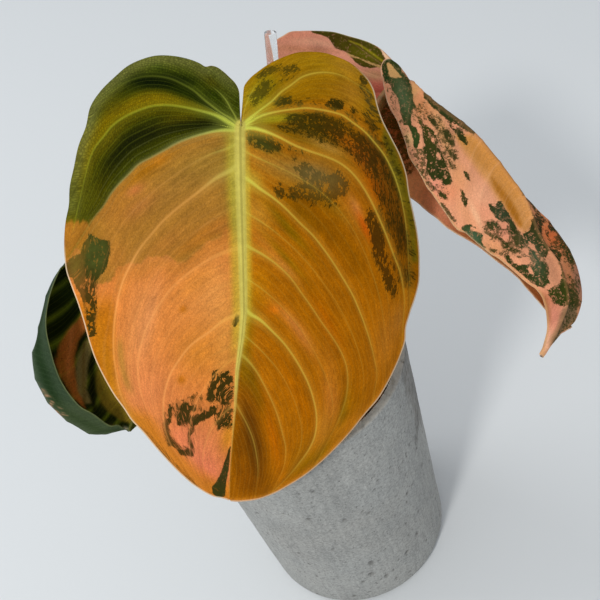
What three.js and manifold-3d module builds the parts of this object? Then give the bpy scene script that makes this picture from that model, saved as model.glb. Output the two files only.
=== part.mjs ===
// A potted climbing aroid with three heart-shaped leaves in a tall grey concrete pot.
// Units are millimetres, +Z is up, the origin is the centre of the pot's underside.
// The main blade faces -Y and up, the folded blade lies on +X, the cupped one on -X.
import * as THREE from "three";
import { mergeVertices } from "three/addons/utils/BufferGeometryUtils.js";
import Module from "manifold-3d";

const wasm = await Module();
wasm.setup();

// ---- driving dimensions ----
const POT_HEIGHT = 168;
const POT_R_BASE = 55; // outer radius at the foot
const POT_R_RIM = 59.9; // outer radius at the rim
const POT_WALL_RIM = 4.5;
const POT_WALL_FOOT = 6;
const POT_FLOOR = 9;
const POT_FOOT_ROUND = 4;
const SOIL_TOP = 150; // mean level of the potting mix
const GAP = 0.35; // clearance between pieces that touch

const BLADE = 1.0; // blade thickness
const STEM_R = 5.2;
const ROD_R = 2.65;
const ROD_FOOT = [8, 28, SOIL_TOP]; // where the rod enters the mix
const ROD_TOP = [46.3, 50.2, 313.2];
const ROD_BURIED = 85; // length of rod below the mix surface

const COLOURS = {
  concrete: 0x949494,
  mix: 0x3a2c20,
  stem: 0x5c6b2e,
  petiole: 0x75803a,
  bladeMain: 0xc8762f,
  bladeFolded: 0xd9936a,
  bladeCupped: 0x39451f,
  rod: 0xdfe6ea,
  tie: 0x3c4a33,
  root: 0x7b6543,
  sheath: 0x8a7a48,
};

// ---- control nets of the blades: rows run from the notch to the tip, points from the midrib to the margin ----
const MAIN_LEFT = [
  [[20.03, 12.21, 300.23], [20.85, 13.06, 302.52], [21.67, 14.48, 304.42], [22.5, 16.1, 306.19], [23.33, 17.8, 307.9], [24.16, 19.58, 309.55]],
  [[19.72, 12.05, 299.65], [19.61, 14.56, 304.39], [19.36, 18.29, 308.29], [19.02, 22.37, 311.95], [18.6, 26.8, 315.4], [18.13, 31.6, 318.66]],
  [[19.4, 11.86, 299.04], [17.94, 15.88, 305.74], [15.59, 21.42, 310.99], [12.52, 27.43, 315.65], [8.92, 33.94, 319.85], [4.96, 41.01, 323.67]],
  [[19.07, 11.62, 298.38], [16.07, 17.15, 306.93], [11.18, 24.08, 312.92], [4.76, 31.19, 317.64], [-2.83, 38.58, 321.44], [-11.22, 46.49, 324.55]],
  [[18.75, 11.31, 297.72], [13, 17.49, 306.95], [5.14, 24.6, 312.59], [-4.44, 31.37, 316.27], [-15.38, 37.96, 318.57], [-27.25, 44.45, 320.08]],
  [[18.3, 10.68, 296.78], [9.43, 16.38, 305.19], [-1.02, 22.62, 309.52], [-12.85, 28.31, 311.44], [-25.77, 33.26, 311.87], [-39.56, 38.3, 311.08]],
  [[17.24, 8.84, 294.24], [5.69, 14.1, 301.63], [-6.95, 19.62, 304.49], [-20.66, 24.5, 304.5], [-35.32, 28.84, 302.49], [-51.05, 34.19, 298.39]],
  [[14.71, 4.78, 288.65], [1.37, 9.68, 295.19], [-12.75, 14.74, 296.82], [-27.71, 19.04, 295.29], [-43.66, 23.56, 290.92], [-60.69, 28.58, 284.5]],
  [[10.72, -1.52, 280], [-3.78, 3.31, 286.17], [-18.93, 8.17, 287.11], [-34.88, 12.41, 284.47], [-51.87, 16.84, 278.73], [-69.56, 20.05, 271.96]],
  [[6.05, -9.18, 269.52], [-8.65, -4.7, 275.23], [-23.89, -0.33, 275.65], [-39.78, 3.17, 272.59], [-56.37, 5.8, 267.14], [-73.47, 7.2, 260.7]],
  [[0.83, -17.74, 257.87], [-13.23, -13.83, 263.04], [-27.7, -10.17, 263.14], [-42.63, -7.67, 260.14], [-57.96, -6.58, 255.34], [-73.83, -5.88, 248.96]],
  [[-4.7, -26.68, 245.75], [-18.17, -23.25, 250.46], [-31.95, -20.18, 250.3], [-46.07, -18.34, 247.25], [-60.49, -17.76, 242.4], [-75.5, -17.22, 235.67]],
  [[-10.79, -34.76, 234.73], [-23.06, -32.39, 238.38], [-35.43, -30.41, 237.79], [-47.9, -29.64, 234.82], [-60.54, -29.74, 230.07], [-73.6, -29.85, 223.63]],
  [[-18.12, -42.45, 224.16], [-28.37, -41.57, 226.17], [-38.51, -40.93, 225.06], [-48.57, -41.09, 222.17], [-58.66, -41.74, 217.87], [-68.95, -42.38, 212.31]],
  [[-25.03, -51.26, 212.02], [-32.85, -51.29, 212.46], [-40.5, -51.52, 211.01], [-48.1, -51.83, 207.98], [-55.7, -52.27, 203.88], [-63.41, -52.68, 198.93]],
  [[-34.28, -59.84, 195.09], [-38.97, -59.94, 194.2], [-43.47, -60.35, 192.73], [-47.91, -60.74, 190.4], [-52.35, -61.07, 187.41], [-56.82, -61.34, 183.96]],
  [[-44.56, -67.37, 171.28], [-44.7, -67.38, 171.25], [-44.83, -67.4, 171.21], [-44.95, -67.43, 171.17], [-45.07, -67.47, 171.12], [-45.19, -67.51, 171.06]],
];

const MAIN_RIGHT = [
  [[20.03, 12.21, 300.23], [21.11, 12.91, 302.3], [22.19, 14.11, 304.02], [23.28, 15.53, 305.6], [24.37, 17.01, 307.13], [25.46, 18.58, 308.61]],
  [[19.72, 12.05, 299.65], [23.18, 13.5, 303.35], [26.73, 16.12, 306.16], [30.33, 19.05, 308.72], [34, 22.31, 311.03], [37.73, 25.91, 313.12]],
  [[19.4, 11.86, 299.04], [25.49, 13.84, 303.75], [31.99, 17.16, 306.74], [38.88, 20.85, 308.9], [46.09, 25.02, 310.35], [53.59, 29.76, 311.24]],
  [[19.07, 11.62, 298.38], [27.7, 13.84, 303.66], [36.94, 17.17, 305.93], [46.74, 20.56, 306.44], [57.09, 24.23, 305.56], [67.97, 28.5, 303.57]],
  [[18.75, 11.31, 297.72], [29.59, 13.16, 302.74], [40.7, 15.84, 303.69], [52.17, 18.19, 302.13], [64.09, 20.59, 298.57], [76.53, 23.3, 293.54]],
  [[18.3, 10.68, 296.78], [30.44, 11.06, 300.08], [42.15, 12.18, 299.1], [53.68, 12.93, 295.41], [65.27, 13.47, 289.63], [77.08, 13.84, 282.49]],
  [[17.24, 8.84, 294.24], [31.1, 7.81, 295.39], [43.78, 7.55, 291.99], [55.79, 7.21, 285.42], [67.49, 6.49, 276.6], [79.38, 6.39, 265.51]],
  [[14.71, 4.78, 288.65], [29.76, 2.77, 288.21], [43.11, 1.75, 282.81], [55.41, 0.59, 274.04], [67.25, -0.29, 262.2], [79.28, -0.3, 247.44]],
  [[10.72, -1.52, 280], [26.62, -4.09, 278.59], [40.46, -5.62, 271.9], [53.02, -7.17, 261.46], [65.04, -8.1, 247.32], [76.96, -9.5, 231.13]],
  [[6.05, -9.18, 269.52], [22.29, -12.35, 267.2], [36.15, -14.49, 259.42], [48.47, -16.75, 247.79], [59.94, -19.32, 233.15], [71, -22.94, 217.01]],
  [[0.83, -17.74, 257.87], [16.07, -21.5, 254.86], [28.72, -24.4, 246.71], [39.61, -27.79, 235.33], [49.32, -32.17, 221.92], [58.57, -36.48, 206.09]],
  [[-4.7, -26.68, 245.75], [9.53, -30.96, 242.16], [21.01, -34.48, 233.76], [30.57, -38.45, 222.33], [38.87, -42.88, 208.51], [46.69, -46.44, 191.29]],
  [[-10.79, -34.76, 234.73], [1.35, -39.58, 230.61], [10.75, -43.6, 222.32], [18.21, -47.96, 211.53], [24.35, -52.59, 198.67], [29.8, -57.08, 183.74]],
  [[-18.12, -42.45, 224.16], [-8.51, -47.5, 219.87], [-1.18, -51.86, 212.42], [4.51, -56.46, 203.23], [9.07, -60.97, 192.23], [12.98, -65.02, 179.27]],
  [[-25.03, -51.26, 212.02], [-18.41, -55.77, 207.83], [-13.4, -59.62, 201.43], [-9.56, -63.18, 193.41], [-6.53, -66.58, 184.14], [-3.98, -69.75, 173.68]],
  [[-34.28, -59.84, 195.09], [-30.94, -62.51, 191.43], [-28.36, -65.16, 187.15], [-26.44, -67.44, 181.83], [-24.97, -69.53, 175.78], [-23.76, -71.52, 169.25]],
  [[-44.56, -67.37, 171.28], [-44.47, -67.5, 171.12], [-44.41, -67.64, 170.95], [-44.37, -67.78, 170.78], [-44.34, -67.92, 170.61], [-44.32, -68.06, 170.43]],
];

const FOLDED_NEAR = [
  [[102.83, 54.55, 258.76], [102.66, 54.41, 259.5], [102.51, 54.37, 260.17], [102.37, 54.41, 260.77], [102.27, 54.55, 261.31], [102.18, 54.78, 261.78]],
  [[103.06, 54.15, 258.47], [102.23, 53.62, 260.83], [101.48, 53.38, 262.97], [100.8, 53.42, 264.89], [100.2, 53.75, 266.61], [99.66, 54.38, 268.11]],
  [[103.28, 53.74, 258.18], [101.78, 52.74, 262.12], [100.41, 52.2, 265.7], [99.17, 52.11, 268.9], [98.04, 52.5, 271.75], [97.04, 53.37, 274.26]],
  [[103.5, 53.35, 257.88], [101.02, 51.92, 262.85], [98.72, 51.07, 267.33], [96.59, 50.82, 271.32], [94.63, 51.18, 274.85], [92.83, 52.16, 277.92]],
  [[103.73, 52.92, 257.57], [100.46, 50.84, 262.45], [97.39, 49.34, 266.83], [94.5, 48.44, 270.73], [91.78, 48.14, 274.17], [89.23, 48.46, 277.14]],
  [[103.99, 52.45, 257.23], [100.51, 49.92, 261.63], [97.2, 47.91, 265.57], [94.04, 46.42, 269.07], [91.04, 45.47, 272.12], [88.17, 45.06, 274.74]],
  [[104.3, 51.89, 256.82], [100.65, 49.01, 260.71], [97.15, 46.58, 264.14], [93.78, 44.62, 267.13], [90.54, 43.11, 269.66], [87.41, 42.08, 271.75]],
  [[104.71, 51.15, 256.28], [100.8, 47.89, 259.76], [97.05, 45.02, 262.74], [93.44, 42.56, 265.2], [89.97, 40.51, 267.16], [86.62, 38.87, 268.62]],
  [[105.37, 49.97, 255.42], [101.16, 46.3, 258.53], [97.18, 42.97, 261.02], [93.4, 39.98, 262.92], [89.82, 37.34, 264.21], [86.42, 35.06, 264.91]],
  [[106.75, 47.62, 253.69], [102.23, 43.63, 256.51], [98.05, 39.93, 258.6], [94.2, 36.52, 259.98], [90.65, 33.41, 260.63], [87.38, 30.6, 260.57]],
  [[109.34, 43.49, 250.63], [103.93, 39.15, 253.36], [99.07, 35.09, 255.14], [94.71, 31.33, 255.97], [90.83, 27.86, 255.87], [87.4, 24.69, 254.82]],
  [[113.35, 37.3, 246.71], [106.72, 32.84, 249.54], [100.78, 28.72, 251.16], [95.48, 24.96, 251.57], [90.77, 21.55, 250.76], [86.62, 18.49, 248.74]],
  [[118.17, 29.42, 241.71], [110.74, 24.97, 244.75], [104.08, 20.88, 246.39], [98.14, 17.17, 246.64], [92.85, 13.84, 245.49], [88.16, 10.87, 242.93]],
  [[121.85, 21.03, 236.39], [113.85, 16.89, 239.76], [106.65, 13.11, 241.58], [100.18, 9.7, 241.84], [94.37, 6.67, 240.56], [89.15, 3.99, 237.71]],
  [[124.54, 11.94, 230.9], [116.5, 8.32, 234.46], [109.21, 5.02, 236.39], [102.62, 2.07, 236.73], [96.64, -0.53, 235.45], [91.23, -2.81, 232.56]],
  [[126.62, 2.85, 225.81], [118.58, -0.21, 229.48], [111.26, -2.96, 231.48], [104.58, -5.4, 231.82], [98.47, -7.52, 230.49], [92.87, -9.34, 227.48]],
  [[128.3, -7.42, 220.99], [121, -9.72, 224.6], [114.3, -11.77, 226.64], [108.13, -13.56, 227.12], [102.42, -15.09, 226.03], [97.14, -16.38, 223.36]],
  [[127.5, -18.7, 215.49], [121.56, -20.34, 218.82], [116.04, -21.81, 220.82], [110.91, -23.09, 221.5], [106.13, -24.18, 220.87], [101.65, -25.07, 218.92]],
  [[127.46, -30.57, 210.29], [122.92, -31.42, 213.27], [118.64, -32.15, 215.17], [114.58, -32.75, 216], [110.73, -33.21, 215.78], [107.06, -33.53, 214.5]],
  [[128.37, -42.18, 205.59], [124.74, -42.35, 208.29], [121.24, -42.42, 210.05], [117.87, -42.38, 210.89], [114.6, -42.23, 210.79], [111.41, -41.97, 209.77]],
  [[125.04, -53.99, 200.65], [123.17, -53.59, 202.68], [121.29, -53.07, 204.14], [119.4, -52.44, 205.04], [117.49, -51.68, 205.38], [115.55, -50.8, 205.16]],
  [[115.52, -63.49, 196.58], [115, -63.1, 197.21], [114.49, -62.61, 197.66], [113.99, -62.03, 197.93], [113.51, -61.36, 198.03], [113.03, -60.59, 197.95]],
  [[104.89, -70.73, 192.65], [104.89, -70.73, 192.65], [104.89, -70.73, 192.65], [104.89, -70.73, 192.65], [104.89, -70.73, 192.65], [104.89, -70.73, 192.65]],
];

const FOLDED_FAR = [
  [[102.83, 54.55, 258.76], [102.87, 55.13, 258.77], [102.89, 55.68, 258.79], [102.91, 56.2, 258.84], [102.92, 56.68, 258.91], [102.92, 57.14, 259.01], [102.91, 57.56, 259.13], [102.9, 57.94, 259.27]],
  [[103.06, 54.15, 258.47], [102.69, 57.3, 258.93], [102.26, 60.23, 259.56], [101.77, 62.95, 260.36], [101.23, 65.46, 261.33], [100.63, 67.74, 262.46], [99.97, 69.8, 263.74], [99.26, 71.64, 265.19]],
  [[103.28, 53.74, 258.18], [101.99, 58.84, 259.29], [100.57, 63.55, 260.72], [99.05, 67.87, 262.47], [97.41, 71.79, 264.52], [95.68, 75.3, 266.87], [93.85, 78.39, 269.5], [91.93, 81.06, 272.41]],
  [[103.5, 53.35, 257.88], [100.75, 59.93, 259.46], [97.82, 65.98, 261.51], [94.72, 71.46, 264.01], [91.45, 76.37, 266.94], [88.06, 80.69, 270.29], [84.54, 84.39, 274.03], [80.92, 87.46, 278.16]],
  [[103.73, 52.92, 257.57], [99.26, 60.46, 259.59], [94.53, 67.3, 262.21], [89.57, 73.41, 265.41], [84.42, 78.77, 269.16], [79.11, 83.34, 273.44], [73.68, 87.1, 278.21], [68.16, 90.02, 283.44]],
  [[103.99, 52.45, 257.23], [97.58, 60.26, 259.54], [90.86, 67.22, 262.56], [83.87, 73.29, 266.27], [76.68, 78.43, 270.62], [69.34, 82.61, 275.59], [61.9, 85.79, 281.13], [54.43, 87.94, 287.21]],
  [[104.3, 51.89, 256.82], [96.37, 58.73, 258.5], [88.11, 64.67, 260.92], [79.58, 69.65, 264.04], [70.85, 73.66, 267.85], [62, 76.65, 272.3], [53.1, 78.6, 277.37], [44.21, 79.47, 283.02]],
  [[104.71, 51.15, 256.28], [96.37, 56.65, 256.73], [87.7, 61.26, 257.88], [78.76, 64.97, 259.71], [69.64, 67.75, 262.19], [60.4, 69.58, 265.3], [51.11, 70.45, 269.04], [41.85, 70.33, 273.37]],
  [[105.37, 49.97, 255.42], [97.11, 54.37, 254.52], [88.51, 57.92, 254.26], [79.66, 60.61, 254.66], [70.6, 62.43, 255.68], [61.41, 63.37, 257.33], [52.16, 63.42, 259.6], [42.91, 62.57, 262.47]],
  [[106.75, 47.62, 253.69], [98.95, 51.39, 251.4], [90.78, 54.27, 249.79], [82.32, 56.24, 248.85], [73.63, 57.32, 248.58], [64.78, 57.49, 248.99], [55.83, 56.75, 250.06], [46.86, 55.1, 251.79]],
  [[109.34, 43.49, 250.63], [102.19, 47.13, 247.07], [94.62, 49.75, 244.27], [86.7, 51.37, 242.24], [78.51, 51.97, 240.97], [70.11, 51.57, 240.47], [61.58, 50.17, 240.76], [53, 47.78, 241.82]],
  [[113.35, 37.3, 246.71], [106.91, 41.11, 242.12], [99.98, 43.76, 238.41], [92.65, 45.26, 235.58], [84.97, 45.64, 233.65], [77.05, 44.89, 232.61], [68.94, 43.02, 232.49], [60.74, 40.04, 233.29]],
  [[118.17, 29.42, 241.71], [112.55, 33.45, 236.62], [106.38, 36.24, 232.5], [99.75, 37.81, 229.37], [92.75, 38.17, 227.23], [85.44, 37.34, 226.09], [77.9, 35.31, 225.97], [70.22, 32.11, 226.87]],
  [[121.85, 21.03, 236.39], [117.25, 25.05, 231.35], [112.12, 27.89, 227.31], [106.53, 29.53, 224.27], [100.55, 30.01, 222.23], [94.24, 29.32, 221.22], [87.67, 27.48, 221.23], [80.91, 24.49, 222.28]],
  [[124.54, 11.94, 230.9], [120.6, 15.5, 225.99], [116.12, 17.92, 222.05], [111.16, 19.23, 219.09], [105.84, 19.45, 217.13], [100.2, 18.59, 216.16], [94.3, 16.65, 216.21], [88.19, 13.64, 217.27]],
  [[126.62, 2.85, 225.81], [124.13, 6.13, 220.97], [120.31, 8.06, 217.1], [115.07, 8.58, 214.19], [110.03, 8.28, 212.26], [104.94, 7.06, 211.32], [99.59, 4.83, 211.39], [94.02, 1.61, 212.46]],
  [[128.3, -7.42, 220.99], [132.27, -3.11, 215.79], [130.09, -1.27, 212.03], [120.76, -2.11, 209.79], [115.01, -2.87, 208.15], [110.7, -4.1, 207.3], [106.2, -6.24, 207.41], [101.45, -9.28, 208.49]],
  [[127.5, -18.7, 215.49], [135.45, -15.01, 209.3], [134.66, -13.44, 205.63], [123.59, -14.17, 204.77], [117.98, -14.87, 203.67], [114.63, -16.03, 202.97], [111.14, -17.98, 203.14], [107.4, -20.75, 204.22]],
  [[127.46, -30.57, 210.29], [136.52, -25.34, 205.74], [136.56, -23.58, 202.46], [125.98, -25.74, 200.52], [121.08, -26.8, 199.12], [118.57, -27.78, 198.45], [115.92, -29.44, 198.63], [113.01, -31.85, 199.67]],
  [[128.37, -42.18, 205.59], [136.52, -39.04, 199.65], [136.7, -37.7, 196.16], [127.51, -38.31, 195.43], [123.29, -38.89, 194.42], [121.12, -39.85, 193.77], [118.8, -41.48, 193.95], [116.21, -43.8, 194.99]],
  [[125.04, -53.99, 200.65], [130.44, -53.01, 194.33], [131.14, -52.06, 191.03], [126.31, -51.02, 191.16], [124.27, -50.97, 190.49], [123.34, -51.69, 189.87], [122.23, -53, 189.99], [120.88, -54.88, 190.88]],
  [[115.52, -63.49, 196.58], [117.46, -63.51, 193.8], [118.07, -63.23, 192.5], [117.12, -62.55, 192.86], [116.92, -62.49, 192.76], [116.99, -62.83, 192.64], [116.98, -63.43, 192.83], [116.87, -64.26, 193.35]],
  [[104.89, -70.73, 192.65], [104.89, -70.73, 192.65], [104.89, -70.73, 192.65], [104.89, -70.73, 192.65], [104.89, -70.73, 192.65], [104.89, -70.73, 192.65], [104.89, -70.73, 192.65], [104.89, -70.73, 192.65]],
];

const CUPPED_LEFT = [
  [[-32.33, 43.93, 245.63], [-31.39, 45.95, 247.68], [-30.71, 48.85, 249.55], [-30.49, 52.03, 251.43], [-30.84, 55.04, 253.15], [-31.67, 57.46, 254.54], [-32.67, 58.72, 255.84]],
  [[-32.56, 43.49, 245.21], [-33.24, 47.45, 249.23], [-34.69, 52.22, 251.87], [-36.8, 56.38, 254.22], [-39.2, 59.67, 256.24], [-41.6, 61.9, 257.65], [-43.92, 62.07, 259.09]],
  [[-32.75, 43.15, 244.88], [-35.73, 48.56, 249.51], [-39.75, 53.95, 252.7], [-44.5, 58.42, 254.76], [-49.11, 61.24, 255.92], [-52.73, 61.8, 256.56], [-55.24, 59.82, 257.48]],
  [[-32.96, 42.73, 244.51], [-38.2, 48.82, 248.92], [-44.47, 54.4, 251.81], [-51.54, 58.62, 253.08], [-58.08, 60.02, 253.3], [-62.62, 57.95, 253.47], [-64.8, 53.81, 254.6]],
  [[-33.22, 42.15, 243.85], [-40.58, 48.35, 247.42], [-48.88, 53.84, 249.19], [-57.75, 57.32, 249.2], [-65.69, 56.71, 248.65], [-70.78, 51.83, 248.99], [-72.16, 46.12, 250.89]],
  [[-33.61, 41.31, 242.46], [-43.11, 47.59, 244.67], [-53.68, 52.63, 244.89], [-63.89, 54.93, 243.17], [-72.49, 52.45, 241.97], [-77.69, 45.75, 243.21], [-77.65, 39.63, 245.36]],
  [[-35.27, 38.06, 238.24], [-46.61, 43.88, 238.96], [-59.26, 48.07, 237.95], [-71.13, 48.91, 235.82], [-80.88, 45.68, 236.28], [-85.62, 39.96, 241.22], [-80.75, 35.66, 246.84]],
  [[-37.58, 33.98, 233.12], [-50.41, 39.51, 232.58], [-64.54, 42.95, 230.6], [-77.95, 42.8, 228.23], [-88.65, 39.12, 229.95], [-92.88, 33.79, 237.51], [-85.94, 29.94, 245.44]],
  [[-40.29, 29.45, 227.81], [-54.28, 34.92, 226.4], [-69.2, 37.91, 223.72], [-83.79, 36.76, 221.05], [-95.23, 32.36, 223.36], [-99.14, 26.9, 232.23], [-92.02, 22.25, 240.91]],
  [[-43.53, 24.26, 222.31], [-58.2, 29.62, 220.38], [-73.33, 32.32, 217.23], [-88.44, 29.66, 214.32], [-100.5, 24.24, 217.21], [-104.43, 19.11, 227.12], [-96.34, 13.35, 235.48]],
  [[-48.54, 16.86, 215.11], [-62.77, 21.42, 212.33], [-77.66, 22.86, 208.91], [-92.23, 18.87, 205.92], [-104.64, 13.98, 210.53], [-109.17, 10.54, 223.02], [-97.62, 2.64, 229.21]],
  [[-53.44, 9.46, 209.17], [-66.83, 13.43, 205.73], [-80.61, 14.06, 202.29], [-93.52, 8.89, 200.2], [-105.25, 3.77, 205.56], [-110.37, 1.03, 217.57], [-97.44, -8.31, 222.5]],
  [[-58.25, 2.06, 204.2], [-70.64, 5.39, 199.97], [-82.52, 4.85, 197.22], [-92.62, -0.1, 196.39], [-102.8, -4.9, 201.69], [-108.33, -8.29, 211.88], [-94.75, -17.18, 215.32]],
  [[-62.96, -5.44, 200.45], [-73.59, -2.67, 195.73], [-82.8, -3.62, 193.85], [-89.99, -8.05, 194.28], [-98.36, -12.76, 198.86], [-103.79, -16.43, 206.61], [-90.65, -22.4, 210.62]],
  [[-67.76, -12.73, 197.58], [-75.67, -11.23, 193.6], [-82.25, -11.77, 192.2], [-87.13, -15.22, 193.47], [-93.23, -19.73, 196.93], [-97.41, -23.35, 201.57], [-86.48, -26.32, 205.89]],
  [[-72.74, -20.01, 195.63], [-77, -19.79, 193.47], [-80.77, -20.04, 192.65], [-83.54, -21.96, 193.76], [-86.86, -25.05, 195.87], [-88.98, -27.7, 198.24], [-82.39, -28.54, 201.77]],
  [[-77.98, -28.48, 194.71], [-78.07, -28.29, 194.88], [-78.36, -28.19, 194.97], [-78.67, -28.11, 195.17], [-79.03, -28.02, 195.54], [-79.44, -27.95, 196.01], [-79.73, -27.98, 196.59]],
];

const CUPPED_RIGHT = [
  [[-32.33, 43.93, 245.63], [-30.06, 47.01, 248.39], [-26.83, 51.02, 250.44], [-23.2, 54.13, 251.73], [-20.16, 56.24, 252.03]],
  [[-32.56, 43.49, 245.21], [-26.1, 47.56, 248.68], [-19.81, 51.96, 249.31], [-13.84, 54.72, 248.44], [-9.07, 55.21, 246.94]],
  [[-32.75, 43.15, 244.88], [-23.99, 46.95, 247.1], [-15.76, 49.77, 246.25], [-9.08, 50.61, 242.63], [-5.08, 49.62, 238.38]],
  [[-32.96, 42.73, 244.51], [-22.79, 45.42, 244.45], [-13.41, 46.27, 241.65], [-7.06, 45.18, 235.65], [-4.18, 43.04, 229.7]],
  [[-33.22, 42.15, 243.85], [-22.37, 42.97, 241.18], [-12.77, 42.05, 235.93], [-7.32, 39.66, 227.98], [-5.35, 36.72, 221.37]],
  [[-33.61, 41.31, 242.46], [-22.92, 39.5, 237.72], [-14.54, 37.38, 229.72], [-9.96, 34.66, 219.89], [-8.72, 31.17, 212.57]],
  [[-35.27, 38.06, 238.24], [-25.46, 34.47, 231.8], [-18.17, 30.49, 221.85], [-14.86, 26.9, 211.12], [-14.87, 23.77, 202.94]],
  [[-37.58, 33.98, 233.12], [-28.74, 29.07, 225.34], [-22.61, 24.17, 214.56], [-20.34, 20.42, 203.75], [-21.02, 17.71, 195.52]],
  [[-40.29, 29.45, 227.81], [-32.29, 23.69, 219.37], [-27.27, 18.87, 208.63], [-25.86, 15.61, 198.26], [-26.93, 13.44, 190.6]],
  [[-43.53, 24.26, 222.31], [-36.31, 18.17, 214.18], [-32.25, 13.94, 203.99], [-31.7, 11.38, 194.35], [-33.38, 10, 187.54]],
  [[-48.54, 16.86, 215.11], [-42.9, 10.82, 207.92], [-40.12, 7.12, 198.71], [-40.36, 4.96, 190.51], [-42.15, 3.69, 185.58]],
  [[-53.44, 9.46, 209.17], [-48.62, 3.92, 202.69], [-46.65, 0.3, 195.38], [-47.31, -0.93, 188.65], [-49.43, -1.59, 184.22]],
  [[-58.25, 2.06, 204.2], [-54.5, -2.33, 198.83], [-53.18, -5.17, 192.92], [-54.39, -6.62, 187.55], [-56.32, -7.61, 184.3]],
  [[-62.96, -5.44, 200.45], [-60.41, -8.77, 196.16], [-59.41, -10.81, 191.43], [-60.65, -11.94, 187.44], [-62.78, -12.7, 184.9]],
  [[-67.76, -12.73, 197.58], [-65.95, -15.14, 194.42], [-65.32, -16.51, 190.95], [-66.45, -17.26, 188.29], [-68.52, -17.62, 186.57]],
  [[-72.74, -20.01, 195.63], [-71.42, -21.34, 193.73], [-71.17, -22.04, 191.89], [-71.98, -22.41, 190.54], [-73.27, -22.53, 189.76]],
  [[-77.98, -28.48, 194.71], [-77.78, -28.58, 194.6], [-77.63, -28.71, 194.47], [-77.51, -28.83, 194.36], [-77.45, -28.97, 194.22]],
];

// ---- helpers ----
// Smooth curve through equally spaced values (Catmull-Rom).
function spline(values, t) {
  const n = values.length - 1;
  const x = Math.min(Math.max(t, 0), 1) * n;
  const i = Math.min(Math.floor(x), n - 1);
  const f = x - i;
  const at = (k) => values[Math.min(Math.max(k, 0), n)];
  const [p1, p2] = [at(i), at(i + 1)];
  const p0 = i > 0 ? at(i - 1) : p1.map((v, k) => 2 * v - p2[k]);
  const p3 = i < n - 1 ? at(i + 2) : p2.map((v, k) => 2 * v - p1[k]);
  return p1.map(
    (_, k) =>
      0.5 *
      (2 * p1[k] +
        (p2[k] - p0[k]) * f +
        (2 * p0[k] - 5 * p1[k] + 4 * p2[k] - p3[k]) * f * f +
        (3 * p1[k] - p0[k] - 3 * p2[k] + p3[k]) * f * f * f),
  );
}

function netPoint(net, t, s) {
  return spline(
    net.map((row) => spline(row, s)),
    t,
  );
}

function meshGeometry(points, faces) {
  const g = new THREE.BufferGeometry();
  g.setAttribute("position", new THREE.Float32BufferAttribute(points.flat(), 3));
  g.setIndex(faces.flat());
  return g;
}

// A blade: both halves share the midrib. The sheet is thickened to both sides along its normals.
function blade(left, right, rows, columns, thickness) {
  const width = 2 * columns + 1;
  const P = [];
  for (let i = 0; i <= rows; i++) {
    const t = i / rows;
    const row = [];
    for (let j = columns; j >= 1; j--) row.push(netPoint(left, t, j / columns));
    for (let j = 0; j <= columns; j++) row.push(netPoint(right, t, j / columns));
    P.push(row.map((p) => new THREE.Vector3(...p)));
  }
  const normals = P.map((row, i) =>
    row.map((_, j) => {
      const n = new THREE.Vector3();
      // area-weighted, over the faces that meet here
      for (const [a, b] of [
        [-1, -1],
        [-1, 0],
        [0, -1],
        [0, 0],
      ]) {
        const [i0, j0] = [i + a, j + b];
        if (i0 < 0 || j0 < 0 || i0 >= rows || j0 >= width - 1) continue;
        const d1 = P[i0 + 1][j0 + 1].clone().sub(P[i0][j0]);
        const d2 = P[i0 + 1][j0].clone().sub(P[i0][j0 + 1]);
        n.add(d1.cross(d2));
      }
      return n.normalize();
    }),
  );
  const points = [];
  for (const side of [1, -1])
    P.forEach((row, i) =>
      row.forEach((p, j) => {
        const q = p.clone().addScaledVector(normals[i][j], (side * thickness) / 2);
        points.push([q.x, q.y, q.z]);
      }),
    );
  const N = (rows + 1) * width;
  const id = (i, j, side) => (side > 0 ? 0 : N) + i * width + j;
  const faces = [];
  const quad = (a, b, c, d) => faces.push([a, b, c], [a, c, d]);
  for (let i = 0; i < rows; i++)
    for (let j = 0; j < width - 1; j++) {
      quad(id(i, j, 1), id(i + 1, j, 1), id(i + 1, j + 1, 1), id(i, j + 1, 1));
      quad(id(i, j, -1), id(i, j + 1, -1), id(i + 1, j + 1, -1), id(i + 1, j, -1));
    }
  for (let i = 0; i < rows; i++) {
    quad(id(i, 0, 1), id(i, 0, -1), id(i + 1, 0, -1), id(i + 1, 0, 1));
    const k = width - 1;
    quad(id(i, k, 1), id(i + 1, k, 1), id(i + 1, k, -1), id(i, k, -1));
  }
  for (let j = 0; j < width - 1; j++) {
    quad(id(0, j, 1), id(0, j + 1, 1), id(0, j + 1, -1), id(0, j, -1));
    quad(id(rows, j, 1), id(rows, j, -1), id(rows, j + 1, -1), id(rows, j + 1, 1));
  }
  return outward(meshGeometry(points, faces));
}

// A round shoot along a curve, with its own radius at each point of the way, closed at both ends.
function shoot(path, radii, sides, steps) {
  const curve = new THREE.CatmullRomCurve3(
    path.map((p) => new THREE.Vector3(...p)),
    false,
    "centripetal",
  );
  const frames = curve.computeFrenetFrames(steps, false);
  const points = [];
  for (let i = 0; i <= steps; i++) {
    const c = curve.getPointAt(i / steps);
    const r = spline(
      radii.map((v) => [v]),
      i / steps,
    )[0];
    for (let k = 0; k < sides; k++) {
      const a = (2 * Math.PI * k) / sides;
      const q = c
        .clone()
        .addScaledVector(frames.normals[i], r * Math.cos(a))
        .addScaledVector(frames.binormals[i], r * Math.sin(a));
      points.push([q.x, q.y, q.z]);
    }
  }
  const faces = [];
  for (let i = 0; i < steps; i++)
    for (let k = 0; k < sides; k++) {
      const a = i * sides + k;
      const b = i * sides + ((k + 1) % sides);
      faces.push([a, b, b + sides], [a, b + sides, a + sides]);
    }
  const last = steps * sides;
  for (let k = 1; k < sides - 1; k++) {
    faces.push([0, k + 1, k]);
    faces.push([last, last + k, last + k + 1]);
  }
  return outward(meshGeometry(points, faces));
}

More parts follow.
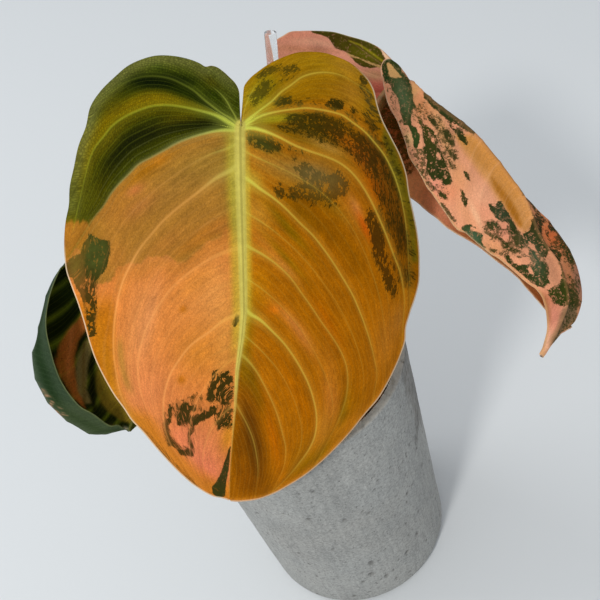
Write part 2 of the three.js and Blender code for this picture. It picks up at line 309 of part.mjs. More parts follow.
function volume(g) {
  const p = g.getAttribute("position");
  const ix = g.index.array;
  let v = 0;
  const [a, b, c] = [new THREE.Vector3(), new THREE.Vector3(), new THREE.Vector3()];
  for (let i = 0; i < ix.length; i += 3) {
    a.fromBufferAttribute(p, ix[i]);
    b.fromBufferAttribute(p, ix[i + 1]);
    c.fromBufferAttribute(p, ix[i + 2]);
    v += a.dot(b.cross(c)) / 6;
  }
  return v;
}

function outward(g) {
  if (volume(g) < 0) {
    const ix = g.index.array;
    for (let i = 0; i < ix.length; i += 3) [ix[i + 1], ix[i + 2]] = [ix[i + 2], ix[i + 1]];
  }
  return g;
}

// Merges equal vertices and drops the faces that collapse, as at a lathe's poles.
function joined(geometry) {
  const g = geometry.clone();
  g.deleteAttribute("normal");
  g.deleteAttribute("uv");
  const m = mergeVertices(g, 1e-4);
  const ix = m.index.array;
  const faces = [];
  for (let i = 0; i < ix.length; i += 3) {
    const [a, b, c] = [ix[i], ix[i + 1], ix[i + 2]];
    if (a !== b && b !== c && a !== c) faces.push(a, b, c);
  }
  m.setIndex(faces);
  return m;
}

function solid(geometry) {
  const m = joined(geometry);
  return new wasm.Manifold(
    new wasm.Mesh({
      numProp: 3,
      vertProperties: new Float32Array(m.getAttribute("position").array),
      triVerts: new Uint32Array(m.index.array),
    }),
  );
}

function geometryOf(manifold) {
  const m = manifold.getMesh();
  const n = m.numProp;
  const points = [];
  for (let i = 0; i < m.numVert; i++) points.push([...m.vertProperties.subarray(i * n, i * n + 3)]);
  const faces = [];
  for (let i = 0; i < m.triVerts.length; i += 3) faces.push([...m.triVerts.subarray(i, i + 3)]);
  return meshGeometry(points, faces);
}

// Cuts the bodies `tools` out of a geometry and keeps its largest piece.
function cut(geometry, tools) {
  let s = solid(geometry);
  const largest = (m) => m.decompose().sort((a, b) => b.volume() - a.volume())[0];
  for (const t of tools) s = s.subtract(solid(t));
  return geometryOf(largest(largest(s).simplify(0.04)));
}

const lerp = (a, b, t) => a.map((v, k) => v + (b[k] - v) * t);
const length = (a) => Math.hypot(...a);

const plant = new THREE.Group();
plant.name = "potted_plant";

function add(parent, name, geometry, colour, roughness, extra = {}) {
  const g = geometry;
  g.computeVertexNormals();
  const mesh = new THREE.Mesh(
    g,
    new THREE.MeshStandardMaterial({ color: colour, roughness, metalness: 0, ...extra }),
  );
  mesh.name = name;
  parent.add(mesh);
  return mesh;
}

// ---- pot: a turned shell with a rounded foot and an eased rim ----
const innerRim = POT_R_RIM - POT_WALL_RIM;
const innerFoot = POT_R_BASE - POT_WALL_FOOT;
const potProfile = [
  [0, 0],
  [POT_R_BASE - POT_FOOT_ROUND, 0],
  [POT_R_BASE - 0.38 * POT_FOOT_ROUND, 0.29 * POT_FOOT_ROUND],
  [POT_R_BASE, POT_FOOT_ROUND],
  [POT_R_RIM - 0.05, POT_HEIGHT - 1.2],
  [POT_R_RIM - 0.4, POT_HEIGHT - 0.35],
  [POT_R_RIM - 1.2, POT_HEIGHT],
  [innerRim + 1, POT_HEIGHT],
  [innerRim + 0.25, POT_HEIGHT - 0.3],
  [innerRim, POT_HEIGHT - 1.1],
  [innerFoot + 0.4, POT_FLOOR + 6],
  [innerFoot - 2.2, POT_FLOOR + 1.6],
  [innerFoot - 6.5, POT_FLOOR],
  [0, POT_FLOOR],
].map(([r, z]) => new THREE.Vector2(r, z));

function turned(profile, segments) {
  const g = new THREE.LatheGeometry(profile, segments);
  g.rotateX(Math.PI / 2); // the lathe turns about Y
  return outward(joined(g));
}
add(plant, "pot", turned(potProfile, 56), COLOURS.concrete, 0.95);

// ---- the shoot ----
const ROD_AXIS = new THREE.Vector3(...ROD_TOP).sub(new THREE.Vector3(...ROD_FOOT)).normalize();
const rodAt = (z) => {
  const t = (z - ROD_FOOT[2]) / (ROD_TOP[2] - ROD_FOOT[2]);
  return lerp(ROD_FOOT, ROD_TOP, t);
};
const beside = (z) => {
  const p = rodAt(z);
  return [p[0] - 5.9, p[1] - 6.4, z];
};
const stemPath = [[0, 5, 139], [1.4, 9.5, 150], [4.4, 17, 162], beside(175), beside(186), beside(199), beside(212)];
const stemRadii = [4.6, 5.2, 5.4, 5.1, 5.4, 5.0, 5.3, 4.9, 3.6];
const stem = shoot(stemPath, stemRadii, 14, 26);
const stemFat = shoot(
  stemPath,
  stemRadii.map((r) => r + GAP),
  14,
  26,
);

const rodBottom = rodAt(SOIL_TOP - ROD_BURIED);
const ROD_LENGTH = length([0, 1, 2].map((k) => ROD_TOP[k] - rodBottom[k]));
const rod = new THREE.CylinderGeometry(ROD_R, ROD_R, ROD_LENGTH, 20).rotateX(Math.PI / 2);
const rodFat = shoot([rodAt(SOIL_TOP - ROD_BURIED - 0.5), rodAt(150), rodAt(230)], [ROD_R + GAP, ROD_R + GAP], 20, 2);

// ---- blades ----
const mainBlade = blade(MAIN_LEFT, MAIN_RIGHT, 28, 7, BLADE);
const foldedBlade = blade(FOLDED_NEAR, FOLDED_FAR, 36, 8, BLADE);
const cuppedBlade = blade(CUPPED_LEFT, CUPPED_RIGHT, 24, 7, BLADE);
const mainFat = blade(MAIN_LEFT, MAIN_RIGHT, 28, 7, BLADE + 2 * GAP);
const foldedFat = blade(FOLDED_NEAR, FOLDED_FAR, 36, 8, BLADE + 2 * GAP);
const cuppedFat = blade(CUPPED_LEFT, CUPPED_RIGHT, 24, 7, BLADE + 2 * GAP);

// ---- leaf stalks: each springs from the stem and ends under its blade's notch ----
const petioleMainPath = [[10.5, 21, 187], [9.6, 15.5, 199], [11.5, 14.2, 222], [16.2, 17.5, 255], [19.2, 20.5, 283], [19.8, 16.2, 295], [19.8, 12.8, 299.4]];
const petioleRightPath = [[16.5, 30, 208], [24, 27.5, 219], [38, 31, 236], [56.3, 35, 246], [70.9, 41.1, 251.3], [81, 47.5, 255.4], [87.7, 52, 258.4], [93.3, 54.6, 259.5], [98.2, 55.5, 259.6]];
const petioleLeftPath = [[5, 22.5, 171], [-2, 24.5, 182], [-9.5, 31, 199], [-19, 41.5, 223], [-27.5, 49.5, 241], [-31.2, 49.2, 246.4], [-32.4, 46.4, 246.0]];
const petioleMain = shoot(petioleMainPath, [3.7, 3.4, 3.1, 2.9, 2.7, 2.6, 2.3], 10, 18);
const petioleRight = shoot(petioleRightPath, [3.4, 3.2, 2.9, 2.7, 2.5, 2.4, 2.1], 10, 20);
const petioleLeft = shoot(petioleLeftPath, [3.2, 3.0, 2.7, 2.4, 2.2, 2.1, 1.8], 10, 18);

// ---- ties: one flat loop holds the stem to the rod ----
function tie(z, height, wall) {
  const rodC = new THREE.Vector3(...rodAt(z));
  const axis = ROD_AXIS;
  const stemC = new THREE.Vector3(...beside(z));
  // the stem's centre in the plane through the rod's point, square to the rod
  stemC.addScaledVector(axis, -axis.dot(stemC.clone().sub(rodC)));
  const u = stemC.clone().sub(rodC).normalize();
  const v = axis.clone().cross(u);
  const d = stemC.distanceTo(rodC);
  const loop = (extra) => {
    const [r1, r2] = [ROD_R + extra, STEM_R + 0.5 + extra];
    const lean = Math.asin((r1 - r2) / d); // of the straight runs
    const pts = [];
    const n = 10;
    for (let i = 0; i <= n; i++) {
      const a = Math.PI / 2 - lean + (i / n) * (Math.PI + 2 * lean);
      pts.push(new THREE.Vector2(r1 * Math.cos(a), r1 * Math.sin(a)));
    }
    for (let i = 0; i <= n; i++) {
      const a = -Math.PI / 2 + lean + (i / n) * (Math.PI - 2 * lean);
      pts.push(new THREE.Vector2(d + r2 * Math.cos(a), r2 * Math.sin(a)));
    }
    return pts;
  };
  const shape = new THREE.Shape(loop(GAP + wall));
  shape.holes.push(new THREE.Path(loop(GAP)));
  const g = new THREE.ExtrudeGeometry(shape, { depth: height, bevelEnabled: false, steps: 1 });
  g.translate(0, 0, -height / 2);
  return { geometry: outward(joined(g)), frame: new THREE.Matrix4().makeBasis(u, v, axis).setPosition(rodC) };
}

// ---- two aerial roots drop from the stem into the mix ----
const rootLeftPath = [[4.2, 16, 163], [-3.5, 12.5, 164], [-9.5, 8.5, 158], [-12.5, 5.5, 150], [-14, 4, 141]];
const rootRightPath = [[8.4, 21.5, 166], [15, 16, 167], [20.5, 12, 162.5], [23, 9.8, 153], [23.8, 8.6, 141]];
const rootLeft = shoot(rootLeftPath, [1.6, 1.5, 1.4, 1.3, 1.1], 8, 12);
const rootRight = shoot(rootRightPath, [1.6, 1.5, 1.4, 1.3, 1.1], 8, 14);
const fatRoot = (path) => shoot(path, [2, 1.9, 1.8, 1.7, 1.6], 8, 14);

// ---- papery sheath at the tip of the shoot ----
const sheathPath = [[14.6, 31.5, 213.6], [13.2, 34.6, 221], [12.2, 37, 231], [11.6, 38.6, 243], [12.2, 39.6, 254]];
const sheath = shoot(sheathPath, [2.6, 3.1, 2.7, 1.7, 0.35], 12, 16);

// ---- potting mix: a lumpy top inside the pot, with sockets for what grows or stands in it ----
function mix() {
  const rings = 12;
  const sides = 40;
  const rTop = innerRim - (POT_HEIGHT - SOIL_TOP) * 0.04 - GAP - 0.35;
  const lump = (x, y) =>
    1.5 * Math.sin(0.21 * x + 1.1) * Math.cos(0.19 * y - 0.4) +
    0.9 * Math.sin(0.43 * x - 0.31 * y + 2.0) +
    0.6 * Math.cos(0.37 * x + 0.52 * y);
  const points = [[0, 0, SOIL_TOP + lump(0, 0)]];
  for (let i = 1; i <= rings; i++) {
    const r = (rTop * i) / rings;
    for (let k = 0; k < sides; k++) {
      const a = (2 * Math.PI * k) / sides;
      const [x, y] = [r * Math.cos(a), r * Math.sin(a)];
      points.push([x, y, SOIL_TOP + lump(x, y) * (1 - 0.35 * (i / rings) ** 4)]);
    }
  }
  const wall = [
    [innerFoot + 0.4 - GAP - 0.2, POT_FLOOR + 6.3],
    [innerFoot - 2.2 - GAP, POT_FLOOR + 2.3],
    [innerFoot - 6.7 - GAP, POT_FLOOR + GAP + 0.1],
  ];
  for (const [r, z] of wall)
    for (let k = 0; k < sides; k++) {
      const a = (2 * Math.PI * k) / sides;
      points.push([r * Math.cos(a), r * Math.sin(a), z]);
    }
  points.push([0, 0, POT_FLOOR + GAP + 0.1]);
  const faces = [];
  for (let k = 0; k < sides; k++) {
    const n = (k + 1) % sides;
    faces.push([0, 1 + k, 1 + n]);
    for (let i = 0; i < rings - 1 + wall.length; i++) {
      const [a, b] = [1 + i * sides, 1 + (i + 1) * sides];
      faces.push([a + k, b + k, b + n], [a + k, b + n, a + n]);
    }
    const e = 1 + (rings - 1 + wall.length) * sides;
    faces.push([e + k, points.length - 1, e + n]);
  }
  return outward(meshGeometry(points, faces));
}

// ---- the scene graph ----
const shootGroup = new THREE.Group();
plant.add(shootGroup);
add(plant, "potting_mix", cut(mix(), [stemFat, rodFat, fatRoot(rootLeftPath), fatRoot(rootRightPath)]), COLOURS.mix, 1);
add(shootGroup, "stem", stem, COLOURS.stem, 0.6);
add(shootGroup, "petiole_main", cut(petioleMain, [stemFat, mainFat]), COLOURS.petiole, 0.5);
add(shootGroup, "petiole_right", cut(petioleRight, [stemFat, foldedFat, foldedBlade]), COLOURS.petiole, 0.5);
add(shootGroup, "petiole_left", cut(petioleLeft, [stemFat, cuppedFat, cuppedBlade]), COLOURS.petiole, 0.5);
add(shootGroup, "leaf_main", mainBlade, COLOURS.bladeMain, 0.55);
add(shootGroup, "leaf_right_folded", foldedBlade, COLOURS.bladeFolded, 0.6);
add(shootGroup, "leaf_left_cupped", cuppedBlade, COLOURS.bladeCupped, 0.6);
add(shootGroup, "aerial_root_left", cut(rootLeft, [stemFat]), COLOURS.root, 0.8);
add(shootGroup, "aerial_root_right", cut(rootRight, [stemFat]), COLOURS.root, 0.8);
add(shootGroup, "cataphyll", cut(sheath, [stemFat]), COLOURS.sheath, 0.7);
const rodMesh = add(plant, "support_rod", joined(rod), COLOURS.rod, 0.05, { transparent: true, opacity: 0.35 });
rodMesh.position.set(...lerp(rodBottom, ROD_TOP, 0.5));
rodMesh.quaternion.setFromUnitVectors(new THREE.Vector3(0, 0, 1), ROD_AXIS);
for (const [name, z] of [
  ["plant_tie_lower", 178.5],
  ["plant_tie_upper", 204],
]) {
  const { geometry, frame } = tie(z, 3, 0.9);
  const mesh = add(plant, name, geometry, COLOURS.tie, 0.6);
  frame.decompose(mesh.position, mesh.quaternion, mesh.scale);
}

export default plant;
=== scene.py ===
import math

import bpy
import numpy as np
from mathutils import Matrix, Vector


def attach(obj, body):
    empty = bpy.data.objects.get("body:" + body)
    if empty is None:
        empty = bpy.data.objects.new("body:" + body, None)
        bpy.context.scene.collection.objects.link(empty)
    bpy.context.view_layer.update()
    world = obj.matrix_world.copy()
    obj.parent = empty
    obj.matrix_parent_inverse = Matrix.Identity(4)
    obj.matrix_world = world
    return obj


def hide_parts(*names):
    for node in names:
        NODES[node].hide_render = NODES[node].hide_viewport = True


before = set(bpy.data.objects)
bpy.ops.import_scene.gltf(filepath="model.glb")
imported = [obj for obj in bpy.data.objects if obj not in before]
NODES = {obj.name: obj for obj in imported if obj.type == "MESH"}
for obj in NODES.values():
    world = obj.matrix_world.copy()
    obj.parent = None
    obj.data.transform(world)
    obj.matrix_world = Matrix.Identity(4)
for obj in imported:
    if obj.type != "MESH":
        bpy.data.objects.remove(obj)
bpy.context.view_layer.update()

# ---------------------------------------------------------------- the map's frame
F = 900.0
CAM = np.array([17.0187, -297.3711, 510.7091])
RX = np.array([0.93299236, -0.25791343, -0.25100979])
RY = np.array([0.35989617, 0.668613, 0.65071607])
RZ = np.array([0.0, 0.69745058, -0.71663288])


def unproj(x, y, d):
    x = np.asarray(x, float)[..., None]
    y = np.asarray(y, float)[..., None]
    d = np.asarray(d, float)[..., None]
    return CAM + d * ((x - 300) / F * RX - (y - 300) / F * RY + RZ)
# ---- interpolation helpers ---------------------------------------------
def cumlen(P):
    P = np.asarray(P, float)
    return np.concatenate([[0.0], np.cumsum(np.linalg.norm(np.diff(P, axis=0), axis=1))])


def hermite(k, V, q):
    """Smooth interpolation of rows V at knots k, at positions q (C1, non-uniform Catmull-Rom)."""
    k = np.asarray(k, float)
    V = np.asarray(V, float)
    q = np.clip(np.asarray(q, float), k[0], k[-1])
    n = len(k)
    h = np.diff(k)
    sl = np.diff(V, axis=0) / h.reshape((-1,) + (1,) * (V.ndim - 1))
    m = np.empty_like(V)
    m[0] = sl[0]
    m[-1] = sl[-1]
    for i in range(1, n - 1):
        w = h[i] / (h[i - 1] + h[i])
        m[i] = w * sl[i - 1] + (1 - w) * sl[i]
    i = np.clip(np.searchsorted(k, q, side="right") - 1, 0, n - 2)
    t = (q - k[i]) / h[i]
    sh = (-1,) + (1,) * (V.ndim - 1)
    t = t.reshape(sh)
    hh = h[i].reshape(sh)
    t2, t3 = t * t, t * t * t
    return (2 * t3 - 3 * t2 + 1) * V[i] + (t3 - 2 * t2 + t) * hh * m[i] + (-2 * t3 + 3 * t2) * V[i + 1] + (t3 - t2) * hh * m[i + 1]


def pchip(k, V, q):
    """Monotone interpolation of scalars."""
    k = np.asarray(k, float)
    V = np.asarray(V, float)
    h = np.diff(k)
    d = np.diff(V) / h
    m = np.zeros_like(V)
    m[0], m[-1] = d[0], d[-1]
    for i in range(1, len(k) - 1):
        if d[i - 1] * d[i] > 0:
            w1, w2 = 2 * h[i] + h[i - 1], h[i] + 2 * h[i - 1]
            m[i] = (w1 + w2) / (w1 / d[i - 1] + w2 / d[i])
    q = np.clip(np.asarray(q, float), k[0], k[-1])
    i = np.clip(np.searchsorted(k, q, side="right") - 1, 0, len(k) - 2)
    t = (q - k[i]) / h[i]
    t2, t3 = t * t, t * t * t
    return (2 * t3 - 3 * t2 + 1) * V[i] + (t3 - 2 * t2 + t) * h[i] * m[i] + (-2 * t3 + 3 * t2) * V[i + 1] + (t3 - t2) * h[i] * m[i + 1]


def inverse(K, m):
    """The outline share at which a half blade's row reaches the midrib share m."""
    q = np.linspace(0, 1, 4001)
    return np.interp(m, pchip(K[:, 0], K[:, 1], q), q)


def along(P, q):
    """Point at the share q of a polyline's length, on a smooth curve through its points."""
    L = cumlen(P)
    return hermite(L / L[-1], np.asarray(P, float), q)


def sstep(a, b, x):
    t = np.clip((x - a) / (b - a), 0, 1)
    return t * t * (3 - 2 * t)


# ---- main leaf ------------------------------------------------------------
MAIN_L = [(239.4, 94), (238.6, 90), (236, 84.5), (229, 77), (223, 71.5), (216, 67), (211, 66), (206, 67), (200, 63.6), (194, 61), (183, 57.8), (172, 56), (155, 56), (142, 59.5), (129, 65.5), (114, 78), (101, 91), (91, 106), (86, 127), (79, 145), (74, 168), (70, 187), (69, 206), (66, 221), (64.5, 240), (64.7, 255), (66.6, 271), (72, 287), (78, 303), (84, 322), (89.5, 342), (95, 358), (104, 377), (114, 394.5), (125, 410), (130, 418), (143, 432), (155.5, 447), (168, 461), (181, 474), (194, 485), (206.5, 493), (214, 496.5), (222, 498), (228.5, 500)]
MAIN_R = [(243.6, 96), (244, 87), (249, 79.5), (259, 71), (271, 63), (284, 57), (296, 53), (312, 52), (324, 53), (337, 57), (350, 63), (360, 71), (368, 79.5), (374, 91), (377, 104), (382, 119), (391, 137), (400, 155), (406, 173), (409, 193), (414, 216), (417.5, 235), (419, 249), (419.4, 268), (419, 281), (415, 298), (410, 313), (406, 327), (405, 341), (401, 354), (394.5, 369), (387, 384), (377, 400), (364, 415), (352, 430), (336, 447.5), (321, 462), (309, 472), (289, 485), (270, 495), (258, 499), (245, 501), (236, 501.5), (231, 501)]
MAIN_MID = [(240.6, 125.5), (240.2, 129), (240.6, 150), (241, 180), (241.8, 210), (242.6, 240), (243.8, 290), (244, 313), (241.8, 338), (237.2, 370), (235, 409), (233, 430), (229.6, 480), (229.6, 499)]
# share of the outline -> share of the midrib
MAIN_KL = [(0, 0), (0.10, 0.007), (0.20, 0.015), (0.30, 0.025), (0.36, 0.042), (0.44, 0.10), (0.52, 0.20), (0.60, 0.32), (0.68, 0.45), (0.76, 0.57), (0.84, 0.69), (0.92, 0.83), (0.97, 0.94), (1.0, 1.0)]
MAIN_KR = [(0, 0), (0.09, 0.007), (0.18, 0.015), (0.26, 0.025), (0.32, 0.042), (0.40, 0.10), (0.48, 0.20), (0.57, 0.32), (0.66, 0.45), (0.75, 0.57), (0.83, 0.69), (0.91, 0.83), (0.97, 0.94), (1.0, 1.0)]


def main_depth(x, y):
    """How far the main blade lies from the eye, mm: it droops to both sides of the midrib and at the tip."""
    x = np.asarray(x, float)
    y = np.asarray(y, float)
    m = np.array(MAIN_MID)
    mx = np.interp(y, m[:, 1], m[:, 0])
    lat = x - mx
    a = (y - 127) / 371
    d = 366 + 24 * a
    d = d + np.where(lat > 0, 0.00088, 0.00056) * lat ** 2
    d = d + np.where(a < 0, 170 * a * a, 0)          # basal lobes bend back
    d = d + 12 * np.clip((a - 0.72) / 0.28, 0, 1) ** 2   # the tip hangs
    d = d + 1.6 * np.exp(-(lat / 16) ** 2) * sstep(-0.03, 0.02, a)   # groove along the midrib
    # slow waves of the margin
    d = d + 2.2 * np.sin(y / 31 + 1.0) * sstep(90, 175, np.abs(lat))
    return d


def main_half(side, nt, ns, tq=None, sq=None):
    """px grid of a half blade: rows t along the outline, columns s from midrib to margin."""
    O = MAIN_L if side < 0 else MAIN_R
    K = np.array(MAIN_KL if side < 0 else MAIN_KR)
    t = np.linspace(0, 1, nt) if tq is None else np.asarray(tq)
    s = np.linspace(0, 1, ns) if sq is None else np.asarray(sq)
    m = pchip(np.array(MAIN_KL)[:, 0], np.array(MAIN_KL)[:, 1], t)
    if side > 0:
        t = inverse(K, m)
    E = along(O, t)
    M = along(MAIN_MID, m)
    ch = E - M
    L = np.linalg.norm(ch, axis=1, keepdims=True)
    n = np.stack([-ch[:, 1], ch[:, 0]], 1) / np.maximum(L, 1e-6) * (1 if side < 0 else -1)
    bow = (0.13 * sstep(0.02, 0.25, t) * (1 - 0.55 * sstep(0.7, 1.0, t)))[:, None]
    S = s[None, :, None]
    P = M[:, None] * (1 - S) + E[:, None] * S + n[:, None] * (bow * L)[:, None] * (4 * S * (1 - S) * (1.15 - 0.5 * S))
    return P


# ---- right leaf (folded along its midrib) ----------------------------------
# rows: [share, midrib (x,y,d), near-half margin (x,y,d), far-half ...]
R_MID = [(411, 84, 426), (423, 95, 425), (436, 106, 424), (454, 119.5, 422), (472, 134.5, 420), (492, 157.5, 417), (512, 184, 413), (523, 199.5, 410), (531, 218, 407), (538, 236, 404), (547, 251, 401), (557, 265, 398), (563, 282, 395), (566, 300, 392), (559, 322, 389), (549, 343, 387), (541, 355.5, 386)]
R_NEAR = [(408.5, 79, 424), (403.2, 73.3, 421), (399.5, 66.5, 417), (394.5, 62, 414), (389, 59, 412), (384, 61, 410), (381.4, 66, 409), (381.2, 72, 408), (383, 80, 408), (385, 92, 408), (387, 100, 408), (391, 110, 408), (397, 120, 408), (402, 133, 408), (406, 144, 408), (409, 156, 408), (413, 163, 407.5), (418.5, 171, 407), (423, 179, 406.5), (427, 187, 406), (432.5, 194, 405.5), (438, 202, 405), (443, 209, 404.5), (449, 218, 404), (454, 226, 403.5), (458, 230, 403), (466, 233, 402), (471.5, 238, 401), (478.5, 244, 400), (485, 249, 399), (491, 254, 398), (498, 258, 397), (508, 266, 396), (516, 273, 395), (522, 278.5, 394), (529, 284, 393), (536, 289, 392), (541.5, 296, 391), (545, 306, 390), (547, 318, 389.5), (547.2, 330, 389), (545, 340, 388), (542.5, 349, 387), (541, 355.5, 386)]
R_FAR = [(408.5, 79.5, 428), (402, 69.5, 431), (392, 60.5, 433), (388, 56, 433.5), (380, 48.5, 434), (370.5, 43, 434.5), (359, 39, 435), (348, 36, 435), (335, 32.3, 435), (319, 31, 434), (302, 31, 432), (289, 32.3, 430), (283, 36, 429), (277, 39.5, 428), (271.5, 47, 427), (269, 60, 426), (271, 76, 426), (277, 95, 427), (287, 115, 429), (301, 134, 431), (319, 152, 433), (339, 168, 434), (360, 180, 434), (378, 187.5, 433), (395, 192.5, 432), (411, 198, 430), (418, 203, 429), (427, 211, 427), (437, 218.5, 425), (445, 226, 423), (457, 234, 420.5), (465, 238.3, 419), (481, 248.5, 416), (494, 259, 413), (510, 271, 410), (519, 279, 408), (525.5, 287, 406), (532, 294, 404.5), (538, 301, 403), (545, 309, 401.5), (556, 317.5, 399), (568, 324.5, 396), (572, 326.5, 394.5), (566, 330.5, 392), (560, 334, 390), (551, 342.5, 388), (541, 355.5, 386)]
R_KN = [(0, 0), (0.05, 0.006), (0.12, 0.016), (0.2, 0.035), (0.27, 0.077), (0.36, 0.17), (0.45, 0.29), (0.55, 0.43), (0.65, 0.56), (0.75, 0.69), (0.84, 0.81), (0.92, 0.91), (1.0, 1.0)]
R_KF = [(0, 0), (0.08, 0.006), (0.16, 0.012), (0.24, 0.019), (0.32, 0.029), (0.38, 0.044), (0.46, 0.10), (0.55, 0.22), (0.63, 0.34), (0.71, 0.46), (0.78, 0.58), (0.84, 0.69), (0.89, 0.78), (0.93, 0.86), (0.965, 0.93), (1.0, 1.0)]
# how far the far half first swings out to the right of the midrib before it passes behind (px), by share of the midrib
R_SWING = [(0, 0), (0.30, 0.0), (0.40, 0.6), (0.44, 9), (0.48, 18.0), (0.52, 22.6), (0.58, 29.0), (0.62, 30.4), (0.66, 29.8), (0.70, 27.6), (0.74, 25.7), (0.78, 22.4), (0.82, 16.5), (0.86, 12.1), (0.92, 5), (1.0, 0)]


def right_half(side, nt, ns, tq=None, sq=None):
    O = np.array(R_NEAR if side < 0 else R_FAR, float)
    K = np.array(R_KN if side < 0 else R_KF)
    t = np.linspace(0, 1, nt) if tq is None else np.asarray(tq)
    s = np.linspace(0, 1, ns) if sq is None else np.asarray(sq)
    L = cumlen(O[:, :2])
    m = pchip(np.array(R_KF)[:, 0], np.array(R_KF)[:, 1], t)
    if side < 0:
        t = inverse(K, m)
    E = hermite(L / L[-1], O, t)
    Mp = np.array(R_MID, float)
    LM = cumlen(Mp[:, :2])
    M = hermite(LM / LM[-1], Mp, m)
    ch = (E - M)[:, :2]
    Lc = np.linalg.norm(ch, axis=1)
    S = s[None, :, None]
    P = M[:, None] * (1 - S) + E[:, None] * S
    w = 4 * s * (1 - s)
    if side < 0:
        # the near half swells towards the eye
        P[..., 2] -= (0.13 * Lc / 2.1)[:, None] * w[None] * 1.0
        # rows bow towards the base, as the veins do
        n = np.stack([ch[:, 1], -ch[:, 0]], 1) / np.maximum(Lc, 1e-6)[:, None]
        bow = 0.10 * sstep(0.1, 0.3, t) * (1 - sstep(0.8, 1, t))
        P[..., :2] += -n[:, None] * (bow * Lc)[:, None, None] * w[None, :, None]
    else:
        # the far half sags away behind the near one
        P[..., 2] += (0.10 * Lc / 2.1 + 5 * sstep(0.35, 0.6, t) * (1 - sstep(0.9, 1, t)))[:, None] * w[None]
        sw = pchip(np.array(R_SWING)[:, 0], np.array(R_SWING)[:, 1], m)
        bump = np.exp(-((s - 0.22) / 0.17) ** 2) - np.exp(-(0.22 / 0.17) ** 2) * (1 - s) ** 4 - np.exp(-((1 - 0.22) / 0.17) ** 2) * s
        # outward normal of the midrib (to the right of its run)
        dm = 1e-3
        T = hermite(LM / LM[-1], Mp, np.clip(m + dm, 0, 1)) - hermite(LM / LM[-1], Mp, np.clip(m - dm, 0, 1))
        T = T[:, :2] / np.maximum(np.linalg.norm(T[:, :2], axis=1, keepdims=True), 1e-6)
        N = np.stack([T[:, 1], -T[:, 0]], 1)
        P[..., :2] += N[:, None] * sw[:, None, None] * bump[None, :, None]
        P[..., 2] += (sw * 0.12)[:, None] * bump[None]
    return P  # x, y, depth


# ---- left leaf (cupped, left margin rolled up) -----------------------------
L_MID = []
# left half: for each row, control points from the midrib to the margin (x, y, d)
L_LEFT = [
    (0.000, [(158, 220.2, 428), (157.5, 212.5, 428), (156, 204, 429), (153, 196, 430), (149, 190, 431), (145, 186.5, 431)]),
    (0.004, [(158, 221.6, 428), (151, 209, 428), (143, 199, 430), (134, 191.5, 431), (126, 187, 432), (119, 186, 431)]),
    (0.008, [(158, 223.2, 428), (142, 210, 429), (125, 202, 431), (109, 200, 433), (98, 203, 433), (92, 208, 430)]),
    (0.014, [(158.1, 225.4, 428), (136, 216, 430), (114, 213, 433), (94, 218, 435), (81, 229, 432), (76, 236, 426)]),
    (0.06, [(158.8, 230, 428.5), (132, 226, 432), (106, 230, 436), (86, 242, 438), (71, 256, 432), (69.5, 262, 425)]),
    (0.16, [(160, 246, 429.5), (130, 248, 434), (100, 258, 438), (76, 273, 438), (54.5, 279, 429), (60.5, 269, 420)]),
    (0.27, [(160.5, 266, 430.5), (128, 272, 436), (96, 286, 440), (68, 304, 439), (44.5, 307, 428), (50, 295, 417)]),
    (0.38, [(160, 288, 431), (126, 296, 437), (94, 312, 441), (64, 335, 438), (38.0, 336, 426), (46, 326, 414)]),
    (0.50, [(158, 312, 431), (126, 322, 437), (95, 340, 440), (66, 364, 436), (32.8, 358, 423), (51, 352, 411)]),
    (0.61, [(155, 336, 430), (126, 347, 436), (98, 365, 438), (72, 388, 432), (37.0, 382, 420), (60.5, 380, 408)]),
    (0.72, [(151, 360, 428), (126, 372, 434), (103, 388, 434), (83, 405, 428), (50.0, 404.5, 417), (77, 403.5, 407)]),
    (0.82, [(145.5, 384, 424.5), (127, 395, 430), (111, 406, 429), (97, 417.5, 423), (71, 423.2, 414.5), (94, 414.6, 407)]),
    (0.91, [(138.5, 406, 420.5), (128, 414, 423), (118, 420, 423), (109, 426.5, 418), (96, 434.6, 413), (110.5, 425.7, 408.5)]),
    (0.965, [(133, 420, 417), (128.6, 423.6, 418), (124, 426.5, 417.5), (120, 429, 415.5), (113.5, 431.9, 412.5), (118.8, 425.2, 410)]),
    (1.0, [(129, 430.5, 414), (128.5, 430, 414), (127.6, 430, 414), (126.5, 429.7, 413.8), (125, 429.3, 413.5), (123.7, 428.8, 413)]),
]
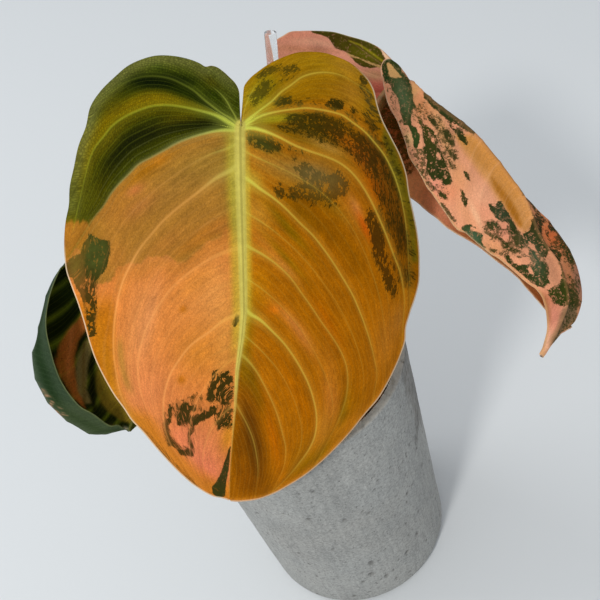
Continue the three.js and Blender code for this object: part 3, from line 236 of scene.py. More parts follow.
L_RIGHT = [
    (0.000, [(158, 220.2, 428), (159, 212.5, 428), (161, 204, 429), (165, 196, 430), (169, 190, 431), (173, 186, 432)]),
    (0.004, [(158, 221.6, 428), (165, 209, 428), (173, 199, 430), (182, 192, 432), (191, 188, 434), (199, 187, 435)]),
    (0.008, [(158, 223.2, 428), (171, 212, 429), (185, 205, 431), (199, 203, 433), (211, 207, 436), (219, 213, 438)]),
    (0.014, [(158.1, 225.4, 428), (176, 220, 430), (194, 218, 432), (211, 223, 435), (222, 232, 438), (229, 241, 440)]),
    (0.06, [(158.8, 230, 428.5), (179, 231, 430), (198, 236, 433), (214, 246, 437), (225, 258, 441), (231, 269, 443)]),
    (0.16, [(160, 246, 429.5), (180, 252, 431), (199, 263, 434), (214, 277, 438), (223, 291, 442), (227, 303, 445)]),
    (0.27, [(160.5, 266, 430.5), (180, 276, 432), (197, 289, 435), (210, 304, 439), (217, 317, 443), (220, 328, 446)]),
    (0.38, [(160, 288, 431), (178, 299, 432), (193, 312, 435), (203, 325, 439), (208, 337, 443), (209, 346, 446)]),
    (0.50, [(158, 312, 431), (173, 323, 431.5), (185, 335, 434), (193, 347, 438), (196, 357, 441), (196, 364, 443)]),
    (0.61, [(155, 336, 430), (168, 346, 430.5), (178, 357, 432), (183, 366, 435), (185, 374, 438), (184, 380, 440)]),
    (0.72, [(151, 360, 428), (161, 368, 428.5), (168, 376, 430), (172, 384, 432), (172, 391, 434), (171, 396, 435)]),
    (0.82, [(145.5, 384, 424.5), (152, 390, 425), (157, 396, 426), (160, 401, 428), (159, 406, 429), (157, 410, 430)]),
    (0.91, [(138.5, 406, 420.5), (143, 409.5, 420.8), (146, 413, 421.5), (147, 416, 422.5), (146, 419, 423), (144, 421, 423.5)]),
    (0.965, [(133, 420, 417), (135.5, 421.5, 417.3), (137, 422.8, 417.6), (137.2, 424, 418), (136.8, 425, 418.3), (136, 426, 418.5)]),
    (1.0, [(129, 430.5, 414), (129.4, 430.6, 414), (129.8, 430.8, 414), (130.1, 431, 414), (130.4, 431.2, 414), (130.6, 431.5, 414)]),
]


def left_half(side, nt, ns, tq=None, sq=None):
    rows = L_LEFT if side < 0 else L_RIGHT
    V = np.array([r[1] for r in rows], float)       # rows x 6 x 3
    t = np.linspace(0, 1, nt) if tq is None else np.asarray(tq)
    s = np.linspace(0, 1, ns) if sq is None else np.asarray(sq)
    # rows spaced by the margin's length
    L = cumlen(np.array([r[1] for r in L_LEFT], float)[:, -2, :])
    A = hermite(L / L[-1], V, t)                     # nt x 6 x 3
    B = hermite(np.linspace(0, 1, 6), np.swapaxes(A, 0, 1), s)   # ns x nt x 3
    return np.swapaxes(B, 0, 1)


def world_main(side, nt, ns, tq=None, sq=None):
    P = main_half(side, nt, ns, tq, sq)
    return unproj(P[..., 0], P[..., 1], main_depth(P[..., 0], P[..., 1])), P


def world_right(side, nt, ns, tq=None, sq=None):
    P = right_half(side, nt, ns, tq, sq)
    return unproj(P[..., 0], P[..., 1], P[..., 2]), P


def world_left(side, nt, ns, tq=None, sq=None):
    P = left_half(side, nt, ns, tq, sq)
    return unproj(P[..., 0], P[..., 1], P[..., 2]), P


# ---------------------------------------------------------------- numbers and noise
def smooth(a, b, x):
    return sstep(a, b, x)


def lattice(ix, iy, iz, seed):
    n = (ix.astype(np.int64) * 374761393 + iy.astype(np.int64) * 668265263 + iz.astype(np.int64) * 2147483647 + seed * 1442695041) & 0x7FFFFFFF
    n = ((n ^ (n >> 13)) * 1274126177) & 0x7FFFFFFF
    n = ((n ^ (n >> 16)) * 668265263) & 0x7FFFFFFF
    return (n ^ (n >> 15)).astype(float) / 0x7FFFFFFF


def noise3(p, seed=0):
    """Smooth value noise, 0 to 1, at the points p (..., 3)."""
    p = np.asarray(p, float)
    i = np.floor(p).astype(np.int64)
    f = p - i
    f = f * f * f * (f * (f * 6 - 15) + 10)
    out = 0
    for dx in (0, 1):
        for dy in (0, 1):
            for dz in (0, 1):
                w = (f[..., 0] if dx else 1 - f[..., 0]) * (f[..., 1] if dy else 1 - f[..., 1]) * (f[..., 2] if dz else 1 - f[..., 2])
                out = out + w * lattice(i[..., 0] + dx, i[..., 1] + dy, i[..., 2] + dz, seed)
    return out


def noise2(x, y, seed=0):
    x, y = np.broadcast_arrays(np.asarray(x, float), np.asarray(y, float))
    return noise3(np.stack([x, y, np.zeros_like(x)], -1), seed)


def fbm2(x, y, octaves=4, seed=0):
    total, amp, k = 0, 0.5, 1.0
    for o in range(octaves):
        total = total + amp * (noise2(np.asarray(x) * k, np.asarray(y) * k, seed + 17 * o) - 0.5)
        amp *= 0.5
        k *= 2.03
    return total


def srgb(r, g, b):
    """Linear colour of an 8-bit display colour."""
    c = np.array([r, g, b], float) / 255
    return np.where(c <= 0.04045, c / 12.92, ((c + 0.055) / 1.055) ** 2.4)


def to_lin(c):
    c = np.clip(np.asarray(c, float) / 255, 0, 1)
    return np.where(c <= 0.04045, c / 12.92, ((c + 0.055) / 1.055) ** 2.4)


def seg_dist(x, y, P):
    """Distance to a polyline, the share of the nearest point along it in map units, and the side (+1 to the left of its run)."""
    P = np.asarray(P, float)
    L = cumlen(P)
    best = np.full(np.shape(x), 1e9)
    where = np.zeros(np.shape(x))
    side = np.ones(np.shape(x))
    for k in range(len(P) - 1):
        a, b = P[k], P[k + 1]
        d = b - a
        l2 = max(d @ d, 1e-9)
        raw = ((x - a[0]) * d[0] + (y - a[1]) * d[1]) / l2
        t = np.clip(raw, 0, 1)
        q = np.hypot(x - a[0] - t * d[0], y - a[1] - t * d[1])
        s = np.where(d[0] * (y - a[1]) - d[1] * (x - a[0]) > 0, -1.0, 1.0)
        near = q < best - 1e-9
        best = np.where(near, q, best)
        where = np.where(near, L[k] + t * math.sqrt(l2), where)
        side = np.where(near, s, side)
    return best, where, side


def smooth_line(P, n=60):
    P = np.asarray(P, float)
    L = cumlen(P)
    return hermite(L / L[-1], P, np.linspace(0, 1, n))


def poly_sdf(x, y, P):
    """Signed distance to a closed outline, above 0 inside."""
    P = np.asarray(P, float)
    d, _, _ = seg_dist(x, y, np.vstack([P, P[:1]]))
    inside = np.zeros(np.shape(x), bool)
    j = len(P) - 1
    for i in range(len(P)):
        a, b = P[i], P[j]
        cross = ((a[1] > y) != (b[1] > y)) & (x < (b[0] - a[0]) * (y - a[1]) / (b[1] - a[1] + 1e-12) + a[0])
        inside ^= cross
        j = i
    return np.where(inside, d, -d)


def wash(C, colour, x, y, cx, cy, rx, ry, turn=0.0, power=1.0):
    """Lays a soft-edged patch of pigment over the colours C, in place."""
    a = math.radians(turn)
    u = ((x - cx) * math.cos(a) + (y - cy) * math.sin(a)) / rx
    v = (-(x - cx) * math.sin(a) + (y - cy) * math.cos(a)) / ry
    w = np.clip(power * np.exp(-(u * u + v * v)), 0, 1)[..., None]
    C[...] = C * (1 - w) + np.asarray(colour, float) * w


def veil(C, colour, w):
    w = np.clip(w, 0, 1)[..., None]
    C[...] = C * (1 - w) + np.asarray(colour, float) * w


# ---------------------------------------------------------------- meshes
def new_mesh(name, verts_mm, faces, smooth_faces=True):
    """A mesh object from points in millimetres and a list of faces (or a face array)."""
    me = bpy.data.meshes.new(name)
    V = np.asarray(verts_mm, np.float32) * 0.001
    if isinstance(faces, np.ndarray):
        k = faces.shape[1]
        nf = len(faces)
        me.vertices.add(len(V))
        me.vertices.foreach_set("co", V.ravel())
        me.loops.add(nf * k)
        me.loops.foreach_set("vertex_index", faces.astype(np.int32).ravel())
        me.polygons.add(nf)
        me.polygons.foreach_set("loop_start", np.arange(0, nf * k, k, dtype=np.int32))
        me.polygons.foreach_set("loop_total", np.full(nf, k, np.int32))
        me.update(calc_edges=True)
    else:
        me.from_pydata([tuple(v) for v in V], [], [tuple(int(i) for i in f) for f in faces])
        me.update()
    me.validate()
    me.polygons.foreach_set("use_smooth", np.full(len(me.polygons), smooth_faces))
    ob = bpy.data.objects.new(name, me)
    bpy.context.scene.collection.objects.link(ob)
    return ob


def put(me, name, values):
    values = np.asarray(values, np.float32)
    if values.ndim == 1:
        a = me.attributes.new(name, "FLOAT", "POINT")
        a.data.foreach_set("value", values)
    else:
        a = me.attributes.new(name, "FLOAT_VECTOR", "POINT")
        a.data.foreach_set("vector", values.ravel())


def tri(quads):
    q = np.asarray(quads)
    return np.concatenate([q[:, [0, 1, 2]], q[:, [0, 2, 3]]])


def grid_normals(P):
    gu = np.gradient(P, axis=0)
    gv = np.gradient(P, axis=1)
    n = np.cross(gu, gv)
    l = np.linalg.norm(n, axis=-1, keepdims=True)
    return n / np.maximum(l, 1e-9)


def soften(A, rounds):
    """Evens a grid's vectors out over their neighbours, so that offset sheets don't crumple where rows crowd."""
    for _ in range(rounds):
        B = np.pad(A, ((1, 1), (1, 1), (0, 0)), mode="edge")
        A = (B[:-2, 1:-1] + B[2:, 1:-1] + B[1:-1, :-2] + B[1:-1, 2:] + 2 * A) / 6
    return A / np.maximum(np.linalg.norm(A, axis=-1, keepdims=True), 1e-9)


def ring_of(rows, cols):
    """Indices round a rows x cols grid's border, with their place along it."""
    out, key = [], []
    for i in range(rows):
        out.append((i, 0)); key.append(i / (rows - 1))
    for j in range(1, cols):
        out.append((rows - 1, j)); key.append(1 + j / (cols - 1))
    for i in range(rows - 2, -1, -1):
        out.append((i, cols - 1)); key.append(2 + (rows - 1 - i) / (rows - 1))
    for j in range(cols - 2, 0, -1):
        out.append((0, j)); key.append(3 + (cols - 1 - j) / (cols - 1))
    return out, key


def zip_rings(ia, ka, ib, kb):
    """Triangles between two closed rings of indices with places ka, kb along them."""
    out = []
    na, nb = len(ia), len(ib)
    a = b = 0
    ka = list(ka) + [4.0]
    kb = list(kb) + [4.0]
    while a < na or b < nb:
        if b >= nb or (a < na and ka[a + 1] <= kb[b + 1]):
            out.append((ia[a % na], ib[b % nb], ia[(a + 1) % na]))
            a += 1
        else:
            out.append((ia[a % na], ib[b % nb], ib[(b + 1) % nb]))
            b += 1
    return out


# ---------------------------------------------------------------- the big blade's veins (map units) and marks
# each: strength, half width at its start, points from the midrib to the margin
V_LEFT = [
    (0.30, 0.9, [(237.5, 122), (236, 118), (231, 109), (225, 99), (217, 91), (208, 85)]),
    (0.42, 1.3, [(237, 124.5), (232, 120), (223, 114.5), (213, 107), (203, 99), (194, 91), (184, 85), (171, 79), (158, 76.5), (142, 77), (127, 82), (112, 92)]),
    (0.95, 1.7, [(237.5, 127), (232, 124), (216, 115.5), (197, 110), (177.5, 106), (167, 105), (152, 106), (137, 111), (121, 119), (111, 127), (104, 136), (96, 146), (89.5, 160), (86, 174), (82, 192)]),
    (0.85, 1.5, [(237.5, 130), (229, 129.8), (216, 131), (203, 134), (190, 138), (177.5, 143), (165, 150), (152, 157), (139, 164), (129, 174), (120, 183), (111, 194), (104, 206), (95, 217), (88, 228)]),
    (0.30, 1.0, [(237, 143), (232, 146), (209, 155), (184, 169), (160, 187), (141, 204), (125, 222), (114, 240), (106, 262)]),
    (0.92, 1.7, [(237.5, 165), (234, 168), (216, 178), (197, 193), (177.5, 208), (162, 222), (150, 236), (144, 243), (137, 253), (131.6, 263), (125, 276), (121, 287), (117.6, 301), (114.5, 322), (113.5, 342), (115, 364), (117.6, 380), (123, 400), (133, 419), (143, 431)]),
    (0.22, 0.9, [(237, 205), (226, 210), (206, 224), (186, 241), (168, 259), (153, 279), (142, 301), (134, 325), (130, 350), (130, 374), (135, 398), (146, 424)]),
    (0.52, 1.6, [(238, 248), (234, 249), (216, 255.5), (197, 267), (180, 280), (169, 291), (160, 304), (152, 317), (145, 332), (141, 345), (138.5, 358), (138, 374), (141, 392), (149, 414), (160, 437)]),
    (0.22, 0.9, [(239, 280), (230, 283), (212, 292), (195, 305), (180, 320), (168, 337), (159, 354), (154, 372), (152.5, 390), (155, 410), (163, 434), (174, 456)]),
    (0.72, 1.6, [(240, 312.5), (235, 315), (226, 319), (209, 332), (190, 346), (179, 360), (171, 373), (166, 387), (163.5, 402), (163.5, 415), (166, 432), (173, 448), (183, 463)]),
    (0.30, 1.0, [(237, 357), (228, 362), (214, 375), (203, 390), (195, 406), (191, 422), (190, 440), (192, 458), (198, 475)]),
    (0.34, 1.0, [(233.5, 405), (226, 411), (216, 422), (209, 434), (205, 446), (203, 458), (204, 470), (208, 482)]),
]
V_RIGHT = [
    (0.22, 0.8, [(243, 121), (244, 112), (248, 100), (254, 89), (262, 79)]),
    (0.90, 1.9, [(243.5, 124.5), (247, 121), (259, 111), (272, 101), (281, 92), (291, 85), (301, 77.5), (313, 73.5), (326, 72.5), (342, 76), (356, 84)]),
    (1.00, 1.8, [(243.5, 126.5), (249, 122), (259, 116.5), (275, 112), (291, 109.5), (306.5, 108), (319, 109.5), (332, 112), (342, 115), (352, 122), (364, 131), (374, 142), (383.5, 154), (392, 170), (399, 190), (404, 214), (407, 240), (408, 264)]),
    (1.00, 2.0, [(244, 128), (250, 127.5), (264, 131), (278.5, 137), (294, 145), (309, 151), (324, 156), (338, 162), (349, 170), (358, 180), (365, 190.5), (372, 203), (378, 216), (384, 230), (388.5, 241.5), (394.5, 258), (400, 273), (402.5, 287), (404, 301), (403, 319)]),
    (0.26, 0.9, [(245, 151), (254, 156), (276, 166), (299, 178), (320, 192), (338, 210), (352, 230), (363, 252), (372, 276), (379, 302), (383, 330), (384, 352)]),
    (0.92, 1.8, [(245.5, 178), (250, 181), (259, 188), (272, 197), (284, 207), (294, 217), (304, 227), (309, 231.5), (322, 247), (332, 261), (342, 277), (352, 294), (359, 310), (365, 326), (370, 342), (374, 359), (376.5, 374), (374, 392)]),
    (0.24, 0.9, [(246, 212), (256, 218), (274, 231), (291, 246), (307, 263), (322, 282), (336, 303), (348, 326), (357, 350), (362, 374), (362, 396), (357, 416)]),
    (0.62, 1.5, [(246, 245), (251, 248), (262, 254), (278.5, 266), (291, 278.5), (301, 292.5), (312, 308), (322, 323), (332, 337), (341, 352), (346, 365), (347.5, 377), (346, 396), (339, 418), (328, 440)]),
    (0.24, 0.9, [(246, 278), (256, 284), (272, 297), (287, 312), (301, 330), (313, 350), (323, 371), (330, 392), (332, 412), (327, 432), (316, 452)]),
    (1.00, 1.9, [(245.5, 309), (249, 313), (259, 319), (272, 331), (284, 343.5), (292.5, 355), (301, 369), (308, 383), (313, 398), (316, 412), (316.5, 423), (314, 438), (307, 452), (297, 465), (287, 477), (277, 487)]),
    (0.28, 0.9, [(244, 335), (252, 341), (266, 355), (279, 371), (289, 389), (297, 409), (301, 430), (299, 449), (291, 466), (281, 480)]),
    (0.55, 1.4, [(242, 355), (246, 358.5), (255.5, 370), (263, 383), (269.5, 396), (277, 414), (282, 432), (285.5, 448), (284, 465), (276, 483)]),
    (0.52, 1.2, [(236.5, 404), (239, 409), (245, 420), (252, 436), (256, 452), (258, 470), (256, 488)]),
]
MAJOR_L = [1, 2, 3, 5, 7, 9, 11]      # the veins that carry the quilting between them
MAJOR_R = [1, 2, 3, 5, 7, 9, 11, 12]

# the marks' outlines on the big blade
PATCH_MAIN = [      # raggedness, depth of colour, outline
    (0.30, 0.82, [(72, 257), (81, 254), (84, 243), (90, 236), (94, 244), (90, 256), (88, 272), (86, 290), (88, 306), (86, 312), (81, 295), (74, 281), (65.5, 270), (66, 262)]),
    (0.22, 0.97, [(90, 233), (96, 236), (101, 239), (111, 240), (112, 250), (110, 262), (106, 272), (98, 281), (89, 280), (84, 270), (84, 256), (88, 246)]),
    (0.48, 0.94, [(90, 276), (98, 281), (97, 292), (98, 309), (95.5, 322), (97, 334), (90, 336), (87, 327), (87, 306), (86, 290)]),
    (0.20, 0.95, [(236, 313), (240, 314), (239, 322), (235, 328), (232, 326), (234, 319)]),
    (0.28, 0.97, [(220, 368.8), (226.3, 372.5), (232.5, 374), (233, 383), (229, 383.8), (225, 378.8), (220, 381.3), (218, 386.3), (218, 391.3), (222, 396.3), (227, 400), (231.9, 402), (225, 406.3), (220, 402.5), (216.3, 400), (206.3, 400), (207.5, 387.5), (211.3, 386.3), (211.3, 380), (215, 376.3)]),
    (1.00, 0.97, [(210, 380), (214, 372), (221, 369), (232, 374), (233, 401), (226, 402), (216, 401), (207, 399), (208, 388)]),
    (1.00, 0.97, [(216, 413), (224, 408), (232, 410), (231, 425), (222, 429), (215, 424)]),
    (0.22, 0.97, [(210, 406), (214, 404.5), (218, 406.5), (217.5, 410.5), (212, 411.5), (209.5, 409)]),
    (0.28, 0.97, [(222.5, 412.5), (228.8, 415), (232, 419), (230, 425), (225, 425), (221.3, 427.5), (217.5, 430), (215.6, 423.8), (214.4, 420), (218.1, 416.3)]),
    (0.28, 0.97, [(217.5, 412.5), (210, 417.5), (203.8, 420), (197.5, 423.8), (192.5, 426.3), (190, 425), (187.5, 421.3), (180, 425), (177.5, 423.8), (178.1, 417.5), (176.9, 410), (180, 406.3), (183.8, 401.3), (187.5, 401.3), (190, 403.8), (196.9, 403.8), (196.3, 410), (191.3, 411.3), (191.3, 415), (200, 412.5), (205, 410), (215, 409.5)]),
    (0.22, 0.95, [(167.5, 410), (171, 405.5), (175, 406.3), (171.9, 410), (173.1, 415), (172.5, 421.3), (168.8, 425), (168.8, 430), (171.3, 436.3), (176.3, 441.3), (178.8, 445), (177.5, 448.8), (173.8, 446.3), (168.8, 445), (166.3, 437.5), (164.4, 430), (163.1, 422.5), (165, 418.8), (168.8, 417.5), (168.1, 413.8)]),
    (0.22, 0.95, [(177.5, 447.5), (185, 448.8), (187.5, 446.3), (192.5, 448.8), (195, 452.5), (193.8, 455.6), (186.3, 453.8), (181.3, 454.4), (178.1, 451.3)]),
    (0.20, 0.95, [(190, 425), (193.8, 426.3), (195, 430), (191.3, 435), (190.6, 438.8), (193.6, 442.5), (194.2, 447.5), (191.3, 448.8), (190, 442.5), (187.5, 438.8), (188.8, 431.3)]),
    (0.20, 0.85, [(199.8, 391.3), (194.5, 398.8), (191, 398), (187, 396.5), (193, 394.5), (197, 391)]),
    (0.08, 0.97, [(231.2, 444), (230.4, 452), (228.9, 468.8), (227, 478), (225, 496), (217.5, 498), (212.5, 493), (211.6, 486.3), (216.3, 480), (221.3, 470), (225, 459), (228.4, 449)]),
    (0.62, 0.74, [(304, 160), (314, 168), (325, 175), (333, 172), (337, 166), (343, 175), (348, 183), (346, 192), (338, 198), (330, 202), (318, 201), (305, 200), (292, 196), (288, 188), (296, 184), (303, 182), (297, 174), (294, 168)]),
    (0.50, 0.84, [(246, 131), (259, 132), (270, 138), (284, 147), (280, 152), (266, 149), (254, 148), (247, 143)]),
    (0.50, 0.82, [(274, 185), (283, 189), (284, 197), (278, 198), (272, 191)]),
    (0.38, 0.92, [(271.5, 101), (280, 97), (291, 97), (291, 105), (283, 107), (274, 107)]),
    (0.25, 0.80, [(295, 103), (303, 102.5), (303, 105.5), (297, 106.5)]),
    (0.38, 0.95, [(324, 104), (331, 99.5), (343, 101), (343, 110), (334, 110.5), (325, 108)]),
    (0.30, 0.85, [(358, 77), (363, 75.5), (368, 81), (367, 86), (361, 85)]),
    (0.55, 0.74, [(250, 97), (256, 88), (264, 82), (270, 82), (270, 90), (262, 99), (255, 106)]),
    (0.55, 0.76, [(255, 77), (268, 67), (281, 65), (278, 71), (263, 80)]),
    (0.55, 0.76, [(283, 69), (298, 65), (297, 71), (286, 76)]),
    (0.72, 0.86, [(367.7, 206), (373, 213), (376, 220), (382, 228), (385, 241), (384, 252), (388, 268), (394.6, 277.3), (396.5, 291), (392.7, 298.5), (386, 291), (379, 275), (373.5, 260), (370.5, 245), (366, 229), (364, 219)]),
    (0.30, 0.90, [(403, 269), (408, 270), (410, 280), (405, 283.5), (402, 278)]),
    (0.70, 0.86, [(285, 114), (300, 114), (318, 116), (334, 121), (345, 130), (343, 141), (330, 140), (316, 134), (300, 128), (288, 124)]),
    (0.75, 0.86, [(352, 134), (362, 140), (372, 152), (378, 168), (376, 178), (366, 168), (356, 152)]),
]
# mottled stretches: density, outline
MOTTLE_MAIN = [
    (0.46, [(380, 132), (388, 138), (396, 156), (404, 178), (411, 204), (415, 228), (412, 236), (404, 214), (396, 190), (388, 168), (381, 150)]),
    (0.60, [(366, 122), (378, 130), (384, 150), (392, 172), (398, 190), (392, 196), (382, 182), (376, 160), (368, 142)]),
    (0.56, [(272, 128), (290, 114), (304, 111), (318, 111), (342, 118), (360, 131), (372, 144), (378, 164), (372, 184), (362, 172), (352, 158), (336, 148), (312, 141), (292, 134)]),
    (0.46, [(340, 112), (352, 108), (374, 112), (386, 135), (392, 150), (398, 170), (404, 195), (398, 214), (388, 214), (378, 205), (368, 185), (372, 165), (366, 150), (350, 130)]),
    (0.60, [(374, 190), (386, 196), (398, 210), (408, 232), (414, 256), (410, 262), (398, 258), (386, 236), (376, 214)]),
    (0.52, [(386, 256), (396, 250), (410, 258), (416, 276), (412, 288), (402, 290), (394, 280)]),
    (0.50, [(358, 84), (364, 84), (377, 100), (380, 116), (384, 128), (376, 128), (366, 108), (360, 94)]),
    (0.36, [(248, 128), (270, 132), (300, 146), (318, 156), (300, 166), (280, 158), (252, 150)]),
    (0.42, [(272, 178), (290, 184), (300, 198), (330, 204), (344, 200), (340, 208), (310, 208), (284, 198)]),
    (0.46, [(210, 378), (218, 368), (226, 370), (233, 372), (233, 402), (224, 404), (207, 402), (206, 388)]),
    (0.46, [(216, 402), (232, 404), (232, 428), (222, 430), (214, 420)]),
    (0.46, [(163, 406), (176, 400), (190, 396), (203, 394), (204, 404), (217, 412), (205, 420), (196, 424), (197, 436), (195, 456), (184, 456), (170, 442), (163, 426)]),
    (0.50, [(86, 280), (98, 281), (99, 309), (98, 334), (88, 334), (84, 310)]),
    (0.30, [(246, 96), (256, 80), (272, 66), (300, 62), (302, 74), (284, 84), (272, 98), (256, 108), (248, 110)]),
    (0.30, [(276, 92), (296, 96), (320, 98), (345, 98), (350, 110), (320, 112), (280, 112)]),
    (0.46, [(139, 424), (150, 432), (172, 456), (190, 474), (201, 488), (195, 486), (176, 471), (155, 449), (140, 431)]),
]
HOLES_MAIN = [  # clear islands inside the marks
    [(173, 414), (178, 424), (188, 427), (189, 438), (187, 444), (180, 443), (173, 434), (171, 426)],
    [(202.1, 402.9), (205.3, 403.3), (208.9, 403.1), (207.5, 404.2), (206.6, 406.0), (202.6, 406.9)],
    [(320, 183), (327, 183), (328, 189), (321, 189)],
]

DEEP = (30, 44, 10)
OLIVE = (92, 92, 22)
GREEN = (66, 84, 26)
GREY_OLIVE = (112, 116, 78)
GOLD = (150, 110, 14)
BROWN = (146, 94, 30)
TAN = (176, 122, 68)
AMBER = (190, 104, 20)
ORANGE = (226, 128, 58)
SALMON = (234, 126, 84)
PINK = (236, 118, 88)


def field_of(x, y, veins, major):
    """Where a point lies between the main veins: running number across them, distance along them, and to the nearest one."""
    lines = [smooth_line(v[2], 50) for v in veins]
    best = np.full(x.shape, 1e9)
    strength = np.zeros(x.shape)
    sd, dd, ww = np.zeros(x.shape), np.full(x.shape, 1e9), np.ones(x.shape)
    dist = {}
    for k, (v, P) in enumerate(zip(veins, lines)):
        # carry each line on a little, so that the margin lies between lines too
        Q = np.vstack([P, P[-1] + (P[-1] - P[-4]) * 3])
        d, a, s = seg_dist(x, y, Q)
        L = cumlen(P)[-1]
        run = np.clip(a / L, 0, 1)
        w = v[1] * (1.0 - 0.52 * run + 0.7 * smooth(0.16, 0.0, run))
        nd = d / np.maximum(w, 0.3)
        st = v[0] * (1 - 0.75 * smooth(0.62, 1.0, run)) * smooth(-0.02, 0.03, run + 0.02)
        near = nd < best
        best = np.where(near, nd, best)
        strength = np.where(near, st, strength)
        sd = np.where(near, d * s, sd)
        dd = np.where(near, d, dd)
        ww = np.where(near, w, ww)
        dist[k] = (d, a, s)
    return sd, dd, ww, strength, dist


def across(x, y, dist, major, flip):
    """A number that grows by 1 from each main vein to the next, and the distance along them."""
    n = len(major)
    ph = np.zeros(x.shape)
    al = np.zeros(x.shape)
    done = np.zeros(x.shape, bool)
    prev_d, prev_a = None, None
    for i, k in enumerate(major):
        d, a, s = dist[k]
        above = (s * flip) > 0            # on the side of the lobes
        take = above & ~done
        if i == 0:
            p = -d / 34.0
            q = a
        else:
            p = i - 1 + prev_d / np.maximum(prev_d + d, 1e-6)
            w = prev_d / np.maximum(prev_d + d, 1e-6)
            q = prev_a * (1 - w) + a * w
        ph = np.where(take, p, ph)
        al = np.where(take, q, al)
        done |= above
        prev_d, prev_a = d, a
    ph = np.where(~done, n - 1 + prev_d / 34.0, ph)
    al = np.where(~done, prev_a, al)
    return ph, al


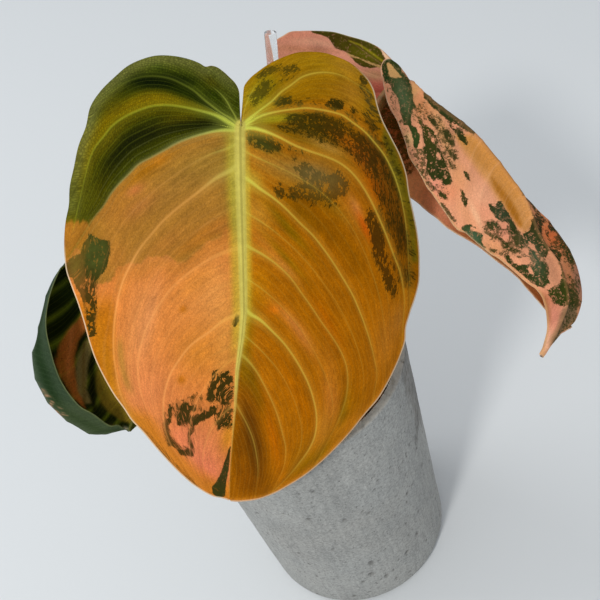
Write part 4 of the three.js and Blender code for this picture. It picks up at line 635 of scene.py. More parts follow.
def main_marks(P, half):
    """Attributes of the big blade's upper side at map points P (n, m, 2) of one half (-1 left, +1 right)."""
    x, y = P[..., 0], P[..., 1]
    veins, major, flip = (V_LEFT, MAJOR_L, -1) if half < 0 else (V_RIGHT, MAJOR_R, 1)
    sd, dd, ww, st, dist = field_of(x, y, veins, major)
    ph, al = across(x, y, dist, major, flip)
    m = np.array(MAIN_MID)
    mx = np.interp(y, m[:, 1], m[:, 0])
    lat = np.abs(x - mx)
    mw = np.interp(y, [110, 126, 180, 240, 300, 340, 380, 410, 440, 480, 500], [3.0, 6.2, 5.6, 5.0, 4.2, 3.0, 2.0, 1.3, 0.9, 0.7, 0.5])
    if half < 0:
        mw = mw * np.interp(y, [120, 150, 330, 370], [1.0, 1.22, 1.18, 1.0])
    on = y > 124
    lat = np.where(on, lat, np.hypot(lat, 124 - y))
    O = np.array(MAIN_L if half < 0 else MAIN_R)
    O = smooth_line(O, 400)
    O = np.vstack([[240.6, 125.5], O])
    de, da, _ = seg_dist(x, y, O)

    C = np.zeros(x.shape + (3,))
    band = ph - np.floor(ph)          # 0 at a vein, 1 at the next
    if half < 0:
        # number of the field: <0 top, 0 (L0-L1), 1 (L1-L2), 2 (L2-L3), 3 (L3-L4), 4 (L4-L5), 5 (L5-L10), 6 beyond
        C[:] = ORANGE
        lobe = smooth(2.03, 1.97, ph)
        # below the lobe: brown by the midrib and the base, then orange and salmon
        wash(C, (226, 136, 66), x, y, 196, 300, 50, 50, 0, 0.55)
        wash(C, (230, 148, 76), x, y, 216, 296, 20, 40, 0, 0.65)
        wash(C, (214, 130, 50), x, y, 196, 282, 24, 10, -40, 0.5)
        wash(C, (228, 140, 80), x, y, 140, 330, 16, 56, 6, 0.75)
        wash(C, (236, 148, 92), x, y, 150, 318, 7, 40, 14, 0.55)
        wash(C, (226, 130, 82), x, y, 148, 392, 30, 40, 20, 0.65)
        wash(C, (232, 128, 88), x, y, 190, 450, 40, 40, 30, 0.80)
        wash(C, (212, 128, 40), x, y, 200, 352, 24, 26, 30, 0.6)
        wash(C, (228, 148, 66), x, y, 225, 344, 10, 46, 4, 0.6)
        wash(C, (222, 140, 30), x, y, 228, 436, 7, 16, 10, 0.70)
        wash(C, (238, 122, 92), x, y, 206, 472, 22, 20, 30, 0.7)
        wash(C, (236, 124, 84), x, y, 182, 436, 12, 14, 0, 0.6)
        wash(C, (180, 98, 12), x, y, 182, 379, 4, 4, 0, 0.75)
        wash(C, (184, 100, 12), x, y, 184, 309, 3.6, 3.6, 0, 0.65)
        # the brown stretch between the lobe and a broken line across the veins
        cut = poly_sdf(x, y, [(250, 100), (90, 100), (60, 180), (60, 240), (80, 250), (97, 284), (113, 281), (119, 266), (130, 262.5), (142, 264), (148, 256), (160, 256.5), (170, 255), (178, 262), (186, 261), (194, 253), (200, 250), (207, 242), (213, 240), (220, 237), (226, 228), (233, 226), (250, 222)])
        jag = 2.6 * fbm2(x / 2.6, y / 5.0, 3, 21) + 3.4 * fbm2(x / 9, y / 9, 2, 22)
        Z = np.zeros_like(C)
        Z[:] = (164, 113, 46)
        wash(Z, (148, 114, 48), x, y, 206, 164, 40, 20, -24, 0.9)
        wash(Z, (172, 110, 42), x, y, 118, 208, 26, 26, -40, 0.8)
        wash(Z, (160, 102, 18), x, y, 148, 168, 30, 8, -38, 0.85)
        wash(Z, (186, 110, 24), x, y, 160, 160, 10, 5, -34, 0.6)
        wash(Z, (206, 116, 58), x, y, 136, 190, 10, 5, -30, 0.85)
        wash(Z, (188, 112, 56), x, y, 142, 206, 20, 8, -38, 0.6)
        wash(Z, (178, 111, 46), x, y, 166, 244, 30, 10, -38, 0.7)
        wash(Z, (186, 112, 38), x, y, 208, 232, 20, 8, -34, 0.75)
        wash(Z, (152, 104, 42), x, y, 188, 246, 12, 5, -34, 0.6)
        wash(Z, (190, 114, 44), x, y, 118, 258, 12, 18, 10, 0.6)
        wash(Z, (182, 110, 36), x, y, 198, 240, 34, 7, -34, 0.8)
        wash(Z, (196, 116, 46), x, y, 222, 226, 10, 8, -34, 0.6)
        wash(Z, (146, 104, 40), x, y, 96, 232, 8, 12, 20, 0.7)
        wash(Z, (164, 106, 30), x, y, 78, 240, 12, 12, 0, 0.8)
        wash(Z, (150, 108, 52), x, y, 176, 190, 34, 10, -38, 0.5)
        veil(Z, (148, 130, 52), np.exp(-((lat - 9) / 8.0) ** 2) * smooth(230, 190, y) * 0.75)
        veil(C, (200, 120, 48), smooth(-24, -1, cut + 2 * jag) * smooth(112, 122, x) * 0.78)
        veil(C, (206, 122, 62), smooth(-8, -1, cut + 2 * jag) * smooth(122, 132, x) * smooth(186, 170, x) * 0.5)
        w_ = smooth(-1.1, 1.1, cut + jag) * 0.94
        C = C * (1 - w_[..., None]) + Z * w_[..., None]
        wash(C, (204, 124, 56), x, y, 152, 264, 18, 5, -10, 0.5)
        wash(C, (126, 100, 34), x, y, 78, 262, 12, 16, 0, 0.55)
        # the saturated band along the left margin, outside the long vein
        rim = smooth(0, 1, (118 - x) / 6) * smooth(286, 318, y) * smooth(436, 404, y)
        veil(C, (198, 112, 14), rim * 0.85)
        veil(C, (206, 120, 26), smooth(24, 8, de) * smooth(400, 420, y) * 0.75)
        veil(C, (150, 120, 40), np.exp(-((x - 121 - 0.004 * (y - 340) ** 2) / 4) ** 2) * smooth(330, 350, y) * smooth(400, 380, y) * 0.45)
        # the green lobe
        G = np.zeros_like(C)
        G[:] = (70, 72, 10)
        f = np.clip(band, 0, 1)
        up = (ph < 0)
        first = (ph >= 0) & (ph < 1)
        second = (ph >= 1) & (ph < 2)
        far = smooth(70, 150, al)
        w1 = np.where(first, np.exp(-((f - 0.20) / 0.30) ** 2) * (1 - 0.75 * far), 0)
        veil(G, (22, 32, 5), w1 * 0.97)
        veil(G, (128, 106, 6), np.where(first, smooth(0.34, 0.78, f), 0) * (0.55 + 0.42 * smooth(30, 90, al)))
        w2 = np.where(second, np.exp(-((f - 0.52) / 0.24) ** 2) * smooth(0, 18, al), 0)
        veil(G, (92, 80, 8), np.where(second, smooth(0.36, 0.05, f), 0) * 0.85 * smooth(14, 50, al))
        veil(G, (30, 44, 8), np.where(second, 1 - smooth(10, 50, al), 0) * 0.85)
        veil(G, (24, 28, 3), w2 * 0.97 * (1 - 0.35 * smooth(120, 180, al)))
        # painted sheen: a grey-green band just above the next vein (L2), over its first stretch from the midrib
        veil(G, (98, 104, 62), np.where(second, smooth(0.86, 0.99, f), 0) * 0.85 * smooth(100, 60, al) * smooth(8, 24, al))
        veil(G, (62, 68, 14), np.where(second, smooth(0.72, 0.98, f), 0) * 0.6 * smooth(60, 120, al))
        veil(G, (60, 70, 14), np.where(up, 1.0, 0) * 0.8)
        wash(G, (92, 80, 12), x, y, 212, 84, 16, 6, 42, 0.7)
        wash(G, (40, 52, 8), x, y, 216, 96, 10, 8, 42, 0.8)
        wash(G, (40, 62, 10), x, y, 158, 66, 9, 5, 8, 0.6)
        wash(G, (14, 24, 4), x, y, 160, 81, 34, 6.5, 2, 1.3)
        wash(G, (98, 86, 10), x, y, 90, 202, 16, 32, 20, 0.75)
        wash(G, (96, 86, 6), x, y, 181, 118, 26, 6, -18, 0.6)
        wash(G, (34, 44, 6), x, y, 182, 90, 16, 7, 26, 0.8)
        wash(G, (104, 92, 14), x, y, 112, 138, 8, 22, 36, 0.6)
        wash(G, (112, 96, 14), x, y, 112, 108, 16, 10, -36, 0.5)
        wash(G, (84, 74, 8), x, y, 184, 117, 26, 4, 6, 0.6)
        wash(G, (98, 102, 34), x, y, 168, 62, 30, 4, 2, 0.55)
        # painted sheen: a grey-olive band along the green lobe's upper margin stands in for the soft highlight where
        # the lobe faces up
        rim_sheen = smooth(19, 3, de) * smooth(228, 206, y) * smooth(4, 34, np.hypot(x - 240, y - 110))
        veil(G, (112, 112, 62), rim_sheen * 0.8)
        veil(G, (78, 84, 22), smooth(150, 200, y) * smooth(110, 88, x) * 0.4)
        C = C * (1 - lobe[..., None]) + G * lobe[..., None]
        # the lobe's lower end breaks off across the veins
        cutoff = smooth(219, 224, y + 1.5 * np.sin(x * 0.9) + 0.9 * np.sin(x * 2.3)) * smooth(2.1, 1.9, ph)
        veil(C, (168, 108, 38), cutoff)
    else:
        C[:] = (162, 96, 12)
        veil(C, (150, 110, 14), smooth(1.0, 0.4, ph) * 0.9)
        wash(C, (156, 118, 20), x, y, 318, 62, 46, 10, 2, 0.75)
        wash(C, (172, 126, 44), x, y, 346, 68, 20, 8, 25, 0.7)
        wash(C, (140, 98, 10), x, y, 300, 97, 34, 8, -8, 0.75)
        wash(C, (150, 102, 14), x, y, 330, 88, 24, 8, 4, 0.6)
        wash(C, (150, 138, 30), x, y, 256, 100, 14, 14, -40, 0.85)
        wash(C, (122, 112, 14), x, y, 266, 84, 14, 14, -40, 0.6)
        wash(C, (164, 112, 44), x, y, 352, 94, 18, 16, 40, 0.6)
        wash(C, (152, 140, 34), x, y, 272, 119, 18, 4, -8, 0.85)
        veil(C, (104, 82, 10), smooth(1.02, 1.15, ph) * smooth(2.0, 1.8, ph) * smooth(190, 60, al) * 0.6)
        wash(C, (166, 84, 14), x, y, 350, 146, 30, 9, 40, 0.75)
        wash(C, (188, 92, 22), x, y, 366, 160, 16, 10, 48, 0.75)
        wash(C, (176, 82, 10), x, y, 376, 186, 20, 10, 66, 0.8)
        wash(C, (166, 124, 62), x, y, 325, 146, 24, 6, 25, 0.75)
        wash(C, (158, 114, 50), x, y, 278, 168, 44, 12, 27, 0.75)
        wash(C, (110, 102, 42), x, y, 262, 144, 18, 6, 24, 0.7)
        wash(C, (166, 138, 50), x, y, 254, 180, 8, 12, -30, 0.7)
        wash(C, (140, 100, 18), x, y, 330, 206, 40, 9, 34, 0.6)
        wash(C, (190, 112, 40), x, y, 352, 212, 10, 24, -28, 0.55)
        wash(C, (206, 134, 80), x, y, 355, 208, 4.5, 13, -25, 0.65)
        wash(C, (196, 84, 14), x, y, 363, 226, 4, 16, -24, 0.75)
        wash(C, (130, 78, 4), x, y, 322, 222, 46, 9, 48, 0.85)
        wash(C, (122, 80, 4), x, y, 300, 212, 26, 8, 44, 0.7)
        wash(C, (118, 90, 6), x, y, 286, 226, 34, 5, 50, 0.75)
        wash(C, (140, 84, 6), x, y, 346, 250, 40, 8, 60, 0.6)
        wash(C, (178, 128, 50), x, y, 258, 212, 12, 22, -30, 0.7)
        wash(C, (188, 118, 52), x, y, 266, 246, 9, 26, -38, 0.5)
        wash(C, (186, 118, 58), x, y, 286, 268, 20, 5, 45, 0.65)
        wash(C, (168, 104, 16), x, y, 300, 258, 26, 6, 50, 0.5)
        wash(C, (130, 96, 6), x, y, 286, 258, 30, 3.5, 48, 0.6)
        wash(C, (178, 118, 10), x, y, 256, 290, 12, 22, 10, 0.6)
        wash(C, (210, 110, 16), x, y, 275, 309, 7, 4.5, 0, 0.9)
        wash(C, (198, 122, 50), x, y, 288, 318, 24, 5, 46, 0.75)
        wash(C, (190, 114, 66), x, y, 304, 338, 30, 6, 56, 0.75)
        wash(C, (150, 92, 4), x, y, 316, 300, 30, 4, 55, 0.6)
        wash(C, (170, 88, 4), x, y, 326, 320, 30, 7, 62, 0.6)
        wash(C, (184, 108, 52), x, y, 330, 392, 8, 36, -6, 0.7)
        wash(C, (180, 122, 62), x, y, 322, 430, 7, 22, 8, 0.6)
        wash(C, (172, 108, 44), x, y, 384, 340, 12, 34, 6, 0.6)
        wash(C, (164, 106, 50), x, y, 398, 318, 7, 20, 10, 0.6)
        wash(C, (176, 98, 6), x, y, 296, 392, 9, 46, -28, 0.6)
        wash(C, (148, 98, 8), x, y, 344, 420, 12, 26, 34, 0.55)
        wash(C, (112, 86, 8), x, y, 343, 410, 4, 22, 12, 0.7)
        wash(C, (124, 92, 8), x, y, 322, 452, 5, 20, 34, 0.65)
        wash(C, (134, 98, 8), x, y, 304, 462, 5, 18, 46, 0.6)
        wash(C, (106, 76, 6), x, y, 250, 376, 7, 22, -20, 0.8)
        wash(C, (112, 80, 6), x, y, 262, 402, 5, 26, -24, 0.6)
        wash(C, (104, 58, 3), x, y, 253, 438, 10, 46, -10, 1.2)
        wash(C, (178, 94, 6), x, y, 272, 430, 6, 40, -12, 0.75)
        wash(C, (126, 70, 3), x, y, 248, 478, 13, 20, 0, 0.85)
        wash(C, (110, 62, 3), x, y, 239, 450, 6, 30, 0, 0.8)
        wash(C, (150, 98, 14), x, y, 300, 452, 8, 24, 34, 0.5)
        wash(C, (102, 84, 8), x, y, 395, 176, 8, 34, -14, 0.9)
        wash(C, (112, 84, 10), x, y, 408, 234, 7, 34, -8, 0.8)
        wash(C, (150, 92, 12), x, y, 403, 286, 10, 16, 0, 0.7)
        wash(C, (140, 80, 6), x, y, 390, 236, 8, 26, -12, 0.7)
        wash(C, (130, 110, 74), x, y, 312, 172, 30, 14, 12, 0.7)
        wash(C, (150, 138, 30), x, y, 276, 119, 18, 4, -6, 0.8)
        wash(C, (174, 106, 14), x, y, 322, 362, 8, 40, -30, 0.5)
        wash(C, (184, 112, 36), x, y, 332, 396, 8, 30, -6, 0.5)
        veil(C, (128, 92, 8), np.exp(-((lat - 7) / 6.0) ** 2) * smooth(270, 330, y) * smooth(400, 370, y) * 0.7)
        veil(C, (186, 150, 60), smooth(13, 5, lat) * smooth(150, 180, y) * smooth(320, 280, y) * 0.6)
        wash(C, (196, 118, 34), x, y, 346, 424, 6, 26, 42, 0.5)
        veil(C, (196, 126, 52), smooth(6, 1.5, de) * smooth(330, 380, y) * 0.6)
    # pale yellow halos beside the midrib, greenish close to it higher up on the left, yellow-green on the right
    if half < 0:
        veil(C, (208, 172, 50), smooth(11, 2.5, lat - mw) * 0.72 * smooth(126, 150, y) * smooth(372, 330, y))
        veil(C, (160, 150, 56), smooth(6, 1.5, lat - mw) * 0.5 * smooth(126, 140, y) * smooth(250, 220, y))
    else:
        veil(C, (176, 160, 40), smooth(6, 1.0, lat - mw) * 0.45 * smooth(130, 170, y) * smooth(380, 330, y))

    C[...] = np.clip(C - np.array([3, 3, 9]), 0, 255)
    sdf = np.full(x.shape, -60.0)
    rag = np.full(x.shape, 0.5)
    deep = np.full(x.shape, 0.9)
    for r_, o_, poly in PATCH_MAIN:
        q = poly_sdf(x, y, poly)
        near = q > sdf
        sdf = np.where(near, q, sdf)
        rag = np.where(near, r_, rag)
        deep = np.where(near, o_, deep)
    mot = np.zeros(x.shape)
    for density, poly in MOTTLE_MAIN:
        mot = np.maximum(mot, density * smooth(-3.5, 3.0, poly_sdf(x, y, poly)))
    for poly in HOLES_MAIN:
        h = poly_sdf(x, y, poly)
        sdf = np.minimum(sdf, -h)
        mot = mot * smooth(2, -2, h)
    glow = np.exp(-(np.hypot(x - 241, (y - 124) * 0.8) / 42.0) ** 2)
    if half > 0:
        glow = np.maximum(glow, 0.25 + 0.45 * np.exp(-(lat / 34.0) ** 2) * smooth(430, 300, y))
    # colours of the veins and of the dark pigment
    tint = np.zeros(x.shape + (3,))
    if half < 0:
        tint[:] = (234, 166, 92)
        veil(tint, (214, 176, 74), smooth(40, 6, lat) * smooth(120, 160, y) * 0.8)
        veil(tint, (190, 170, 92), smooth(60, 10, lat) * smooth(210, 180, y) * 0.8)
        veil(tint, (196, 140, 70), smooth(262, 240, y) * smooth(2.0, 2.1, ph) * smooth(20, 60, lat) * 0.7)
        veil(tint, (150, 158, 42), smooth(2.05, 1.95, ph))
        veil(tint, (128, 140, 44), smooth(0.6, 0.4, ph) * 0.9)
        veil(tint, (150, 152, 104), smooth(1.6, 1.7, ph) * smooth(2.2, 2.1, ph) * smooth(60, 100, x) * 0.8)
        veil(tint, (150, 176, 92), np.exp(-(np.hypot(x - 238, y - 122) / 30.0) ** 2) * smooth(2.1, 1.9, ph) * 0.8)
    else:
        tint[:] = (190, 156, 56)
        veil(tint, (206, 196, 74), np.exp(-(np.hypot(x - 242, y - 126) / 60.0) ** 2))
        veil(tint, (200, 178, 60), smooth(1.6, 1.3, ph) * 0.6)
        veil(tint, (206, 150, 64), smooth(330, 400, y) * 0.4)
    if half < 0:
        wash(C, (186, 112, 12), x, y, 110, 372, 7, 44, -14, 0.75)
        wash(C, (180, 116, 26), x, y, 126, 412, 7, 26, -26, 0.7)
        warm = smooth(150, 190, C[..., 0])
        C[..., 0] = C[..., 0] * (1 - 0.045 * warm)
        C[..., 2] = C[..., 2] + 5 * warm
    else:
        C[...] = C * 1.06
        veil(C, (112, 62, 5), smooth(-6, 4, poly_sdf(x, y, [(362, 134), (374, 138), (386, 160), (396, 190), (404, 216), (410, 240), (402, 250), (392, 228), (382, 204), (374, 180), (366, 156)])) * 0.75)
        rim = smooth(-3, 2, poly_sdf(x, y, [(384, 128), (392, 140), (398, 158), (405, 180), (411, 205), (415, 228), (417, 262), (412, 262), (409, 232), (404, 204), (396, 176), (388, 154), (381, 138)]))
        veil(C, (98, 90, 14), rim * 0.74)
        veil(C, (126, 128, 60), rim * smooth(2.6, 0.8, de) * 0.5)
        wash(C, (96, 56, 6), x, y, 253, 440, 9, 44, -10, 0.5)
    ink = np.zeros(x.shape + (3,))
    ink[:] = (42, 42, 8) if half < 0 else (40, 38, 5)
    if half < 0:
        wash(ink, (58, 68, 24), x, y, 98, 252, 14, 24, 0, 1.3)
        wash(ink, (92, 84, 30), x, y, 76, 262, 9, 30, 0, 0.9)
        wash(ink, (40, 52, 18), x, y, 221, 480, 14, 22, 0, 1.5)
    else:
        wash(ink, (56, 56, 14), x, y, 280, 86, 40, 30, 0, 0.8)
        wash(ink, (84, 74, 36), x, y, 320, 178, 32, 16, 12, 1.3)
        wash(ink, (62, 38, 4), x, y, 382, 250, 22, 60, -18, 1.0)
        wash(ink, (38, 52, 16), x, y, 262, 142, 22, 12, 20, 0.9)
        wash(ink, (60, 40, 6), x, y, 366, 150, 30, 24, 40, 0.7)
        wash(ink, (74, 68, 34), x, y, 368, 100, 8, 18, -14, 0.8)
    net = np.zeros(x.shape)
    if half < 0:
        net = smooth(2.06, 1.95, ph) * smooth(222, 214, y)
    rimk = np.ones(x.shape)
    if half < 0:
        rimk = smooth(236, 268, y) * 0.95
    else:
        rimk = smooth(330, 372, x) * smooth(60, 90, y) + smooth(240, 300, y)
        rimk = np.clip(rimk, 0, 1) * (1 - 0.35 * smooth(380, 440, y))
    ribk = np.interp(y, [120, 350, 385, 410, 440, 500], [1, 1, 0.85, 0.5, 0.22, 0.12])
    return dict(ground=C, sd=sd, d=dd, w=ww * (1.32 if half < 0 else 0.92), st=st, ph=ph, al=al, band=band, lat=lat, mw=mw, edge=de, sdf=sdf, mot=mot, rag=rag, deep=deep, glow=glow,
                tint=tint, ink=ink, net=net, rimk=rimk, ribk=ribk)


# ---------------------------------------------------------------- the two smaller blades' veins and marks
def row_field(W, T, S, veins, shape=(34.0, 1.0)):
    """Veins that run with the rows of a half blade: signed and plain distance (mm), width, strength, running number and length."""
    g = np.gradient(W, axis=0) / np.maximum(np.gradient(T, axis=0), 1e-9)[..., None]
    r = np.gradient(W, axis=1)
    r = r / np.maximum(np.linalg.norm(r, axis=-1, keepdims=True), 1e-9)
    g = g - (g * r).sum(-1, keepdims=True) * r
    metric = np.linalg.norm(g, axis=-1)
    step = np.linalg.norm(np.diff(W, axis=1, prepend=W[:, :1]), axis=-1)
    al = np.cumsum(step, axis=1)
    best = np.full(T.shape, 1e9)
    sd = np.zeros(T.shape)
    w = np.full(T.shape, 0.4)
    st = np.zeros(T.shape)
    ph = np.zeros(T.shape)
    edges = []
    for strength, width, t0, bend in veins:
        tv = t0 + bend * S ** 1.25
        edges.append(tv)
        d = (T - tv) * metric
        near = np.abs(d) < best
        best = np.where(near, np.abs(d), best)
        sd = np.where(near, d, sd)
        w = np.where(near, width * (1.1 - 0.75 * S), w)
        st = np.where(near, strength * (1 - 0.7 * smooth(0.6, 1.0, S)), st)
    ph = (T - edges[0]) / 0.08
    for k in range(len(edges) - 1):
        a, b = edges[k], edges[k + 1]
        ph = np.where(T >= a, k + np.clip((T - a) / np.maximum(b - a, 1e-6), 0, 1), ph)
    ph = np.where(T >= edges[-1], len(edges) - 1 + (T - edges[-1]) / 0.12, ph)
    return dict(sd=sd, d=best, w=w, st=st, ph=ph, al=al)


VEINS_RIGHT = {
    -1: [(0.4, 0.6, 0.26, 0.10), (0.6, 0.7, 0.35, 0.13), (0.8, 0.75, 0.42, 0.15), (0.5, 0.6, 0.475, 0.15), (0.7, 0.7, 0.53, 0.15), (0.5, 0.6, 0.585, 0.14), (0.6, 0.65, 0.64, 0.13), (0.5, 0.6, 0.70, 0.12), (0.6, 0.6, 0.76, 0.11), (0.5, 0.55, 0.82, 0.09), (0.4, 0.5, 0.88, 0.07), (0.3, 0.45, 0.94, 0.04)],
    1: [(0.6, 0.7, 0.15, -0.02), (0.95, 0.9, 0.25, -0.02), (0.6, 0.6, 0.33, 0.02), (0.7, 0.7, 0.41, 0.05), (0.7, 0.7, 0.48, 0.07), (0.7, 0.7, 0.55, 0.08), (0.6, 0.6, 0.62, 0.08), (0.6, 0.6, 0.69, 0.08), (0.6, 0.6, 0.76, 0.07), (0.5, 0.5, 0.83, 0.06), (0.4, 0.5, 0.90, 0.04)],
}
# marks of the right blade: raggedness, depth of colour, outline
EDGE_DARK = [       # on the fold's far shoulder, which both halves share
    (0.30, 0.95, [(513, 184), (517, 188), (523, 194), (528, 198), (533, 203), (536, 208), (540, 214), (544, 219), (546, 222), (542, 226), (541, 232), (543, 240), (546, 247), (552, 249), (558, 250), (562, 255), (560, 262), (562, 270), (565, 276), (567, 284), (572, 290), (575, 292), (576, 300), (574, 309), (566, 306), (560, 306), (554, 303), (550, 297), (547, 291), (552, 287), (557, 286), (560, 281), (559, 272), (556, 262), (553, 255), (548, 252), (546, 258), (541, 258), (536, 250), (533, 243), (527, 246), (524, 240), (522, 234), (528, 231.5), (530, 226), (530, 218), (528, 209), (524, 201), (518, 192)]),
    (0.25, 0.9, [(549, 222), (556, 229), (563, 239), (570, 251), (575, 262), (572, 268), (568, 262), (564, 254), (560, 246), (556, 240), (550, 232), (546, 226)]),
    (0.3, 0.9, [(556, 245), (560, 243), (561, 248), (558, 250), (555, 248)]),
    (0.3, 0.8, [(543, 225), (547, 230), (551, 238), (553, 244), (550, 244), (546, 236)]),
    (0.35, 0.8, [(569, 286), (576, 290), (579, 300), (576, 308), (570, 300)]),
]
EDGE_CLEAR = [
    (0.30, [(524, 197), (528, 200), (532, 206), (535, 213), (536, 218), (533, 215), (529, 208)]),
    (0.25, [(543, 224), (546, 223), (550, 230), (549, 233), (545, 230)]),
    (0.30, [(541, 231), (545, 235), (548, 243), (545, 244), (542, 238)]),
    (0.30, [(549, 234), (554, 231), (558, 237), (561, 243), (559, 247), (554, 246), (550, 240)]),
    (0.28, [(550, 255), (554, 255), (555, 262), (557, 271), (559, 277), (556, 284), (551, 285), (548, 279), (549, 273), (551, 266)]),
    (0.30, [(561, 257), (565, 257), (569, 263), (571, 271), (568, 272), (564, 266)]),
    (0.28, [(565, 274), (572, 272), (576, 278), (576, 286), (572, 289), (568, 286), (566, 280)]),
    (0.35, [(529, 242), (533, 243), (535, 250), (531, 250)]),
]
TIP_MOTTLE = [
    (0.50, [(548, 212), (556, 222), (565, 238), (572, 254), (578, 272), (582, 290), (576, 300), (570, 276), (562, 256), (554, 240), (546, 226)]),
]
PATCH_RIGHT = {
    -1: [
        (0.16, 0.97, [(381, 66), (384, 61), (389, 60), (394, 61), (399, 66), (402, 72), (408, 78), (410, 84), (412, 92), (413, 100), (416, 107), (413, 109), (412, 112), (411, 118), (412, 126), (416, 127), (418, 132), (420, 138), (419, 144), (416, 149), (413.5, 147), (412.5, 138), (410, 130), (408, 126), (403, 125.5), (402, 118), (400, 112), (399, 104), (397, 98), (394, 94), (392, 90), (390.5, 86), (387, 83), (385, 84), (383.5, 80), (382, 74)]),
        (0.30, 0.95, [(417, 116), (421, 119), (424, 124), (429, 127), (433, 131), (436, 137), (438, 143), (440, 149), (443, 156), (446, 162), (447.5, 168), (449, 174), (452, 181), (451, 186), (447, 184.5), (443, 186), (441, 181), (437, 179), (434, 181), (431, 179), (428, 175), (425.5, 168), (427, 161), (424, 156), (421, 151), (424, 146), (423, 138), (421, 130), (418, 123)]),
        (0.28, 0.90, [(427, 116), (431, 115), (435, 120), (438, 127), (437, 132), (433, 126), (429, 121)]),
        (0.28, 0.90, [(442, 130), (448, 130), (453, 138), (455, 146), (452, 148), (448, 142), (444, 137)]),
        (0.30, 0.85, [(445, 146), (452, 151), (456, 157), (455, 161), (451, 158), (448, 152)]),
        (0.30, 0.85, [(448, 160), (452, 164), (454, 170), (451, 170), (449, 165)]),
        (0.12, 0.97, [(420, 91), (424, 93), (429, 97), (434, 101), (441, 106), (450, 113), (459, 120), (466, 126), (474, 134), (472, 137), (466, 132.5), (459, 128), (452, 123.5), (446, 119.5), (440, 115), (434, 109.5), (428, 104), (423, 99)]),
        (0.28, 0.95, [(446, 118), (452, 123), (458, 128), (463, 133), (467, 139), (468, 145.5), (463, 143.5), (459, 139), (455, 134), (450, 127)]),
        (0.22, 0.92, [(463, 171), (466, 172), (470, 178), (470, 181.5), (466.5, 180), (464, 175)]),
        (0.22, 0.92, [(459.5, 188.5), (462, 190), (465, 195), (466.5, 200), (469, 199), (467.5, 204), (466, 208), (463.5, 204), (461, 200), (460.5, 194)]),
        (0.30, 0.60, [(440, 201), (446, 206), (450, 211), (454, 217), (457, 222), (454, 223), (450, 218), (446, 212), (441, 207)]),
        (0.18, 0.97, [(461, 227), (466, 224.5), (472, 224.5), (476, 228), (475, 230.5), (480, 233), (483, 234.5), (482, 240), (483, 244), (486, 248), (483, 249), (477, 245), (471, 238), (466, 233), (462, 231)]),
        (0.18, 0.97, [(488, 204), (490.5, 203), (493, 206), (495, 209), (495.5, 205), (498, 201), (501, 201.5), (503, 206), (505, 210), (508, 212), (510, 216), (512, 219), (515, 224), (517.5, 230), (518, 234), (513, 236), (509, 232), (510, 226), (506, 221), (500, 222), (497, 220), (494, 215), (490, 210)]),
        (0.35, 0.88, [(485, 222), (490, 220), (498, 222), (500, 229), (495, 231), (488, 229)]),
        (0.35, 0.90, [(502, 243), (506, 241), (510, 246), (514, 250), (520, 250), (522, 252.5), (516, 252.5), (508, 252), (504, 248)]),
        (0.35, 0.85, [(511, 236), (518, 234), (524, 238), (526, 246), (521, 249), (515, 245)]),
        (0.22, 0.97, [(504, 256), (508, 254.5), (511, 258), (513, 262), (518, 265), (523, 264), (528, 266), (534, 268), (536, 262), (533, 256), (530, 250), (529, 246), (534, 250), (537, 257), (540, 262), (544, 262), (548, 268), (550, 274), (550, 282), (545, 286), (540, 288), (536, 286), (531, 282), (524, 277), (519, 272), (513, 267), (507, 262)]),
        (0.30, 0.88, [(498, 238), (502, 238), (502, 242), (498, 242)]),
        (0.30, 0.80, [(490, 249), (496, 251), (496, 253), (491, 252)]),
        (0.30, 0.90, [(437, 190), (441, 191), (447, 196), (447, 199), (443, 199), (439, 195)]),
        (0.30, 0.85, [(430, 182), (433, 184), (436, 189), (434, 190), (431, 186)]),
        (0.25, 0.85, [(516, 184), (520, 188), (524, 194), (527, 200), (523, 198), (518, 191)]),
    ],
    1: [
        (0.12, 0.97, [(311, 31), (321, 30), (341, 31), (353.5, 35), (364, 38), (373.5, 43), (380.6, 49.3), (385.5, 58.5), (381, 66.5), (372, 64.0), (362.7, 60.4), (353.5, 56.6), (344, 52), (335, 49), (331.5, 44.5), (328, 38.5), (320, 35), (312, 33)]),
        (0.10, 0.97, [(350.5, 57.5), (359.6, 60), (368.8, 64.6), (381, 69.6), (379, 70.8), (370, 69), (361, 67), (354.5, 62.4)]),
    ],
}
CLEAR_RIGHT = {      # clear islands: raggedness, outline
    -1: [
        (0.14, [(386, 63.5), (388.5, 62.5), (391.5, 65), (395.5, 70), (399, 75), (401.5, 77), (396, 78), (390, 77), (388.5, 74), (387.5, 70)]),
        (0.2, [(437, 153), (440, 153), (440.5, 159), (438, 160), (436, 157)]),
        (0.2, [(444, 175), (446.5, 175), (446.5, 178.5), (444, 178)]),
        (0.3, [(431, 136), (434, 138), (434.5, 144), (432, 142)]),
        (0.3, [(451, 124), (455, 124), (457, 128), (454, 129)]),
        (0.2, [(499, 223), (504, 222), (507, 227), (505, 230), (501, 228)]),
        (0.2, [(503, 235), (508, 234.5), (509, 239), (505, 241), (502, 239)]),
        (0.2, [(484, 235), (490, 236), (490.5, 241), (486, 243)]),
        (0.2, [(490, 243), (497, 241), (502, 247), (498, 250), (491, 247.5)]),
        (0.2, [(513, 258), (520, 259), (526, 256), (528, 261), (522, 263), (516, 263)]),
        (0.3, [(524, 248), (529, 250), (528, 256), (525, 253)]),
        (0.3, [(527, 268), (531, 267), (534, 275), (531, 275)]),
        (0.3, [(471, 227), (475.5, 228), (475, 230.6), (471, 230)]),
    ],
    1: [],
}
